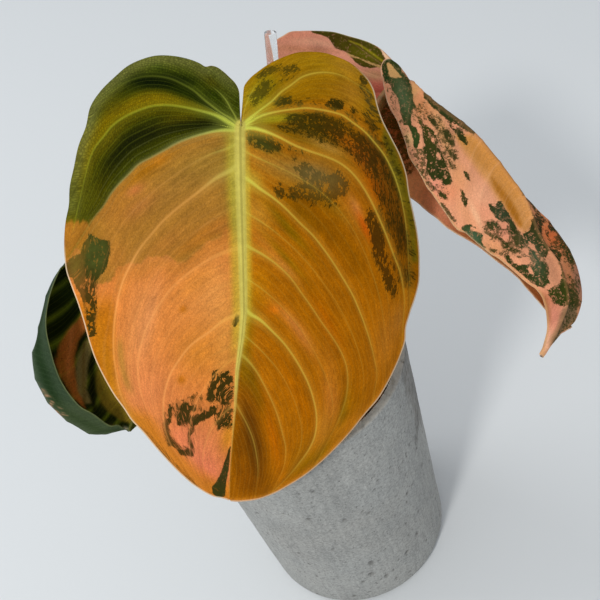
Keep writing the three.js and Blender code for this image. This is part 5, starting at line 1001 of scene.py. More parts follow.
MOTTLE_RIGHT = {
    -1: [
        (0.40, [(386, 84), (396, 92), (402, 122), (401, 126), (394, 116), (387, 100)]),
        (0.48, [(410, 108), (424, 100), (430, 116), (420, 124), (412, 120)]),
        (0.62, [(412, 148), (424, 150), (428, 176), (436, 192), (430, 190), (416, 168)]),
        (0.54, [(430, 112), (440, 116), (447, 142), (456, 160), (456, 172), (448, 168), (440, 150)]),
        (0.50, [(440, 124), (456, 132), (458, 162), (448, 160)]),
        (0.50, [(402, 128), (408, 130), (410, 150), (416, 162), (410, 156), (403, 138)]),
        (0.42, [(432, 184), (448, 186), (450, 200), (438, 200)]),
        (0.66, [(484, 222), (500, 221), (520, 232), (526, 246), (518, 254), (504, 250), (490, 242), (483, 232)]),
        (0.52, [(486, 244), (504, 250), (528, 252), (526, 262), (506, 256), (490, 254)]),
        (0.70, [(526, 246), (540, 252), (548, 266), (552, 280), (544, 288), (530, 280), (520, 270), (530, 262)]),
        (0.30, [(440, 204), (458, 222), (462, 232), (448, 220)]),
    ],
    1: [
        (0.66, [(378, 104), (392, 100), (404, 118), (412, 140), (416, 170), (404, 178), (390, 160), (380, 135)]),
        (0.06, [(404, 172), (420, 168), (440, 196), (462, 230), (448, 236), (424, 212), (404, 190)]),
        (0.5, [(300, 96), (330, 100), (372, 112), (380, 160), (340, 166), (300, 134)]),
        (0.5, [(552, 300), (574, 300), (580, 326), (560, 340), (548, 344)]),
        (0.10, [(276, 40), (306, 36), (330, 50), (352, 68), (350, 90), (310, 84), (280, 66)]),
    ],
}


def shoulder(C, x, y, edge):
    """Colours of the far shoulder and the tail, which both halves share."""
    wash(C, (206, 104, 54), x, y, 553, 238, 10, 20, -36, 0.95)
    wash(C, (200, 136, 100), x, y, 553, 270, 6, 18, -12, 0.85)
    wash(C, (190, 118, 76), x, y, 571, 280, 7, 18, -12, 0.9)
    wash(C, (158, 110, 88), x, y, 578, 282, 5, 26, -6, 0.95)
    wash(C, (198, 118, 82), x, y, 548, 300, 10, 8, 40, 0.9)
    wash(C, (206, 128, 104), x, y, 553, 318, 8, 18, 10, 0.9)
    wash(C, (236, 184, 150), x, y, 545, 343, 6, 14, 16, 0.9)
    veil(C, (124, 98, 70), smooth(-2.4, 1.0, poly_sdf(x, y, [(567, 304), (576, 306), (575, 326), (566, 332), (556, 339), (549, 344), (551, 338), (556, 328), (559, 318), (562, 310)])) * 0.9)
    veil(C, (186, 130, 84), smooth(-1.5, 0.8, poly_sdf(x, y, [(576, 318), (574, 327), (566, 333), (558, 337), (563, 330), (570, 324)])) * 0.8)
    veil(C, (150, 96, 60), smooth(3.2, 0.6, edge) * smooth(286, 300, y) * smooth(330, 316, y) * 0.7)


def right_marks(P, W, T, S, half, under):
    x, y = P[..., 0], P[..., 1]
    f = row_field(W, T, S, VEINS_RIGHT[half])
    C = np.zeros(x.shape + (3,))
    edge = (1 - S) * np.maximum(f["al"][:, -1:], 1e-6)     # mm to the margin
    lat = f["al"]
    n = fbm2(x / 26, y / 26, 3, 5)
    if half < 0:
        C[:] = (232, 158, 118)
        wash(C, (96, 116, 84), x, y, 392, 62, 14, 6, 20, 0.9)
        veil(C, (216, 166, 102), smooth(-1.5, 1.5, poly_sdf(x, y, [(384, 62), (391.4, 62), (400, 72), (403, 79), (396, 80), (388, 79), (385.9, 71.4)])))
        wash(C, (226, 168, 104), x, y, 412, 92, 7, 14, 18, 0.9)
        wash(C, (234, 150, 92), x, y, 422, 108, 10, 14, -20, 0.8)
        wash(C, (222, 150, 112), x, y, 394, 102, 7, 22, -20, 0.7)
        wash(C, (240, 190, 128), x, y, 409, 139, 5, 8, -15, 0.9)
        wash(C, (228, 168, 104), x, y, 442, 132, 6, 26, -22, 0.8)
        wash(C, (240, 150, 124), x, y, 436, 186, 6, 8, -15, 0.9)
        wash(C, (238, 146, 104), x, y, 450, 192, 12, 10, -20, 0.8)
        # tan shoulder along the fold
        tan = poly_sdf(x, y, [(455, 136), (470, 136), (490, 150), (503, 166), (514, 183), (523, 197), (529, 208), (532, 218), (531, 228), (525, 232.5), (519, 230), (515, 223), (510, 215), (503, 206), (497, 198), (490, 186), (478, 170), (466, 154)])
        veil(C, (216, 150, 80), smooth(-5, 4, tan) * 0.92)
        # painted shade: a darker ochre streak down the valley inside the tan shoulder along the fold
        valley_shade = poly_sdf(x, y, [(492, 178), (500, 186), (510, 201), (517, 213), (521, 226), (518, 224), (511, 213), (503, 201), (495, 189)])
        veil(C, (172, 106, 24), smooth(-4, 2.0, valley_shade) * 0.9)
        veil(C, (200, 132, 50), smooth(-7, 1, poly_sdf(x, y, [(474, 146), (488, 156), (502, 174), (514, 194), (508, 192), (494, 172), (478, 156)])) * 0.6)
        veil(C, (218, 148, 74), smooth(-4, 3, poly_sdf(x, y, [(458, 138), (470, 137), (490, 152), (506, 172), (520, 194), (514, 200), (500, 184), (484, 164), (468, 148)])) * 0.8)
        wash(C, (240, 172, 132), x, y, 480, 198, 14, 17, -35, 0.8)
        wash(C, (238, 156, 118), x, y, 486, 212, 8, 10, -35, 0.7)
        wash(C, (226, 156, 108), x, y, 466, 214, 6, 20, -24, 0.6)
        wash(C, (244, 190, 146), x, y, 476, 216, 2.6, 14, -24, 0.8)
        wash(C, (232, 160, 104), x, y, 458, 176, 10, 16, -24, 0.6)
        wash(C, (220, 152, 96), x, y, 496, 246, 14, 10, 20, 0.6)
        wash(C, (238, 150, 120), x, y, 504, 232, 10, 12, 20, 0.6)
        shoulder(C, x, y, edge)
        veil(C, (206, 158, 104), smooth(1.4, 0.4, edge) * smooth(0.3, 0.6, T) * 0.6)
        if not under:
            C = C * 0.90 + np.array([12, 8, 0]) * (1 + n[..., None])
    else:
        C[:] = (206, 138, 112)
        wash(C, (222, 148, 122), x, y, 318, 62, 40, 20, 10, 0.7)
        wash(C, (196, 128, 98), x, y, 290, 52, 22, 14, -20, 0.5)
        wash(C, (228, 106, 88), x, y, 376, 90, 14, 12, 30, 0.9)
        wash(C, (214, 126, 100), x, y, 350, 84, 30, 12, 15, 0.6)
        wash(C, (190, 124, 88), x, y, 306, 50, 40, 3.0, 4, 0.6)
        wash(C, (222, 164, 130), x, y, 316, 43, 26, 3.4, 8, 0.6)
        wash(C, (214, 132, 104), x, y, 290, 36, 24, 4, -6, 0.6)
        veil(C, (176, 142, 78), smooth(-1.4, 0.9, poly_sdf(x, y, [(346, 53), (356, 57), (368, 62), (382, 67), (383, 70), (372, 66), (360, 61), (350, 57)])) * 0.9)
        wash(C, (204, 158, 108), x, y, 374, 76, 12, 5, 10, 0.8)
        veil(C, (240, 196, 154), smooth(-1.2, 0.8, poly_sdf(x, y, [(377, 44), (384, 50), (391, 60), (386, 60), (381, 51)])))
        # painted shade and light: past y of about 105 the far half's face lies in the fold's shade and is painted
        # brown-orange, lightened against the rendered shade; the bright salmon wash at (420, 190) is raised for the
        # same reason
        far = smooth(100, 112, y)
        veil(C, (182, 92, 44), far * 0.95)
        wash(C, (255, 172, 112), x, y, 420, 190, 30, 26, 45, 1.2)
        wash(C, (250, 160, 122), x, y, 446, 214, 24, 18, 45, 1.0)
        wash(C, (190, 128, 74), x, y, 500, 262, 60, 12, 38, 0.9)
        wash(C, (120, 96, 48), x, y, 566, 318, 14, 24, 20, 0.85)
        veil(C, (222, 168, 120), smooth(1.8, 0.6, edge) * smooth(300, 330, y) * 0.9)
        if under:
            C = C * 0.62 + np.array([84, 62, 44]) * (1 + 0.5 * n[..., None])
            veil(C, (212, 140, 96), smooth(185, 196, y) * 0.95)
            shoulder(C, x, y, edge)
    sdf = np.full(x.shape, -60.0)
    rag = np.full(x.shape, 0.3)
    deep = np.full(x.shape, 0.95)
    near_fold = np.ones_like(x) if half < 0 else np.maximum(smooth(0.62, 0.5, S), smooth(180, 190, y))
    outlines = [(r_, o_, p_, 0 * x) for r_, o_, p_ in PATCH_RIGHT[half]]
    if half > 0:
        outlines = [(r_, o_, p_, 60 * smooth(0.34, 0.26, S)) for r_, o_, p_, _ in outlines]
    if half < 0 or under:
        outlines += [(r_, o_, p_, 60 * (1 - near_fold)) for r_, o_, p_ in EDGE_DARK]
    for r_, o_, poly, less in outlines:
        q = poly_sdf(x, y, poly) - less
        near = q > sdf
        sdf = np.where(near, q, sdf)
        rag = np.where(near, r_, rag)
        deep = np.where(near, o_, deep)
    mot = np.zeros(x.shape)
    for density, poly in MOTTLE_RIGHT[half]:
        mot = np.maximum(mot, density * smooth(-3, 2, poly_sdf(x, y, poly)))
    if half < 0 or under:
        for density, poly in TIP_MOTTLE:
            mot = np.maximum(mot, density * near_fold * smooth(-3, 3, poly_sdf(x, y, poly)))
    holes = list(CLEAR_RIGHT[half]) + (EDGE_CLEAR if half < 0 or under else [])
    for r_, poly in holes:
        h = poly_sdf(x, y, poly)
        rag = np.where(-h < sdf, r_, rag)
        sdf = np.minimum(sdf, -h)
        mot = mot * smooth(1.2, -1.0, h)
    if half > 0:      # what nobody sees in the fold carries the same kind of marks
        hidden = smooth(0.0, 0.25, 0.62 - np.abs(S - 0.45)) * smooth(0.3, 0.4, T) * smooth(166, 150, y) * (0.0 if under else 1.0)
        mot = np.maximum(mot, hidden * (0.28 + 0.7 * n))
    if half > 0 and under:      # the same kind of marks on the fold's back
        cloudy = fbm2(x / 30, y / 20, 4, 23)
        mot = mot * smooth(180, 190, y)
        mot = np.maximum(mot, 0.62 * smooth(0.06, 0.20, cloudy) * smooth(0.02, 0.10, 1 - S) * smooth(58, 80, y))
    deep = 1 - (1 - deep) * 0.25
    tint = np.zeros(x.shape + (3,))
    tint[:] = (240, 184, 136) if half < 0 else (226, 164, 130)
    ink = np.zeros(x.shape + (3,))
    if half < 0 or under:
        ink[:] = (46, 54, 18)
        wash(ink, (84, 102, 64), x, y, 402, 96, 10, 26, -14, 1.0)
        wash(ink, (34, 60, 22), x, y, 385, 78, 4, 10, 0, 0.9)
        wash(ink, (50, 76, 32), x, y, 414, 138, 8, 14, -14, 0.8)
        wash(ink, (64, 66, 20), x, y, 426, 130, 6, 20, -18, 0.8)
        wash(ink, (36, 52, 16), x, y, 440, 176, 14, 12, 0, 0.8)
        wash(ink, (48, 64, 34), x, y, 446, 112, 20, 5, 38, 0.8)
        wash(ink, (66, 90, 62), x, y, 474, 236, 14, 8, 36, 1.0)
        wash(ink, (54, 68, 46), x, y, 502, 214, 14, 16, -30, 0.8)
        wash(ink, (72, 88, 62), x, y, 534, 258, 10, 24, -20, 0.9)
        wash(ink, (50, 62, 16), x, y, 560, 292, 12, 12, 0, 1.2)
        wash(ink, (50, 48, 26), x, y, 544, 222, 24, 14, 50, 0.9)
    else:
        ink[:] = (64, 56, 8)
        wash(ink, (92, 88, 8), x, y, 366, 56, 20, 7, 24, 1.0)
        wash(ink, (70, 72, 6), x, y, 376, 48, 10, 6, 30, 0.7)
        veil(ink, (110, 118, 62), smooth(1.3, 0.4, edge) * smooth(312, 326, x) * smooth(60, 50, y) * (x < 376) * 0.8)
        line = smooth(1.6, 0.4, seg_dist(x, y, [(350, 41), (360, 45), (370, 52), (383, 62)])[0])
        veil(ink, (148, 136, 22), line * 0.75 * (y < 70))
    one = np.ones(x.shape)
    rimk = one * (0.62 if half < 0 else 0.7) * np.where(under, 1.0, 1.0)
    if half < 0:
        rimk = rimk * smooth(58, 90, y) * (1 - 0.5 * smooth(300, 330, y)) * (1 - 0.9 * smooth(498, 510, x) * smooth(205, 216, y) * smooth(318, 306, y))
    else:
        rimk = rimk * (1 - smooth(305, 320, x) * smooth(384, 376, x) * smooth(60, 50, y))
    return C, f, lat, edge, sdf, mot, rag, deep, tint, ink, rimk


VEINS_LEFT = {
    -1: [(0.35, 0.5, 0.05, 0.08), (0.5, 0.6, 0.12, 0.14), (0.6, 0.7, 0.20, 0.18), (0.6, 0.7, 0.29, 0.20), (0.6, 0.7, 0.38, 0.20), (0.6, 0.6, 0.47, 0.18), (0.5, 0.6, 0.56, 0.16), (0.5, 0.5, 0.65, 0.14), (0.4, 0.45, 0.74, 0.12), (0.35, 0.4, 0.83, 0.09), (0.3, 0.4, 0.91, 0.05)],
    1: [(0.35, 0.45, 0.06, 0.08), (0.45, 0.5, 0.14, 0.12), (0.5, 0.55, 0.23, 0.15), (0.5, 0.55, 0.33, 0.16), (0.5, 0.55, 0.43, 0.16), (0.5, 0.5, 0.53, 0.15), (0.45, 0.5, 0.63, 0.13), (0.4, 0.45, 0.73, 0.11), (0.4, 0.45, 0.82, 0.08), (0.3, 0.4, 0.91, 0.04)],
}


def left_marks(P, W, T, S, half, under):
    x, y = P[..., 0], P[..., 1]
    f = row_field(W, T, S, VEINS_LEFT[half])
    lat = f["al"]
    edge = (1 - S) * np.maximum(f["al"][:, -1:], 1e-6)
    n = fbm2(x / 22, y / 22, 3, 9)
    C = np.zeros(x.shape + (3,))
    tint = np.zeros(x.shape + (3,))
    ink = np.zeros(x.shape + (3,))
    if under:
        C[:] = (60, 78, 54)
        veil(C, (84, 106, 68), smooth(0.35, 0.0, S) * 0.6)
        if half < 0:
            veil(C, (88, 104, 82), np.exp(-((S - 0.80) / 0.05) ** 2) * 0.9)
            # painted highlight: a thin greyish line along the rolled margin's underside
            veil(C, (112, 122, 104), np.exp(-((S - 0.82 - 0.01 * np.sin(T * 21)) / 0.018) ** 2) * smooth(-0.1, 0.2, n) * 0.7)
            veil(C, (34, 56, 26), np.exp(-((S - 0.90 - 0.012 * np.sin(T * 30)) / 0.035) ** 2) * smooth(0.28, 0.36, T) * 0.9)
            veil(C, (44, 62, 36), np.exp(-((S - 0.72) / 0.03) ** 2) * 0.6)
            veil(C, (86, 96, 62), smooth(0.72, 0.80, T) * 0.5)
            veil(C, (70, 92, 66), smooth(0.30, 0.16, T) * smooth(0.75, 0.9, S) * 0.8)
            fleck = smooth(-3.0, 1.0, poly_sdf(x, y, [(38, 384), (44, 390), (52, 401), (60, 408), (66, 416), (62, 418), (54, 410), (45, 400)]))
            veil(C, (196, 148, 112), fleck * smooth(0.0, 0.16, fbm2(x / 2.4, y / 2.4, 3, 31) + 0.02) * 0.9)
        C = C * 0.86
        tint[:] = (84, 102, 74)
        ink[:] = (30, 44, 24)
    else:
        C[:] = (24, 32, 6)
        veil(C, (58, 74, 20), smooth(0.25, 0.0, S) * 0.8)
        fb = f["ph"] - np.floor(f["ph"])
        veil(C, (96, 108, 24), smooth(0.26, 0.03, np.minimum(fb, 1 - fb)) * 0.85)
        if half < 0:
            sector = smooth(-2.4, 1.6, poly_sdf(x, y, [(84, 312), (76, 322), (67, 331), (59.5, 345.5), (55, 363.6), (61.4, 378), (72.3, 396), (85, 411), (82, 400), (77.7, 387), (75, 371), (74, 356.4), (77.7, 341.8), (85, 331), (92, 324)]) + 2.0 * n)
            veil(C, (178, 100, 40), sector * 0.95)
            veil(C, (206, 120, 62), np.exp(-((x - 69 + (y - 355) * 0.10) / 2.6) ** 2) * sector * 0.6)
            veil(C, (140, 88, 26), np.exp(-((x - 61 - (y - 365) * 0.3) / 3.0) ** 2) * sector * 0.6)
            band = smooth(-2.2, 1.4, poly_sdf(x, y, [(96, 336), (85, 341.8), (77.7, 356.4), (75.9, 372.7), (77.7, 391), (86, 405), (92, 404), (86.5, 390), (87.7, 367.3), (91.4, 352.7), (99, 338)]))
            veil(C, (136, 116, 66), band * 0.92)
            veil(C, (100, 72, 24), np.exp(-((x - 83.5 - 0.0012 * (y - 372) ** 2) / 1.6) ** 2) * band * 0.5)
            veil(C, (124, 102, 30), smooth(-3, 2, poly_sdf(x, y, [(98, 362), (96, 378), (97, 392), (102, 404), (110, 413), (122, 422), (132, 424), (140, 410), (120, 350)])) * 0.95)
            wash(C, (140, 114, 34), x, y, 110, 404, 10, 8, 20, 0.6)
            wash(C, (46, 60, 24), x, y, 72, 290, 16, 14, 0, 0.55)
            veil(C, (24, 24, 4), np.exp(-((x - 92.0 - 0.0022 * (y - 376) ** 2) / 2.6) ** 2) * smooth(350, 362, y) * smooth(418, 410, y) * 0.92)
            veil(C, (104, 112, 52), smooth(1.8, 0.3, edge) * 0.55)
        else:
            veil(C, (60, 66, 22), 0.5 + n)
            wash(C, (88, 84, 34), x, y, 140, 400, 26, 30, 0, 0.8)
            wash(C, (112, 66, 30), x, y, 190, 330, 20, 60, 10, 0.4)
        wash(C, (150, 112, 92), x, y, 112, 430, 5, 4, 0, 0.8)
        wash(C, (196, 188, 160), x, y, 126, 429.5, 3, 2.4, 0, 0.9)
        wash(C, (30, 34, 16), x, y, 106, 431, 3, 3, 0, 0.8)
        # painted light: the upper face's colours are raised to lift it out of the main leaf's shade
        C = C * 1.16
        tint[:] = (140, 150, 44)
        ink[:] = (22, 28, 8)
    sdf = np.full(x.shape, -60.0)
    mot = np.zeros(x.shape)
    if not under:
        mot = 0.22 * smooth(0.15, 0.5, n + 0.35)
    else:
        mot = 0.18 * smooth(0.0, 0.3, n)
    return C, f, lat, edge, sdf, mot, np.full(x.shape, 0.4), np.full(x.shape, 0.9), tint, ink, np.full(x.shape, 0.5)


# ---------------------------------------------------------------- a blade's mesh
def blade_data(kind, rows, cols, under):
    """One sheet of a blade as a grid: rows from the base to the tip, columns from one margin over the midrib to the other."""
    t = np.linspace(0, 1, rows)
    s = np.linspace(0, 1, cols)
    halves = []
    for half in (-1, 1):
        if kind == "main":
            W, P = world_main(half, rows, cols)
            mm = 0.41
            m = main_marks(P[..., :2], half)
            k = dict(rag=m["rag"], deep=m["deep"], glow=m["glow"], sd=m["sd"] * mm, d=m["d"] * mm, w=m["w"] * mm, st=m["st"], ph=m["ph"] * 34 * mm, al=m["al"] * mm,
                     tint=m["tint"], ink=m["ink"], net=m["net"], rimk=m["rimk"], ribk=m["ribk"], lat=m["lat"] * mm, mw=m["mw"] * mm, edge=m["edge"] * mm, sdf=m["sdf"] * mm, mot=m["mot"], band=m["band"], ground=m["ground"])
            if under:
                for a in ("tint", "ink"):
                    k[a] = (k[a] * 0.7 + k[a].mean(-1, keepdims=True) * 0.3) * 0.8 + np.array([30, 34, 26])
                k["net"] = k["net"] * 0.3
                g = k["ground"]
                grey = g.mean(-1, keepdims=True)
                k["ground"] = (g * 0.72 + grey * 0.28) * 0.82 + np.array([34, 42, 30])
        else:
            world = world_right if kind == "right" else world_left
            W, P = world(half, rows, cols)
            T = np.repeat(t[:, None], cols, 1)
            S = np.repeat(s[None, :], rows, 0)
            C, f, lat, edge, sdf, mot, rag, deep, tint, ink, rimk = (right_marks if kind == "right" else left_marks)(P, W, T, S, half, under)
            mw = np.interp(t, [0, 0.1, 0.5, 0.9, 1.0], [1.0, 1.6, 1.2, 0.6, 0.3])[:, None] * np.ones_like(lat) * (1.0 if kind == "right" else 0.8)
            ph = f["ph"]
            one = np.ones_like(lat)
            k = dict(rag=rag, deep=deep, glow=0 * one, tint=tint, ink=ink, net=one * (0.35 if kind == "left" else 0.0), rimk=rimk * one, ribk=one, sd=f["sd"], d=f["d"], w=f["w"] * 0.62, st=f["st"], ph=ph * 9.0, al=f["al"], lat=lat, mw=mw, edge=edge, sdf=sdf * 0.46, mot=mot,
                     band=ph - np.floor(ph), ground=C)
        k["W"] = W
        k["S"] = np.repeat(s[None, :], rows, 0)
        halves.append(k)
    out = {}
    for key in halves[0]:
        a, b = halves[0][key], halves[1][key]
        out[key] = np.concatenate([a[:, ::-1], b[:, 1:]], axis=1)
    out["side"] = np.concatenate([-np.ones((rows, cols)), np.ones((rows, cols - 1))], axis=1)
    return out


def relief(k, under, quilt, groove):
    """How far a sheet stands off the blade's middle surface, mm, along the upper side's normal."""
    q = quilt * 4 * k["band"] * (1 - k["band"])
    q = q * smooth(0.4, 5.0, k["edge"]) * smooth(0.5, 6.0, k["lat"])
    vein = np.exp(-(k["d"] / (1.05 + 0.5 * k["w"])) ** 2) * k["st"]
    rib = np.exp(-(k["lat"] / (1.3 * k["mw"] + 0.5)) ** 2)
    x, y = k["ph"], k["al"]
    fine = 0.10 * fbm2(x / 1.9, y / 4.5, 2, 3) + 0.16 * fbm2(x / 6, y / 9, 2, 4)
    fine = fine * smooth(0.2, 2.0, k["edge"])
    if under:
        return q + fine - 0.55 * groove * vein - 1.25 * rib
    return q + fine - 0.50 * groove * vein + 0.30 * rib


def blade(name, kind, up, dn, quilt, groove, thick, sign, mats, rounds):
    verts, faces, slots, rings = [], [], [], []
    data = {}
    count = 0
    for under, (rows, cols) in ((False, up), (True, dn)):
        k = blade_data(kind, rows, cols, under)
        W = k["W"]
        N = sign * grid_normals(W)
        N = soften(N, rounds)
        off = relief(k, under, quilt, groove)
        side = -1 if under else 1
        h = thick / 2 * (0.55 + 0.45 * smooth(0.0, 1.6, k["edge"])) * (0.35 + 0.65 * smooth(1.0, 0.965, np.linspace(0, 1, rows)))[:, None]
        P = W + N * (off + side * h)[..., None]
        n, m = P.shape[:2]
        idx = np.arange(n * m).reshape(n, m) + count
        q = np.stack([idx[:-1, :-1], idx[1:, :-1], idx[1:, 1:], idx[:-1, 1:]], -1).reshape(-1, 4)
        if (sign > 0) == under:
            q = q[:, ::-1]
        verts.append(P.reshape(-1, 3))
        faces.append(tri(q))
        slots.append(np.full(len(q) * 2, 1 if under else 0))
        ring, key = ring_of(n, m)
        rings.append((np.array([idx[i, j] for i, j in ring]), key, np.array([N[i, j] for i, j in ring]), ring, idx))
        count += n * m
        for a in ("sd", "d", "w", "st", "ph", "al", "lat", "mw", "edge", "sdf", "mot", "side", "rag", "deep", "glow", "net", "rimk", "ribk"):
            data.setdefault(a, []).append(k[a].reshape(-1))
        for a in ("ground", "tint", "ink"):
            data.setdefault(a, []).append(k[a].reshape(-1, 3))
    V = np.concatenate(verts)
    D = {a: np.concatenate(v) for a, v in data.items()}
    # a rounded margin between the sheets: one row of points half a thickness outside
    ia, ka, na, ra, gu = rings[0]
    ib, kb, nb, rb, gd = rings[1]
    rimn = len(ia)
    ring_in = np.array([inner(i, j, gu.shape) for i, j in ra])
    Pa = V[ia]
    inn = V[gu[ring_in[:, 0], ring_in[:, 1]]]
    out = Pa - inn
    out = out / np.maximum(np.linalg.norm(out, axis=1, keepdims=True), 1e-6)
    for _ in range(6):
        out = (np.roll(out, 1, 0) + np.roll(out, -1, 0) + 2 * out) / 4
    out = out / np.maximum(np.linalg.norm(out, axis=1, keepdims=True), 1e-6)
    mid = Pa - na * thick * 0.27 + out * thick * 0.22
    im = np.arange(rimn) + len(V)
    V = np.concatenate([V, mid])
    for a in D:
        D[a] = np.concatenate([D[a], D[a][ia]])
    f1 = zip_rings(ia, ka, im, ka)
    f2 = zip_rings(im, ka, ib, kb)
    band = np.array(f1 + f2)
    if sign < 0:
        band = band[:, ::-1]
    F_ = np.concatenate(faces + [band])
    sl = np.concatenate(slots + [np.full(len(band), 2)])
    # each face's area, handed back with the piece; faces that have shrunk to nothing where rows meet are kept
    A, B, C_ = V[F_[:, 0]], V[F_[:, 1]], V[F_[:, 2]]
    area = np.linalg.norm(np.cross(B - A, C_ - A), axis=1)
    ob = new_mesh(name, V, F_)
    me = ob.data
    put(me, "vein", np.stack([D["sd"], D["d"], D["w"]], -1))
    put(me, "rib", np.stack([D["lat"], D["mw"], D["edge"]], -1))
    put(me, "mark", np.stack([D["sdf"], D["mot"], D["st"]], -1))
    put(me, "flow", np.stack([D["ph"], D["al"], D["side"]], -1))
    put(me, "kind", np.stack([D["rag"], D["deep"], D["glow"]], -1))
    put(me, "more", np.stack([D["net"], D["rimk"], D["ribk"]], -1))
    for a in ("ground", "tint", "ink"):
        put(me, a, to_lin(D[a]))
    for mat in mats:
        me.materials.append(mat)
    me.polygons.foreach_set("material_index", sl.astype(np.int32)[:len(me.polygons)])
    me.update()
    return ob, area


def inner(i, j, shape):
    """The neighbour one step in from a border point of a grid."""
    n, m = shape
    a = min(max(i, 1), n - 2) if i in (0, n - 1) else i
    b = min(max(j, 1), m - 2) if j in (0, m - 1) else j
    return a, b


# ---------------------------------------------------------------- materials
class Shade:
    """A material under construction: each method adds a node and gives back its output."""

    def __init__(self, name, **fixed):
        self.mat = bpy.data.materials.new(name)
        self.mat.use_nodes = True
        self.t = self.mat.node_tree
        self.t.nodes.clear()
        out = self.t.nodes.new("ShaderNodeOutputMaterial")
        self.b = self.t.nodes.new("ShaderNodeBsdfPrincipled")
        self.t.links.new(self.b.outputs[0], out.inputs[0])
        for key, value in fixed.items():
            self.b.inputs[key.replace("_", " ")].default_value = value

    def join(self, value, socket):
        if hasattr(value, "links"):
            self.t.links.new(value, socket)
        elif isinstance(value, (tuple, list, np.ndarray)):
            v = [float(c) for c in value]
            socket.default_value = v + [1.0] if len(v) == 3 and len(socket.default_value) == 4 else v
        else:
            socket.default_value = value

    def math(self, op, a, b=0.0, c=0.0, clamp=False):
        n = self.t.nodes.new("ShaderNodeMath")
        n.operation = op
        n.use_clamp = clamp
        self.join(a, n.inputs[0])
        self.join(b, n.inputs[1])
        self.join(c, n.inputs[2])
        return n.outputs[0]

    def add(self, a, b): return self.math("ADD", a, b)
    def sub(self, a, b): return self.math("SUBTRACT", a, b)
    def mul(self, a, b): return self.math("MULTIPLY", a, b)
    def most(self, a, b): return self.math("MAXIMUM", a, b)
    def least(self, a, b): return self.math("MINIMUM", a, b)
    def size(self, a): return self.math("ABSOLUTE", a)

    def step(self, x, lo, hi, a=0.0, b=1.0):
        n = self.t.nodes.new("ShaderNodeMapRange")
        n.interpolation_type = "SMOOTHSTEP"
        for v, k in ((x, 0), (lo, 1), (hi, 2), (a, 3), (b, 4)):
            self.join(v, n.inputs[k])
        return n.outputs[0]

    def attribute(self, name):
        n = self.t.nodes.new("ShaderNodeAttribute")
        n.attribute_type = "GEOMETRY"
        n.attribute_name = name
        return n.outputs["Vector"]

    def colour_attribute(self, name):
        n = self.t.nodes.new("ShaderNodeAttribute")
        n.attribute_type = "GEOMETRY"
        n.attribute_name = name
        return n.outputs["Color"]

    def parts(self, v):
        n = self.t.nodes.new("ShaderNodeSeparateXYZ")
        self.join(v, n.inputs[0])
        return n.outputs[0], n.outputs[1], n.outputs[2]

    def vector(self, x, y, z):
        n = self.t.nodes.new("ShaderNodeCombineXYZ")
        for v, k in ((x, 0), (y, 1), (z, 2)):
            self.join(v, n.inputs[k])
        return n.outputs[0]

    def place(self, sx=1.0, sy=1.0, sz=1.0):
        """The point on the piece, in millimetres, scaled."""
        n = self.t.nodes.new("ShaderNodeTexCoord")
        m = self.t.nodes.new("ShaderNodeVectorMath")
        m.operation = "MULTIPLY"
        self.t.links.new(n.outputs["Object"], m.inputs[0])
        m.inputs[1].default_value = (1000 * sx, 1000 * sy, 1000 * sz)
        return m.outputs[0]

    def noise(self, v, scale, detail=2.0, rough=0.5, warp=0.0):
        n = self.t.nodes.new("ShaderNodeTexNoise")
        self.join(v, n.inputs["Vector"])
        n.inputs["Scale"].default_value = scale
        n.inputs["Detail"].default_value = detail
        n.inputs["Roughness"].default_value = rough
        n.inputs["Distortion"].default_value = warp
        return n.outputs[0]

    def cells(self, v, scale, feature="F1", random=1.0, want=None):
        n = self.t.nodes.new("ShaderNodeTexVoronoi")
        n.feature = feature
        self.join(v, n.inputs["Vector"])
        n.inputs["Scale"].default_value = scale
        n.inputs["Randomness"].default_value = random
        return n.outputs[want or "Distance"]

    def cell_value(self, v, scale, random=1.0):
        """One random number a cell."""
        c = self.cells(v, scale, "F1", random, "Color")
        return self.parts(c)[0]

    def mix(self, f, a, b, kind="MIX"):
        n = self.t.nodes.new("ShaderNodeMix")
        n.data_type = "RGBA"
        n.blend_type = kind
        n.clamp_factor = True
        self.join(f, n.inputs[0])
        self.join(a, n.inputs[6])
        self.join(b, n.inputs[7])
        return n.outputs[2]

    def gain(self, colour, k):
        """The colour times a number."""
        n = self.t.nodes.new("ShaderNodeVectorMath")
        n.operation = "SCALE"
        self.join(colour, n.inputs[0])
        self.join(k, n.inputs["Scale"])
        return n.outputs[0]

    def add_colour(self, a, b):
        return self.mix(1.0, a, b, "ADD")

    def bump(self, height, mm, strength=1.0):
        n = self.t.nodes.new("ShaderNodeBump")
        n.inputs["Strength"].default_value = strength
        n.inputs["Distance"].default_value = mm * 0.001
        self.join(height, n.inputs["Height"])
        self.join(n.outputs[0], self.b.inputs["Normal"])


def lin(r, g, b):
    return tuple(float(v) for v in to_lin((r, g, b)))


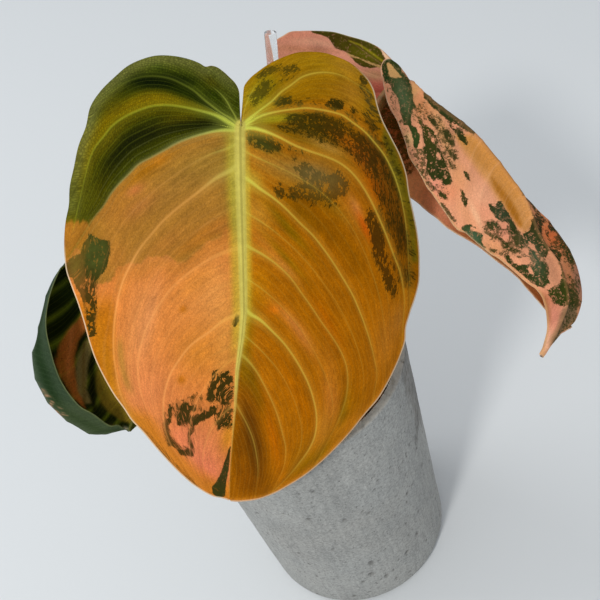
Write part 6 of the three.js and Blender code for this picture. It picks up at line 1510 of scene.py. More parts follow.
def blade_material(name, rib_pale, rim, streak, rough, sheen, cell, mark_depth=0.96, vein_mix=0.75, along_veins=True, gloss=0.03, rib_mix=0.92, rim_mix=0.78, through=0.0, cloud=0.4, bright=None, marks_at=(1.5, 2.6), grainy=1.0):
    s = Shade(name, Sheen_Weight=sheen, Sheen_Roughness=0.4, Sheen_Tint=(0.5, 0.55, 0.3, 1.0), Specular_IOR_Level=gloss, IOR=1.35)
    ground = s.colour_attribute("ground")
    sd, d, w = s.parts(s.attribute("vein"))
    lat, mw, edge = s.parts(s.attribute("rib"))
    sdf, mot, st = s.parts(s.attribute("mark"))
    ph, al, side = s.parts(s.attribute("flow"))
    rag, deep, glow = s.parts(s.attribute("kind"))
    net_k, rim_k, rib_k = s.parts(s.attribute("more"))
    vein_pale = s.colour_attribute("tint")
    ink = s.colour_attribute("ink")
    place = s.place()
    lane = s.mul(side, 47.0)
    flow_fine = s.vector(ph, s.mul(al, 0.16), lane)
    flow_cell = s.vector(ph, s.mul(al, 0.62), lane)
    # the ground: lengthwise streaks, clouds and a fine net
    a = s.noise(flow_fine, 1.15, 3.0, 0.62)
    b = s.noise(s.vector(ph, s.mul(al, 0.30), lane), 0.34, 2.0, 0.55, 0.4)
    c = s.noise(place, 0.085, 3.0, 0.55)
    k = s.add(s.add(s.mul(s.sub(a, 0.5), 1.15 * streak), s.mul(s.sub(b, 0.5), 0.85 * streak)), s.mul(s.sub(c, 0.5), 0.45 * streak))
    col = s.gain(ground, s.add(k, 1.0))
    net = s.cells(place, cell, "DISTANCE_TO_EDGE", 1.0)
    netline = s.step(net, 0.02, 0.13, 1.0, 0.0)
    col = s.mix(s.mul(netline, 0.14 + 0.4 * streak), col, s.gain(col, 0.72))
    tiny = s.noise(s.vector(ph, s.mul(al, 0.5), lane), 2.6, 3.0, 0.7)
    col = s.gain(col, s.add(1.0, s.mul(s.sub(tiny, 0.5), 1.5 * streak * grainy)))
    speck = s.noise(place, 1.9, 2.0, 0.7)
    col = s.gain(col, s.add(1.0, s.mul(s.sub(speck, 0.5), 0.55 * grainy)))
    # a quilt of small cells with pale middles, where the blade is green
    grid = s.vector(s.mul(ph, 1.05), s.mul(al, 0.95), lane)
    wall = s.cells(grid, 1.02, "DISTANCE_TO_EDGE", 0.55)
    heart = s.cells(grid, 1.02, "F1", 0.55)
    pick0 = s.cell_value(grid, 1.02, 0.55)
    col = s.mix(s.mul(s.mul(s.step(wall, 0.04, 0.22, 1.0, 0.0), net_k), 0.52), col, s.gain(col, 0.42))
    col = s.mix(s.mul(s.mul(s.step(heart, 0.10, 0.42, 1.0, 0.0), net_k), s.add(0.06, s.mul(pick0, 0.42))), col, s.add_colour(s.gain(col, 1.7), lin(30, 24, 4)))
    # thin parallel veins between the larger ones
    wander = s.noise(s.vector(ph, s.mul(al, 0.10), lane), 0.5, 1.0, 0.5)
    rule = s.math("FRACT", s.add(s.mul(ph, 0.52), s.mul(wander, 0.5)))
    thin = s.step(s.size(s.sub(rule, 0.5)), 0.02, 0.16, 1.0, 0.0)
    col = s.mix(s.mul(thin, 0.07), col, vein_pale)
    # pigment marks: broken off along small cells
    where = flow_cell if along_veins else place
    v1 = s.cell_value(where, marks_at[0])
    v2 = s.cell_value(where, marks_at[1])
    v3 = s.noise(where, 0.42, 3.0, 0.6)
    v4 = s.noise(where, 2.6, 2.0, 0.6)
    wob = s.add(s.mul(s.sub(v1, 0.5), 2.6), s.add(s.mul(s.sub(v3, 0.5), 5.0), s.mul(s.sub(v2, 0.5), 1.6)))
    body = s.step(s.add(sdf, s.mul(wob, rag)), -0.20, 0.24)
    holes = s.mul(s.step(s.add(v1, s.mul(v2, 0.4)), 1.02, 1.14), s.mul(rag, 1.6))
    body = s.mul(s.mul(body, deep), s.sub(1.0, s.least(holes, 0.8)))
    level = s.add(mot, s.mul(s.sub(v3, 0.5), 0.95))
    pick = s.add(s.mul(v1, 0.46), s.add(s.mul(v2, 0.34), s.mul(v4, 0.16)))
    spot = s.step(s.sub(level, s.add(pick, 0.04)), -0.03, 0.06)
    spot = s.mul(spot, s.step(mot, 0.02, 0.14))
    veil_ = s.mul(s.step(s.add(mot, s.mul(s.sub(v3, 0.5), 1.1)), 0.12, 0.85), cloud)
    spot = s.mul(spot, s.add(0.72, s.mul(v2, 0.28)))
    marks = s.most(s.most(body, spot), veil_)
    grain = s.add(0.86, s.mul(a, 0.28))
    darkc = s.gain(ink, s.mul(grain, s.add(0.55, s.mul(s.noise(place, 0.5, 3.0, 0.6), 0.9))))
    col = s.mix(s.mul(marks, mark_depth), col, darkc)
    # the veins
    dist = s.most(s.size(sd), s.sub(d, 1.3))
    core = s.mul(s.step(s.math("DIVIDE", dist, s.most(w, 0.12)), 0.10, 1.15, 1.0, 0.0), st)
    halo = s.mul(s.step(s.math("DIVIDE", dist, s.most(w, 0.12)), 0.4, 4.4, 1.0, 0.0), st)
    shown = s.sub(1.0, s.mul(marks, through))
    pale = s.mix(s.mul(glow, 0.9), vein_pale, bright or vein_pale)
    col = s.mix(s.mul(s.mul(halo, s.add(0.20, s.mul(glow, 0.25))), shown), col, s.mix(0.5, s.gain(ground, 1.35), pale))
    col = s.mix(s.mul(s.mul(core, s.least(s.add(vein_mix, s.mul(glow, 0.3)), 1.0)), shown), col, s.mix(s.mul(s.sub(1.0, glow), 0.35), pale, s.gain(ground, 1.7)))
    # the midrib
    q = s.math("DIVIDE", lat, s.most(mw, 0.15))
    rib = s.step(q, 0.52, 1.25, 1.0, 0.0)
    ribc = s.mix(s.step(s.noise(s.vector(ph, s.mul(al, 1.0), place), 0.5), 0.3, 0.7), rib_pale, tuple(v * 0.86 for v in rib_pale))
    ribc = s.mix(s.step(q, 0.08, 0.30, 0.55, 0.0), ribc, tuple(v * 0.36 for v in rib_pale))
    ribc = s.mix(s.mul(s.step(s.size(s.sub(q, 0.62)), 0.02, 0.16, 1.0, 0.0), 0.14), ribc, tuple(v * 0.5 for v in rib_pale))
    # painted light and shade: the midrib is a little lighter on the side -1 half and darker on the side +1 half (the
    # big blade's left and right), as if lit from the left
    ribc = s.gain(ribc, s.sub(0.95, s.mul(side, 0.07)))
    soft = s.mul(s.step(q, 1.0, 1.9, 1.0, 0.0), 0.16)
    col = s.mix(s.mul(s.most(s.mul(rib, rib_mix), soft), rib_k), col, ribc)
    # the thin pale margin
    col = s.mix(s.mul(s.step(edge, 0.26, 0.66, rim_mix, 0.0), rim_k), col, rim)
    s.join(col, s.b.inputs["Base Color"])
    s.join(s.add(rough, s.add(s.mul(s.sub(a, 0.5), 0.16), s.mul(marks, 0.04))), s.b.inputs["Roughness"])
    fine = s.add(s.mul(a, 0.5), s.add(s.mul(s.noise(place, 1.6, 3.0, 0.6), 0.5), s.mul(netline, -0.35)))
    s.bump(s.add(fine, s.mul(core, -0.5)), 0.20, 0.55)
    return s.mat


def margin_material(name, pale, deep):
    s = Shade(name, Roughness=0.5, Specular_IOR_Level=0.4)
    n = s.noise(s.place(), 0.22, 3.0, 0.6)
    s.join(s.mix(s.step(n, 0.35, 0.68), pale, deep), s.b.inputs["Base Color"])
    s.bump(s.noise(s.place(), 2.0, 2.0, 0.6), 0.08, 0.5)
    return s.mat


def skin_material(name, base, second, stripe, pale, rough=0.42):
    """Skin of stems and stalks: streaked lengthwise, with pores. Uses the piece's own length and round coordinates."""
    s = Shade(name, Specular_IOR_Level=0.45, Sheen_Weight=0.05)
    run, turn, ring = s.parts(s.attribute("tube"))
    lane = s.vector(s.math("COSINE", turn), s.math("SINE", turn), s.mul(run, 0.02))
    streaks = s.noise(lane, 3.4, 4.0, 0.6)
    cloud = s.noise(s.place(), 0.12, 3.0, 0.55)
    col = s.mix(s.step(s.add(streaks, s.mul(s.sub(cloud, 0.5), 0.7)), 0.36, 0.66), base, second)
    fleck = s.cells(s.vector(s.mul(s.math("COSINE", turn), 3.4), s.mul(s.math("SINE", turn), 3.4), s.mul(run, 0.34)), 1.25)
    col = s.mix(s.mul(s.step(fleck, 0.08, 0.24, 1.0, 0.0), 0.6), col, pale)
    col = s.mix(s.mul(s.step(streaks, 0.60, 0.72), 0.5), col, stripe)
    col = s.mix(s.mul(ring, 0.75), col, stripe)
    s.join(col, s.b.inputs["Base Color"])
    s.join(s.add(rough, s.mul(s.sub(cloud, 0.5), 0.2)), s.b.inputs["Roughness"])
    s.bump(s.add(s.mul(streaks, 0.7), s.mul(s.noise(s.place(), 1.8, 3.0, 0.6), 0.4)), 0.25, 0.6)
    return s.mat


def concrete_material():
    s = Shade("concrete_cast", Specular_IOR_Level=0.28)
    p = s.place()
    x, y, z = s.parts(p)
    grain = s.noise(p, 0.62, 4.0, 0.80)
    speck = s.noise(p, 0.95, 2.0, 0.6)
    cloud = s.noise(p, 0.045, 4.0, 0.6)
    run = s.noise(s.vector(s.mul(x, 1.0), s.mul(y, 1.0), s.mul(z, 0.10)), 0.42, 3.0, 0.6)
    col = s.mix(s.step(cloud, 0.30, 0.72), lin(153, 154, 151), lin(161, 161, 157))
    col = s.gain(col, s.add(1.0, s.add(s.mul(s.sub(run, 0.5), 0.42), s.mul(s.sub(grain, 0.5), 1.55))))
    fine = s.noise(p, 1.1, 2.0, 0.7)
    col = s.gain(col, s.add(1.0, s.mul(s.sub(fine, 0.5), 0.5)))
    col = s.mix(s.step(speck, 0.60, 0.68, 0.0, 0.42), col, lin(188, 187, 182))
    col = s.mix(s.step(speck, 0.40, 0.32, 0.0, 0.50), col, lin(96, 95, 92))
    # sand grains and air holes, the holes painted dark as painted shade in the dents
    hole = s.cells(p, 0.30)
    pick = s.cell_value(p, 0.30)
    pit = s.mul(s.step(hole, 0.07, 0.15, 1.0, 0.0), s.step(pick, 0.62, 0.64))
    hole2 = s.cells(s.vector(s.add(x, 13.7), y, z), 0.12)
    pick2 = s.cell_value(s.vector(s.add(x, 13.7), y, z), 0.12)
    pit2 = s.mul(s.step(hole2, 0.05, 0.12, 1.0, 0.0), s.step(pick2, 0.80, 0.82))
    both = s.most(pit, pit2)
    col = s.mix(s.mul(both, 0.62), col, lin(66, 62, 58))
    # the mesh's marks: channel 0 darkens the pits (painted shade in the dents), channel 1 makes the rim's top face
    # paler, channel 2 darkens blotches, the painted leaf shadow with some stain below the rim, and the inside wall
    # (painted shade)
    deep = s.parts(s.attribute("marks_and_shade"))
    col = s.mix(s.mul(deep[0], 0.75), col, lin(66, 63, 58))
    col = s.mix(s.mul(deep[1], 0.65), col, lin(196, 190, 178))
    col = s.mix(s.mul(deep[2], 0.72), col, s.mix(s.step(run, 0.4, 0.6), lin(66, 62, 58), lin(96, 90, 82)))
    s.join(col, s.b.inputs["Base Color"])
    s.join(s.add(0.78, s.mul(s.sub(grain, 0.5), 0.25)), s.b.inputs["Roughness"])
    s.bump(s.sub(s.add(s.mul(grain, 0.7), s.mul(speck, 0.35)), s.mul(both, 1.2)), 0.30, 0.7)
    return s.mat


def soil_material():
    s = Shade("bark_and_peat", Roughness=0.9, Specular_IOR_Level=0.2)
    p = s.place()
    kind = s.parts(s.attribute("chip"))
    n = s.noise(p, 0.9, 5.0, 0.7)
    col = s.mix(s.step(n, 0.35, 0.7), lin(34, 24, 17), lin(78, 56, 38))
    grain = s.noise(s.place(1.0, 0.25, 1.0), 1.6, 4.0, 0.65)
    bark = s.mix(s.step(grain, 0.35, 0.65), lin(88, 56, 34), lin(146, 102, 66))
    bark = s.gain(bark, s.add(0.55, kind[1]))
    col = s.mix(kind[0], col, bark)
    col = s.mix(kind[2], col, s.mix(s.step(n, 0.3, 0.7), lin(190, 186, 176), lin(226, 224, 216)))
    s.join(col, s.b.inputs["Base Color"])
    s.bump(s.add(n, s.mul(grain, 0.5)), 0.5, 0.9)
    return s.mat


def rod_material():
    s = Shade("clear_acrylic", Base_Color=(0.96, 0.97, 0.98, 1.0), IOR=1.22, Transmission_Weight=0.86, Specular_IOR_Level=0.6)
    p = s.place(1.0, 1.0, 0.10)
    haze = s.noise(p, 0.8, 3.0, 0.6)
    s.join(s.step(haze, 0.35, 0.85, 0.06, 0.22), s.b.inputs["Roughness"])
    s.bump(s.noise(s.place(1.0, 1.0, 0.06), 0.5, 2.0, 0.5), 0.05, 0.4)
    return s.mat


def tie_material():
    s = Shade("soft_tie", Sheen_Weight=0.3, Sheen_Roughness=0.5, Specular_IOR_Level=0.3)
    run, turn, ring = s.parts(s.attribute("tube"))
    weave = s.cells(s.vector(s.mul(run, 1.0), s.mul(turn, 1.0), 0.0), 1.9, "DISTANCE_TO_EDGE", 0.15)
    col = s.mix(s.step(weave, 0.05, 0.3), lin(24, 34, 22), lin(52, 70, 44))
    s.join(col, s.b.inputs["Base Color"])
    s.join(s.step(weave, 0.0, 0.3, 0.8, 0.6), s.b.inputs["Roughness"])
    s.bump(weave, 0.2, 0.7)
    return s.mat


def floor_material():
    s = Shade("pale_floor", Specular_IOR_Level=0.2)
    n = s.noise(s.place(), 0.0016, 2.0, 0.5)
    s.join(s.mix(n, FLOOR_COLOUR, tuple(v * 0.985 for v in FLOOR_COLOUR)), s.b.inputs["Base Color"])
    s.b.inputs["Roughness"].default_value = 0.85
    return s.mat


# ---------------------------------------------------------------- tubes
def path_points(P, steps):
    P = np.asarray(P, float)
    L = cumlen(P)
    return hermite(L / L[-1], P, np.linspace(0, 1, steps)), np.linspace(0, 1, steps) * L[-1]


def tube(name, P, radii, sides, steps, shape=None, mats=(), cap=5, attr=None):
    """A closed, round-ended limb along a path; shape(u, angle, length) adds to its radius (mm)."""
    C, run = path_points(P, steps)
    R = hermite(np.linspace(0, 1, len(radii)), np.array(radii, float)[:, None], np.linspace(0, 1, steps))[:, 0]
    T = np.gradient(C, axis=0)
    T /= np.linalg.norm(T, axis=1, keepdims=True)
    n = np.cross(T[0], [0.31, 0.92, 0.23])
    n /= np.linalg.norm(n)
    frames = []
    for i in range(steps):
        n = n - T[i] * (n @ T[i])
        n /= np.linalg.norm(n)
        frames.append((n, np.cross(T[i], n)))
    rows = []      # centre, frame, radius, run
    for k in range(cap, 0, -1):
        a = k / (cap + 0.0) * math.pi / 2
        rows.append((C[0] - T[0] * R[0] * 0.8 * math.sin(a), frames[0], R[0] * max(math.cos(a), 0.02), -R[0] * math.sin(a), 0.0))
    for i in range(steps):
        rows.append((C[i], frames[i], R[i], run[i], i / (steps - 1)))
    for k in range(1, cap + 1):
        a = k / (cap + 0.0) * math.pi / 2
        rows.append((C[-1] + T[-1] * R[-1] * 0.8 * math.sin(a), frames[-1], R[-1] * max(math.cos(a), 0.02), run[-1] + R[-1] * math.sin(a), 1.0))
    ang = np.linspace(0, 2 * math.pi, sides, endpoint=False)
    V, A = [], []
    for c, (n1, n2), r, s_, u in rows:
        rr = np.full(sides, r)
        mark = np.zeros(sides)
        if shape is not None:
            add, mark = shape(u, ang, s_)
            rr = rr + add * min(1.0, r / max(R.max() * 0.4, 1e-6))
            mark = np.broadcast_to(mark, (sides,))
        V.append(c + np.outer(np.cos(ang) * rr, n1) + np.outer(np.sin(ang) * rr, n2))
        A.append(np.stack([np.full(sides, s_), ang, mark], -1))
    m = len(rows)
    V = np.concatenate(V + [np.array([rows[0][0], rows[-1][0]])])
    A = np.concatenate(A + [np.array([[rows[0][3], 0, 0], [rows[-1][3], 0, 0]])])
    faces = []
    for i in range(m - 1):
        for j in range(sides):
            k = (j + 1) % sides
            faces.append((i * sides + j, i * sides + k, (i + 1) * sides + k, (i + 1) * sides + j))
    for j in range(sides):
        k = (j + 1) % sides
        faces.append((m * sides, k, j))
        faces.append((m * sides + 1, (m - 1) * sides + j, (m - 1) * sides + k))
    ob = new_mesh(name, V, faces)
    put(ob.data, "tube", A)
    for mat in mats:
        ob.data.materials.append(mat)
    return ob


def lathe(name, profile, sides, offset=None, mats=()):
    """A turned body from (r, z) points that start and end on the axis; offset(P, row) moves points (mm)."""
    prof = np.asarray(profile, float)
    ang = np.linspace(0, 2 * math.pi, sides, endpoint=False)
    body = prof[1:-1]
    P = np.stack([body[:, 0][:, None] * np.cos(ang), body[:, 0][:, None] * np.sin(ang), np.repeat(body[:, 1][:, None], sides, 1)], -1)
    extra = None
    if offset is not None:
        P, extra = offset(P, body, ang)
    n, m = P.shape[:2]
    idx = np.arange(n * m).reshape(n, m)
    nxt = np.roll(idx, -1, 1)
    quads = np.stack([idx[:-1], nxt[:-1], nxt[1:], idx[1:]], -1).reshape(-1, 4)
    V = np.concatenate([P.reshape(-1, 3), [[0, 0, prof[0, 1]], [0, 0, prof[-1, 1]]]])
    a, b = n * m, n * m + 1
    caps = np.concatenate([np.stack([np.full(m, a), np.roll(idx[0], -1), idx[0]], -1), np.stack([np.full(m, b), idx[-1], np.roll(idx[-1], -1)], -1)])
    F_ = np.concatenate([tri(quads), caps])
    ob = new_mesh(name, V, F_)
    for mat in mats:
        ob.data.materials.append(mat)
    if extra is not None:
        put(ob.data, "marks_and_shade", np.concatenate([extra.reshape(-1, 3), np.zeros((2, 3))]))
    return ob


def spaced(P, gap):
    """Points along a polyline no further than gap apart, its corners kept."""
    out = [P[0]]
    for a, b in zip(P[:-1], P[1:]):
        a, b = np.asarray(a, float), np.asarray(b, float)
        n = max(1, int(math.ceil(np.linalg.norm(b - a) / gap)))
        for k in range(1, n + 1):
            out.append(tuple(a + (b - a) * k / n))
    return out


# ---------------------------------------------------------------- the pot
# where the painted leaf shadow with some stain sits on the pot
SHADOW_AND_STAIN = (-0.30, 92.0)      # heading of its middle, height of its foot


def make_pot(mat):
    rng = np.random.default_rng(41)
    outer = [(0.0, 0.0), (51.0, 0.0), (53.48, 1.16), (55.0, 4.0)]
    wall = spaced([(55.0, 4.0), (59.85, 166.8)], 1.12)[1:]
    lip = [(59.78, 167.25), (59.5, 167.65), (59.15, 167.9), (58.7, 168.0), (57.9, 168.0), (57.1, 168.0), (56.4, 168.0), (55.95, 167.9), (55.65, 167.7), (55.46, 167.35), (55.4, 166.9)]
    inside = spaced([(55.4, 166.9), (54.55, 146.0)], 1.2)[1:] + spaced([(54.55, 146.0), (49.4, 15.0)], 4.5)[1:] + [(48.4, 12.4), (46.8, 10.6), (44.8, 9.4), (42.5, 9.0), (21, 9.0), (0.0, 9.0)]
    foot = [(0.0, 0.0), (18, 0), (36, 0)] + [(47, 0), (51.0, 0.0), (52.3, 0.42), (53.48, 1.16), (54.4, 2.4), (55.0, 4.0)]
    prof = foot + wall + lip + inside
    pits = []
    for _ in range(230):
        r = float(rng.choice([0.55, 0.7, 0.85, 1.05, 1.35, 1.8], p=[0.30, 0.27, 0.2, 0.13, 0.07, 0.03]))
        pits.append((rng.uniform(0, 2 * math.pi), rng.uniform(3, 166.5), r, rng.uniform(0.35, 0.85) * r, rng.uniform(0.7, 1.7)))
    rimpits = [(rng.uniform(0, 2 * math.pi), rng.uniform(56.2, 59.0), rng.uniform(0.5, 1.25)) for _ in range(60)]
    chips = [(rng.uniform(0, 2 * math.pi), rng.uniform(0.9, 2.2), rng.choice([-1, 1])) for _ in range(16)]

    def offset(P, body, ang):
        n, m = P.shape[:2]
        A = np.repeat(ang[None], n, 0)
        Z = P[..., 2]
        R = np.hypot(P[..., 0], P[..., 1])
        marks_and_shade = np.zeros((n, m, 3))
        N = grid_normals(np.concatenate([P, P[:, :1]], 1))[:, :m]
        # which way is out of the body: the profile runs foot, wall, lip, inside
        d = np.gradient(body, axis=0)
        nr, nz = d[:, 1], -d[:, 0]
        L = np.maximum(np.hypot(nr, nz), 1e-9)
        nr, nz = nr / L, nz / L
        out = np.stack([nr[:, None] * np.cos(ang), nr[:, None] * np.sin(ang), np.repeat(nz[:, None], m, 1)], -1)
        q = P / 1.0
        rough = 0.16 * (noise3(q / 9.0, 3) - 0.5) + 0.13 * (noise3(q / 3.1, 4) - 0.5) + 0.10 * (noise3(q / 1.7, 5) - 0.5)
        rough = rough + 0.30 * (noise3(q / 34.0, 6) - 0.5)
        flat = smooth(0.02, 3.0, Z)
        dd = rough * flat
        outerwall = (np.arange(n) < len(foot) + len(wall) - 1)[:, None]
        # pits: dents in the wall, also painted darker as painted shade in the dents
        for a0, z0, r0, depth, tall in pits:
            da = np.abs((A - a0 + math.pi) % (2 * math.pi) - math.pi) * R
            e = np.sqrt((da / r0) ** 2 + ((Z - z0) / (r0 * tall)) ** 2)
            hit = (e < 1.7) & outerwall
            if hit.any():
                w = np.where(hit, 1 - smooth(0.35, 1.35, e), 0)
                dd = dd - w * depth
                marks_and_shade[..., 0] = np.maximum(marks_and_shade[..., 0], w * 0.8)
        # pits in the rim's top, painted darker the same way
        top = Z > 167.3
        for a0, r1, r0 in rimpits:
            da = np.abs((A - a0 + math.pi) % (2 * math.pi) - math.pi) * R
            e = np.hypot(da, R - r1) / r0
            w = np.where(top, 1 - smooth(0.4, 1.3, e), 0)
            dd = dd - w * r0 * 0.6
            marks_and_shade[..., 0] = np.maximum(marks_and_shade[..., 0], w * 0.8)
        for a0, r0, where in chips:
            da = np.abs((A - a0 + math.pi) % (2 * math.pi) - math.pi) * R
            e = np.hypot(da, Z - 168.0) / r0
            edge = (R > 58.4) if where > 0 else (R < 56.6)
            w = np.where((e < 1.4) & edge & (Z > 160), 1 - smooth(0.3, 1.2, e), 0)
            dd = dd - w * 0.5
        # the rim's top face painted paler
        marks_and_shade[..., 1] = smooth(166.6, 167.9, Z) * (R > 55.0) * (0.5 + 0.5 * noise3(q / 2.3, 8))
        marks_and_shade[..., 2] = smooth(0.50, 0.72, noise3(q / np.array([16.0, 16.0, 42.0]), 9)) * 0.14
        # painted shadow of the leaf above, with some stain: a dark patch below the rim, ragged at its foot
        away = np.abs((A - SHADOW_AND_STAIN[0] + math.pi) % (2 * math.pi) - math.pi) * R
        streaky = fbm2(A * 9.0, Z / 26.0, 4, 41)
        shadow_and_stain = smooth(0.0, 9.0, 23.0 + 24 * streaky - away) * smooth(0.0, 14.0, Z - (SHADOW_AND_STAIN[1] + 60 * streaky)) * (Z < 167.5)
        marks_and_shade[..., 2] = np.maximum(marks_and_shade[..., 2], shadow_and_stain * (0.55 + 0.9 * np.clip(noise3(q / 1.6, 44) - 0.3, 0, 1)))
        # painted shade: the inside wall is darkened throughout, standing in for the shade inside the pot
        inner_ = (np.arange(n) > len(foot) + len(wall) + 8)[:, None]
        marks_and_shade[..., 2] = np.where(inner_, 0.5 + 0.5 * noise3(q / 6.0, 10), marks_and_shade[..., 2])
        P = P + out * dd[..., None]
        P[..., 2] = np.maximum(P[..., 2], 0.0)
        return P, marks_and_shade

    ob = lathe("pot_body", prof, 400, offset, (mat,))
    return ob


# ---------------------------------------------------------------- the potting mix
def soil_height(x, y):
    return 150 + 1.5 * np.sin(0.21 * x + 1.1) * np.cos(0.19 * y - 0.4) + 0.9 * np.sin(0.43 * x - 0.31 * y + 2) + 0.6 * np.cos(0.37 * x + 0.52 * y)


def soil_wall(z):
    return np.interp(z, [9.35, 10.8, 12.6, 15.2, 166.9], [42.1, 46.3, 48.0, 49.0, 55.0])


def make_soil(mat):
    rng = np.random.default_rng(7)
    sides = 220
    ang = np.linspace(0, 2 * math.pi, sides, endpoint=False)
    rings = [1.2 + (53.7 - 1.2) * k / 69 for k in range(70)]
    rows = []
    for r in rings:
        x, y = r * np.cos(ang), r * np.sin(ang)
        z = soil_height(x, y) - 0.5
        n = 1.7 * (noise2(x / 4.2, y / 4.2, 2) - 0.5) + 1.3 * (noise2(x / 1.9, y / 1.9, 3) - 0.5) + 2.0 * (noise2(x / 11, y / 11, 4) - 0.5)
        z = z + n * (0.35 + 0.65 * smooth(54, 50, np.full_like(x, r)))
        rows.append(np.stack([x, y, z], -1))
    edge = rows[-1][:, 2]
    for k in range(1, 16):
        f = k / 15
        z = edge * (1 - f) + 15.2 * f
        r = soil_wall(z) + 0.02
        rows.append(np.stack([r * np.cos(ang), r * np.sin(ang), z], -1))
    for r, z in ((48.0, 12.6), (46.3, 10.8), (42.1, 9.35), (20.0, 9.35)):
        rows.append(np.stack([r * np.cos(ang), r * np.sin(ang), np.full(sides, z)], -1))
    P = np.stack(rows)
    n, m = P.shape[:2]
    idx = np.arange(n * m).reshape(n, m)
    nxt = np.roll(idx, -1, 1)
    quads = np.stack([idx[:-1], idx[1:], nxt[1:], nxt[:-1]], -1).reshape(-1, 4)
    V = [P.reshape(-1, 3), np.array([[0, 0, float(P[0, :, 2].mean())], [0, 0, 9.35]])]
    a, b = n * m, n * m + 1
    faces = [tri(quads), np.stack([np.full(m, a), idx[0], np.roll(idx[0], -1)], -1), np.stack([np.full(m, b), np.roll(idx[-1], -1), idx[-1]], -1)]
    A = [np.zeros((n * m + 2, 3))]
    # bark chips, and a few pale grains of pumice
    dirs, chipf = ball(2)
    count = n * m + 2
    for k in range(330):
        r = 51.2 * math.sqrt(rng.uniform(0, 1))
        t = rng.uniform(0, 2 * math.pi)
        x, y = r * math.cos(t), r * math.sin(t)
        pale = k % 7 == 0
        if pale:
            size = rng.uniform(0.9, 1.9) * np.array([1, rng.uniform(0.8, 1), rng.uniform(0.7, 1)])
        else:
            size = np.array([rng.uniform(2.2, 5.2), rng.uniform(1.3, 2.6), rng.uniform(0.5, 1.1)])
        if r + size[0] > 53.2:
            size = size * max(0.35, (53.2 - r) / size[0])
        bumps = 1 + 0.5 * (noise3(dirs * 1.6 + k * 3.1, k) - 0.5) + 0.25 * (noise3(dirs * 4.1 + k, k + 1) - 0.5)
        d = np.sign(dirs) * np.abs(dirs) ** (0.72 if not pale else 1.0)
        v = d * bumps[:, None] * size
        yaw, pitch, roll = rng.uniform(0, 2 * math.pi), rng.uniform(-0.5, 0.5), rng.uniform(-0.4, 0.4)
        Rm = np.array(Matrix.Rotation(yaw, 3, "Z") @ Matrix.Rotation(pitch, 3, "Y") @ Matrix.Rotation(roll, 3, "X"))
        v = v @ Rm.T + np.array([x, y, float(soil_height(np.float64(x), np.float64(y))) + rng.uniform(-0.5, 0.9)])
        V.append(v)
        faces.append(chipf + count)
        A.append(np.tile([0.0 if pale else 1.0, rng.uniform(0.2, 0.9), 1.0 if pale else 0.0], (len(v), 1)))
        count += len(v)
    ob = new_mesh("potting_mix_top", np.concatenate(V), np.concatenate(faces))
    put(ob.data, "chip", np.concatenate(A))
    ob.data.materials.append(mat)
    return ob


def ball(level):
    """Directions evenly over a sphere, with faces: an octahedron divided a few times."""
    V = [(1, 0, 0), (-1, 0, 0), (0, 1, 0), (0, -1, 0), (0, 0, 1), (0, 0, -1)]
    Fc = [(0, 2, 4), (2, 1, 4), (1, 3, 4), (3, 0, 4), (2, 0, 5), (1, 2, 5), (3, 1, 5), (0, 3, 5)]
    V = [np.array(v, float) for v in V]
    for _ in range(level):
        seen = {}
        new = []

        def mid(a, b):
            key = (min(a, b), max(a, b))
            if key not in seen:
                p = V[a] + V[b]
                V.append(p / np.linalg.norm(p))
                seen[key] = len(V) - 1
            return seen[key]
        for a, b, c in Fc:
            ab, bc, ca = mid(a, b), mid(b, c), mid(c, a)
            new += [(a, ab, ca), (ab, b, bc), (ca, bc, c), (ab, bc, ca)]
        Fc = new
    return np.array(V), np.array(Fc)


# ---------------------------------------------------------------- stem, stalks, roots, sheath
def rod_at(z):
    f = (z - 150) / 163.2
    return np.array([8 + 38.3 * f, 28 + 22.2 * f, z])


def beside(z):
    return rod_at(z) - np.array([5.9, 6.4, 0])


STEM = [(0, 5, 139), (1.4, 9.5, 150), (4.4, 17, 162), beside(175), beside(186), beside(199), beside(212)]
STEM_R = [4.6, 5.2, 5.4, 5.1, 5.4, 5.0, 5.3, 4.9, 3.6]
STALK = dict(
    main=([(10.5, 21, 187), (9.6, 15.5, 199), (11.5, 14.2, 222), (16.2, 17.5, 255), (19.2, 20.5, 283), (19.8, 16.4, 293.4), (19.8, 13.9, 297.2)], [3.7, 3.4, 3.1, 2.9, 2.7, 2.6, 2.3]),
    right=([(16.5, 30, 208), (24, 27.5, 219), (38, 31, 236), (56.3, 35, 246), (70.9, 41.1, 251.3), (81, 47.5, 255.4), (87.7, 52, 258.4), (93.3, 54.6, 259.5), (98.2, 55.5, 259.6)], [3.4, 3.2, 2.9, 2.7, 2.5, 2.4, 2.1]),
    left=([(5, 22.5, 171), (-2, 24.5, 182), (-9.5, 31, 199), (-19, 41.5, 223), (-27.5, 49.5, 241), (-31.2, 49.2, 246.4), (-32.4, 46.4, 246.0)], [3.2, 3.0, 2.7, 2.4, 2.2, 2.1, 1.8]),
)
ROOT = dict(
    left=[(4.2, 16, 163), (-3.5, 12.5, 164), (-9.5, 8.5, 158), (-12.5, 5.5, 150), (-14, 4, 141)],
    right=[(8.4, 21.5, 166), (15, 16, 167), (20.5, 12, 162.5), (23, 9.8, 153), (23.8, 8.6, 141)],
)


def stem_shape(u, ang, run):
    nodes = (10, 23, 34, 45, 57, 68, 77)
    add = 0.16 * (noise3(np.stack([np.cos(ang) * 2.2, np.sin(ang) * 2.2, np.full_like(ang, run * 0.32)], -1), 12) - 0.5)
    ring = 0.0
    for k, n in enumerate(nodes):
        tilt = 1.1 * np.sin(ang + k * 2.1)
        e = run - n - tilt
        add = add + 0.42 * np.exp(-(e / 0.9) ** 2) - 0.28 * np.exp(-((e - 1.7) / 0.8) ** 2)
        ring = np.maximum(ring, np.exp(-(e / 0.6) ** 2))
        # dormant buds
        a0 = k * 2.4
        da = np.abs((ang - a0 + math.pi) % (2 * math.pi) - math.pi)
        add = add + 0.7 * np.exp(-(da / 0.35) ** 2 - ((run - n - 2.6) / 1.6) ** 2)
    return add, ring


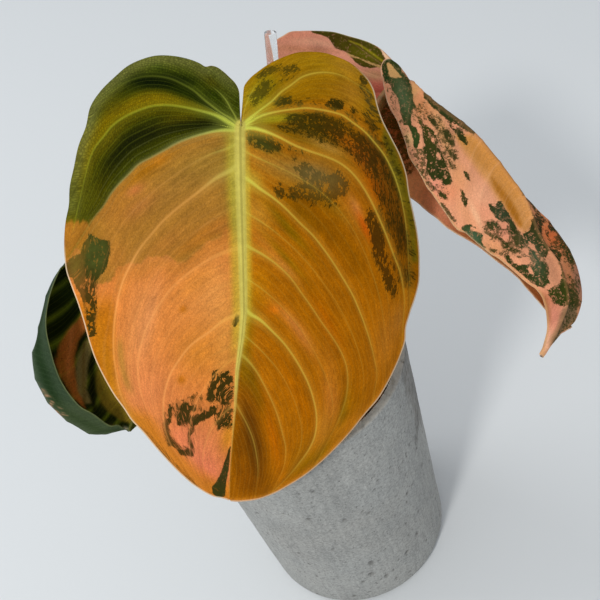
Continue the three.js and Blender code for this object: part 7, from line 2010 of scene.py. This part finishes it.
def stalk_shape(seed):
    def shape(u, ang, run):
        p = np.stack([np.cos(ang) * 2.4, np.sin(ang) * 2.4, np.full_like(ang, run * 0.16)], -1)
        add = 0.14 * (noise3(p, seed) - 0.5) + 0.06 * np.cos(ang * 7 + 0.02 * run)
        # a shallow channel along the upper side, a sheath's edge at the foot and a swollen joint under the blade
        add = add - 0.22 * np.exp(-((np.abs((ang - 1.5 + math.pi) % (2 * math.pi) - math.pi)) / 0.42) ** 2) * smooth(0.03, 0.2, u)
        add = add + 0.35 * math.exp(-((u - 0.93) / 0.035) ** 2) + 0.25 * math.exp(-((u - 0.03) / 0.03) ** 2)
        ring = math.exp(-((u - 0.885) / 0.008) ** 2) + 0.6 * math.exp(-((u - 0.05) / 0.006) ** 2)
        return add, min(ring, 1.0)
    return shape


def root_shape(seed):
    def shape(u, ang, run):
        p = np.stack([np.cos(ang) * 1.5, np.sin(ang) * 1.5, np.full_like(ang, run * 0.8)], -1)
        return 0.22 * (noise3(p, seed) - 0.5) + 0.10 * math.sin(run * 1.7), 0.35 * (0.5 + 0.5 * math.sin(run * 1.7)) ** 3
    return shape


def sheath_shape(u, ang, run):
    # two low keels and an open seam
    add = 0.22 * np.exp(-((np.abs((ang - 0.6 + math.pi) % (2 * math.pi) - math.pi)) / 0.2) ** 2) + 0.22 * np.exp(-((np.abs((ang - 2.4 + math.pi) % (2 * math.pi) - math.pi)) / 0.2) ** 2)
    add = add - 0.30 * np.exp(-((np.abs((ang - 4.6 + math.pi) % (2 * math.pi) - math.pi)) / 0.16) ** 2)
    return add * (1 - 0.6 * u), 0.0


# ---------------------------------------------------------------- the clear rod and the ties
def make_rod(mat):
    a, b = rod_at(65.0), rod_at(313.2)
    axis = b - a
    L = np.linalg.norm(axis)
    axis /= L
    n1 = np.cross(axis, [0, 1, 0])
    n1 /= np.linalg.norm(n1)
    n2 = np.cross(axis, n1)
    r = 2.65
    prof = [(0, 0.0), (1.2, 0.0), (2.1, 0.0), (2.3, 0.03), (2.5, 0.15), (2.62, 0.32), (2.65, 0.5)]
    prof += [(2.65 + 0.01 * math.sin(k * 1.3), 0.5 + (L - 1.0) * k / 60) for k in range(1, 60)]
    prof += [(2.65, L - 0.5), (2.62, L - 0.32), (2.5, L - 0.15), (2.3, L - 0.03), (2.1, L), (1.2, L), (0, L)]
    sides = 64
    ang = np.linspace(0, 2 * math.pi, sides, endpoint=False)
    V = [a + axis * prof[0][1]]
    for q, h in prof[1:-1]:
        V.extend(a + axis * h + n1 * (q * math.cos(t)) + n2 * (q * math.sin(t)) for t in ang)
    V.append(a + axis * prof[-1][1])
    m = len(prof) - 2
    faces = []
    for j in range(sides):
        k = (j + 1) % sides
        faces.append((0, 1 + k, 1 + j))
        for i in range(m - 1):
            o = 1 + i * sides
            faces.append((o + j, o + k, o + sides + k, o + sides + j))
        o = 1 + (m - 1) * sides
        faces.append((len(V) - 1, o + j, o + k))
    ob = new_mesh("rod_clear", np.array(V), faces)
    ob.data.materials.append(mat)
    return ob


def make_tie(name, z, mat):
    """A flat soft band that loops round the stem and the rod, with a rounded section."""
    c0, s0 = rod_at(z + 1.5), beside(z + 1.5)
    u = s0 - c0
    u[2] = 0
    d = np.linalg.norm(u)
    u /= d
    ax = rod_at(200) - rod_at(100)
    ax /= np.linalg.norm(ax)
    u = u - ax * (u @ ax)
    u /= np.linalg.norm(u)
    v = np.cross(ax, u)
    ra, rb = 2.65 + 0.35 + 0.45, 5.7 + 0.35 + 0.45
    # outline of the loop: two arcs and their tangents
    phi = math.acos((ra - rb) / d)
    pts = []
    for t in np.linspace(phi, 2 * math.pi - phi, 26):
        pts.append((ra * math.cos(t), ra * math.sin(t)))
    p0 = (ra * math.cos(2 * math.pi - phi), ra * math.sin(2 * math.pi - phi))
    p1 = (d + rb * math.cos(2 * math.pi - phi), rb * math.sin(2 * math.pi - phi))
    for k in range(1, 8):
        pts.append((p0[0] + (p1[0] - p0[0]) * k / 8, p0[1] + (p1[1] - p0[1]) * k / 8))
    for t in np.linspace(-phi, phi, 40):
        pts.append((d + rb * math.cos(t), rb * math.sin(t)))
    q0 = (d + rb * math.cos(phi), rb * math.sin(phi))
    q1 = (ra * math.cos(phi), ra * math.sin(phi))
    for k in range(1, 8):
        pts.append((q0[0] + (q1[0] - q0[0]) * k / 8, q0[1] + (q1[1] - q0[1]) * k / 8))
    pts = np.array(pts)
    n = len(pts)
    tan = np.roll(pts, -1, 0) - np.roll(pts, 1, 0)
    tan /= np.linalg.norm(tan, axis=1, keepdims=True)
    out = np.stack([tan[:, 1], -tan[:, 0]], 1)
    run = np.concatenate([[0], np.cumsum(np.linalg.norm(np.diff(pts, axis=0), axis=1))])
    sec = []
    for k in range(20):
        t = 2 * math.pi * k / 20
        cx, cz = math.cos(t), math.sin(t)
        sec.append((0.45 * math.copysign(abs(cx) ** 0.7, cx), 1.5 * math.copysign(abs(cz) ** 0.5, cz)))
    V, A = [], []
    for i in range(n):
        rib = 0.05 * math.sin(run[i] * 5.2)
        base = c0 + u * pts[i, 0] + v * pts[i, 1]
        o = u * out[i, 0] + v * out[i, 1]
        for k, (e, h) in enumerate(sec):
            V.append(base + o * (e + rib * (e > 0)) + ax * h)
            A.append((run[i], k * 0.28, 0))
    faces = []
    m = len(sec)
    for i in range(n):
        for k in range(m):
            faces.append((i * m + k, ((i + 1) % n) * m + k, ((i + 1) % n) * m + (k + 1) % m, i * m + (k + 1) % m))
    ob = new_mesh(name, np.array(V), faces)
    put(ob.data, "tube", np.array(A))
    ob.data.materials.append(mat)
    return ob


# ---------------------------------------------------------------- put together
FLOOR_COLOUR = lin(217, 220.5, 222)


def outward_faces(ob):
    """Turns the faces outward if the closed body's volume comes out negative."""
    me = ob.data
    me.calc_loop_triangles()
    t = np.empty(len(me.loop_triangles) * 3, np.int32)
    me.loop_triangles.foreach_get("vertices", t)
    v = np.empty(len(me.vertices) * 3)
    me.vertices.foreach_get("co", v)
    v = v.reshape(-1, 3)
    t = t.reshape(-1, 3)
    if np.einsum("ij,ij->i", v[t[:, 0]], np.cross(v[t[:, 1]], v[t[:, 2]])).sum() < 0:
        me.flip_normals()


def settle(ob, node):
    outward_faces(ob)
    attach(ob, "root")
    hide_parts(node)
    return ob


rim_orange = margin_material("margin_orange", lin(214, 184, 146), lin(196, 140, 88))
rim_pink = margin_material("margin_pink", lin(222, 190, 154), lin(190, 130, 96))
rim_dark = margin_material("margin_green", lin(98, 106, 56), lin(78, 84, 42))

main_up = blade_material("blade_green_orange_upper", lin(214, 200, 96), lin(226, 204, 172), 0.60, 0.55, 0.01, 0.72, mark_depth=0.99, vein_mix=0.70, cloud=0.50, bright=lin(206, 212, 84), marks_at=(1.5, 2.6))
main_dn = blade_material("blade_green_orange_under", lin(196, 188, 118), lin(214, 186, 150), 0.30, 0.62, 0.03, 0.52, mark_depth=0.7)
right_up = blade_material("blade_pink_upper", lin(206, 168, 96), lin(214, 184, 146), 0.30, 0.52, 0.02, 0.52, mark_depth=1.0, vein_mix=0.35, along_veins=False, through=0.75, marks_at=(1.0, 1.9))
right_dn = blade_material("blade_pink_under", lin(222, 156, 104), lin(206, 172, 126), 0.26, 0.56, 0.02, 0.62, mark_depth=1.0, vein_mix=0.32, along_veins=False, rib_mix=0.22, rim_mix=0.55, through=0.75, marks_at=(1.0, 1.9))
left_up = blade_material("blade_dark_upper", lin(120, 118, 58), lin(100, 106, 56), 0.40, 0.46, 0.0, 0.52, mark_depth=0.6, vein_mix=0.6, along_veins=False, rim_mix=0.6)
left_dn = blade_material("blade_dark_under", lin(104, 112, 72), lin(100, 108, 66), 0.36, 0.56, 0.02, 0.52, mark_depth=0.6, vein_mix=0.22, along_veins=False, rim_mix=0.6, grainy=1.3)

leaf_main = blade("leaf_main_blade", "main", (300, 97), (220, 81), 0.85, 1.0, 0.86, 1, (main_up, main_dn, rim_orange), 6)
leaf_right = blade("leaf_right_blade", "right", (240, 73), (200, 61), 0.40, 0.7, 0.86, -1, (right_up, right_dn, rim_pink), 5)
leaf_left = blade("leaf_left_blade", "left", (200, 73), (160, 61), 0.40, 0.7, 0.86, 1, (left_up, left_dn, rim_dark), 4)
settle(leaf_main[0], "leaf_main")
settle(leaf_right[0], "leaf_right_folded")
settle(leaf_left[0], "leaf_left_cupped")

concrete = concrete_material()
settle(make_pot(concrete), "pot")
settle(make_soil(soil_material()), "potting_mix")

stem_skin = skin_material("stem_skin", lin(96, 112, 52), lin(128, 120, 60), lin(92, 62, 34), lin(168, 160, 104))
stalk_skin = skin_material("stalk_skin", lin(150, 118, 62), lin(176, 112, 66), lin(112, 96, 44), lin(206, 182, 120))
stalk_green = skin_material("stalk_skin_green", lin(104, 112, 48), lin(134, 112, 56), lin(70, 74, 30), lin(176, 164, 100))
root_skin = skin_material("root_skin", lin(140, 112, 76), lin(168, 138, 96), lin(94, 70, 44), lin(190, 166, 124), 0.7)
sheath_skin = skin_material("sheath_skin", lin(196, 146, 104), lin(214, 158, 120), lin(150, 96, 60), lin(230, 190, 150), 0.4)
settle(tube("stem_limb", STEM, STEM_R, 64, 260, stem_shape, (stem_skin,)), "stem")
settle(tube("stalk_main", *STALK["main"], 48, 300, stalk_shape(21), (stalk_skin,)), "petiole_main")
settle(tube("stalk_right", *STALK["right"], 48, 300, stalk_shape(22), (stalk_skin,)), "petiole_right")
settle(tube("stalk_left", *STALK["left"], 48, 260, stalk_shape(23), (stalk_green,)), "petiole_left")
settle(tube("root_left", ROOT["left"], [1.6, 1.5, 1.4, 1.3, 1.1], 32, 120, root_shape(31), (root_skin,)), "aerial_root_left")
settle(tube("root_right", ROOT["right"], [1.6, 1.5, 1.4, 1.3, 1.1], 32, 120, root_shape(32), (root_skin,)), "aerial_root_right")
settle(tube("bud_sheath", [(14.6, 31.5, 213.6), (13.2, 34.6, 221), (12.2, 37, 231), (11.6, 38.6, 243), (12.2, 39.6, 254)], [2.6, 3.1, 2.7, 1.7, 0.35], 40, 120, sheath_shape, (sheath_skin,)), "cataphyll")
settle(make_rod(rod_material()), "support_rod")
soft_tie = tie_material()
settle(make_tie("tie_lower", 178.5, soft_tie), "plant_tie_lower")
settle(make_tie("tie_upper", 204.0, soft_tie), "plant_tie_upper")

# ---------------------------------------------------------------- floor, light, camera
me = bpy.data.meshes.new("floor")
me.from_pydata([(-4, -3, 0), (4, -3, 0), (4, 5, 0), (-4, 5, 0)], [], [(0, 1, 2, 3)])
floor = bpy.data.objects.new("floor", me)
bpy.context.scene.collection.objects.link(floor)
me.materials.append(floor_material())


def area_light(name, where, target, size, power, colour=(1, 1, 1)):
    data = bpy.data.lights.new(name, "AREA")
    data.shape = "DISK"
    data.size = size
    data.energy = power
    data.color = colour
    ob = bpy.data.objects.new(name, data)
    bpy.context.scene.collection.objects.link(ob)
    ob.location = where
    ob.rotation_euler = (Vector(target) - Vector(where)).to_track_quat("-Z", "Y").to_euler()
    return ob


area_light("key", (-0.66, -0.95, 1.36), (0.02, 0.02, 0.16), 0.26, 11.5, (1.0, 0.985, 0.96))
area_light("fill", (-1.3, 0.9, 1.3), (0.0, 0.0, 0.15), 1.3, 11.0, (0.98, 0.99, 1.0))

world = bpy.data.worlds.new("studio")
bpy.context.scene.world = world
world.use_nodes = True
world.node_tree.nodes["Background"].inputs[0].default_value = (0.93, 0.96, 1.0, 1.0)
world.node_tree.nodes["Background"].inputs[1].default_value = 0.635

data = bpy.data.cameras.new("camera")
data.lens = 54.0
data.sensor_width = 36.0
data.sensor_fit = "HORIZONTAL"
data.clip_start = 0.02
data.clip_end = 20.0
camera = bpy.data.objects.new("camera", data)
bpy.context.scene.collection.objects.link(camera)
m = np.eye(4)
m[:3, 0], m[:3, 1], m[:3, 2], m[:3, 3] = RX, RY, -RZ, CAM * 0.001
camera.matrix_world = Matrix(m.tolist())
bpy.context.scene.camera = camera
bpy.context.scene.view_settings.view_transform = "Standard"
bpy.context.scene.view_settings.look = "None"
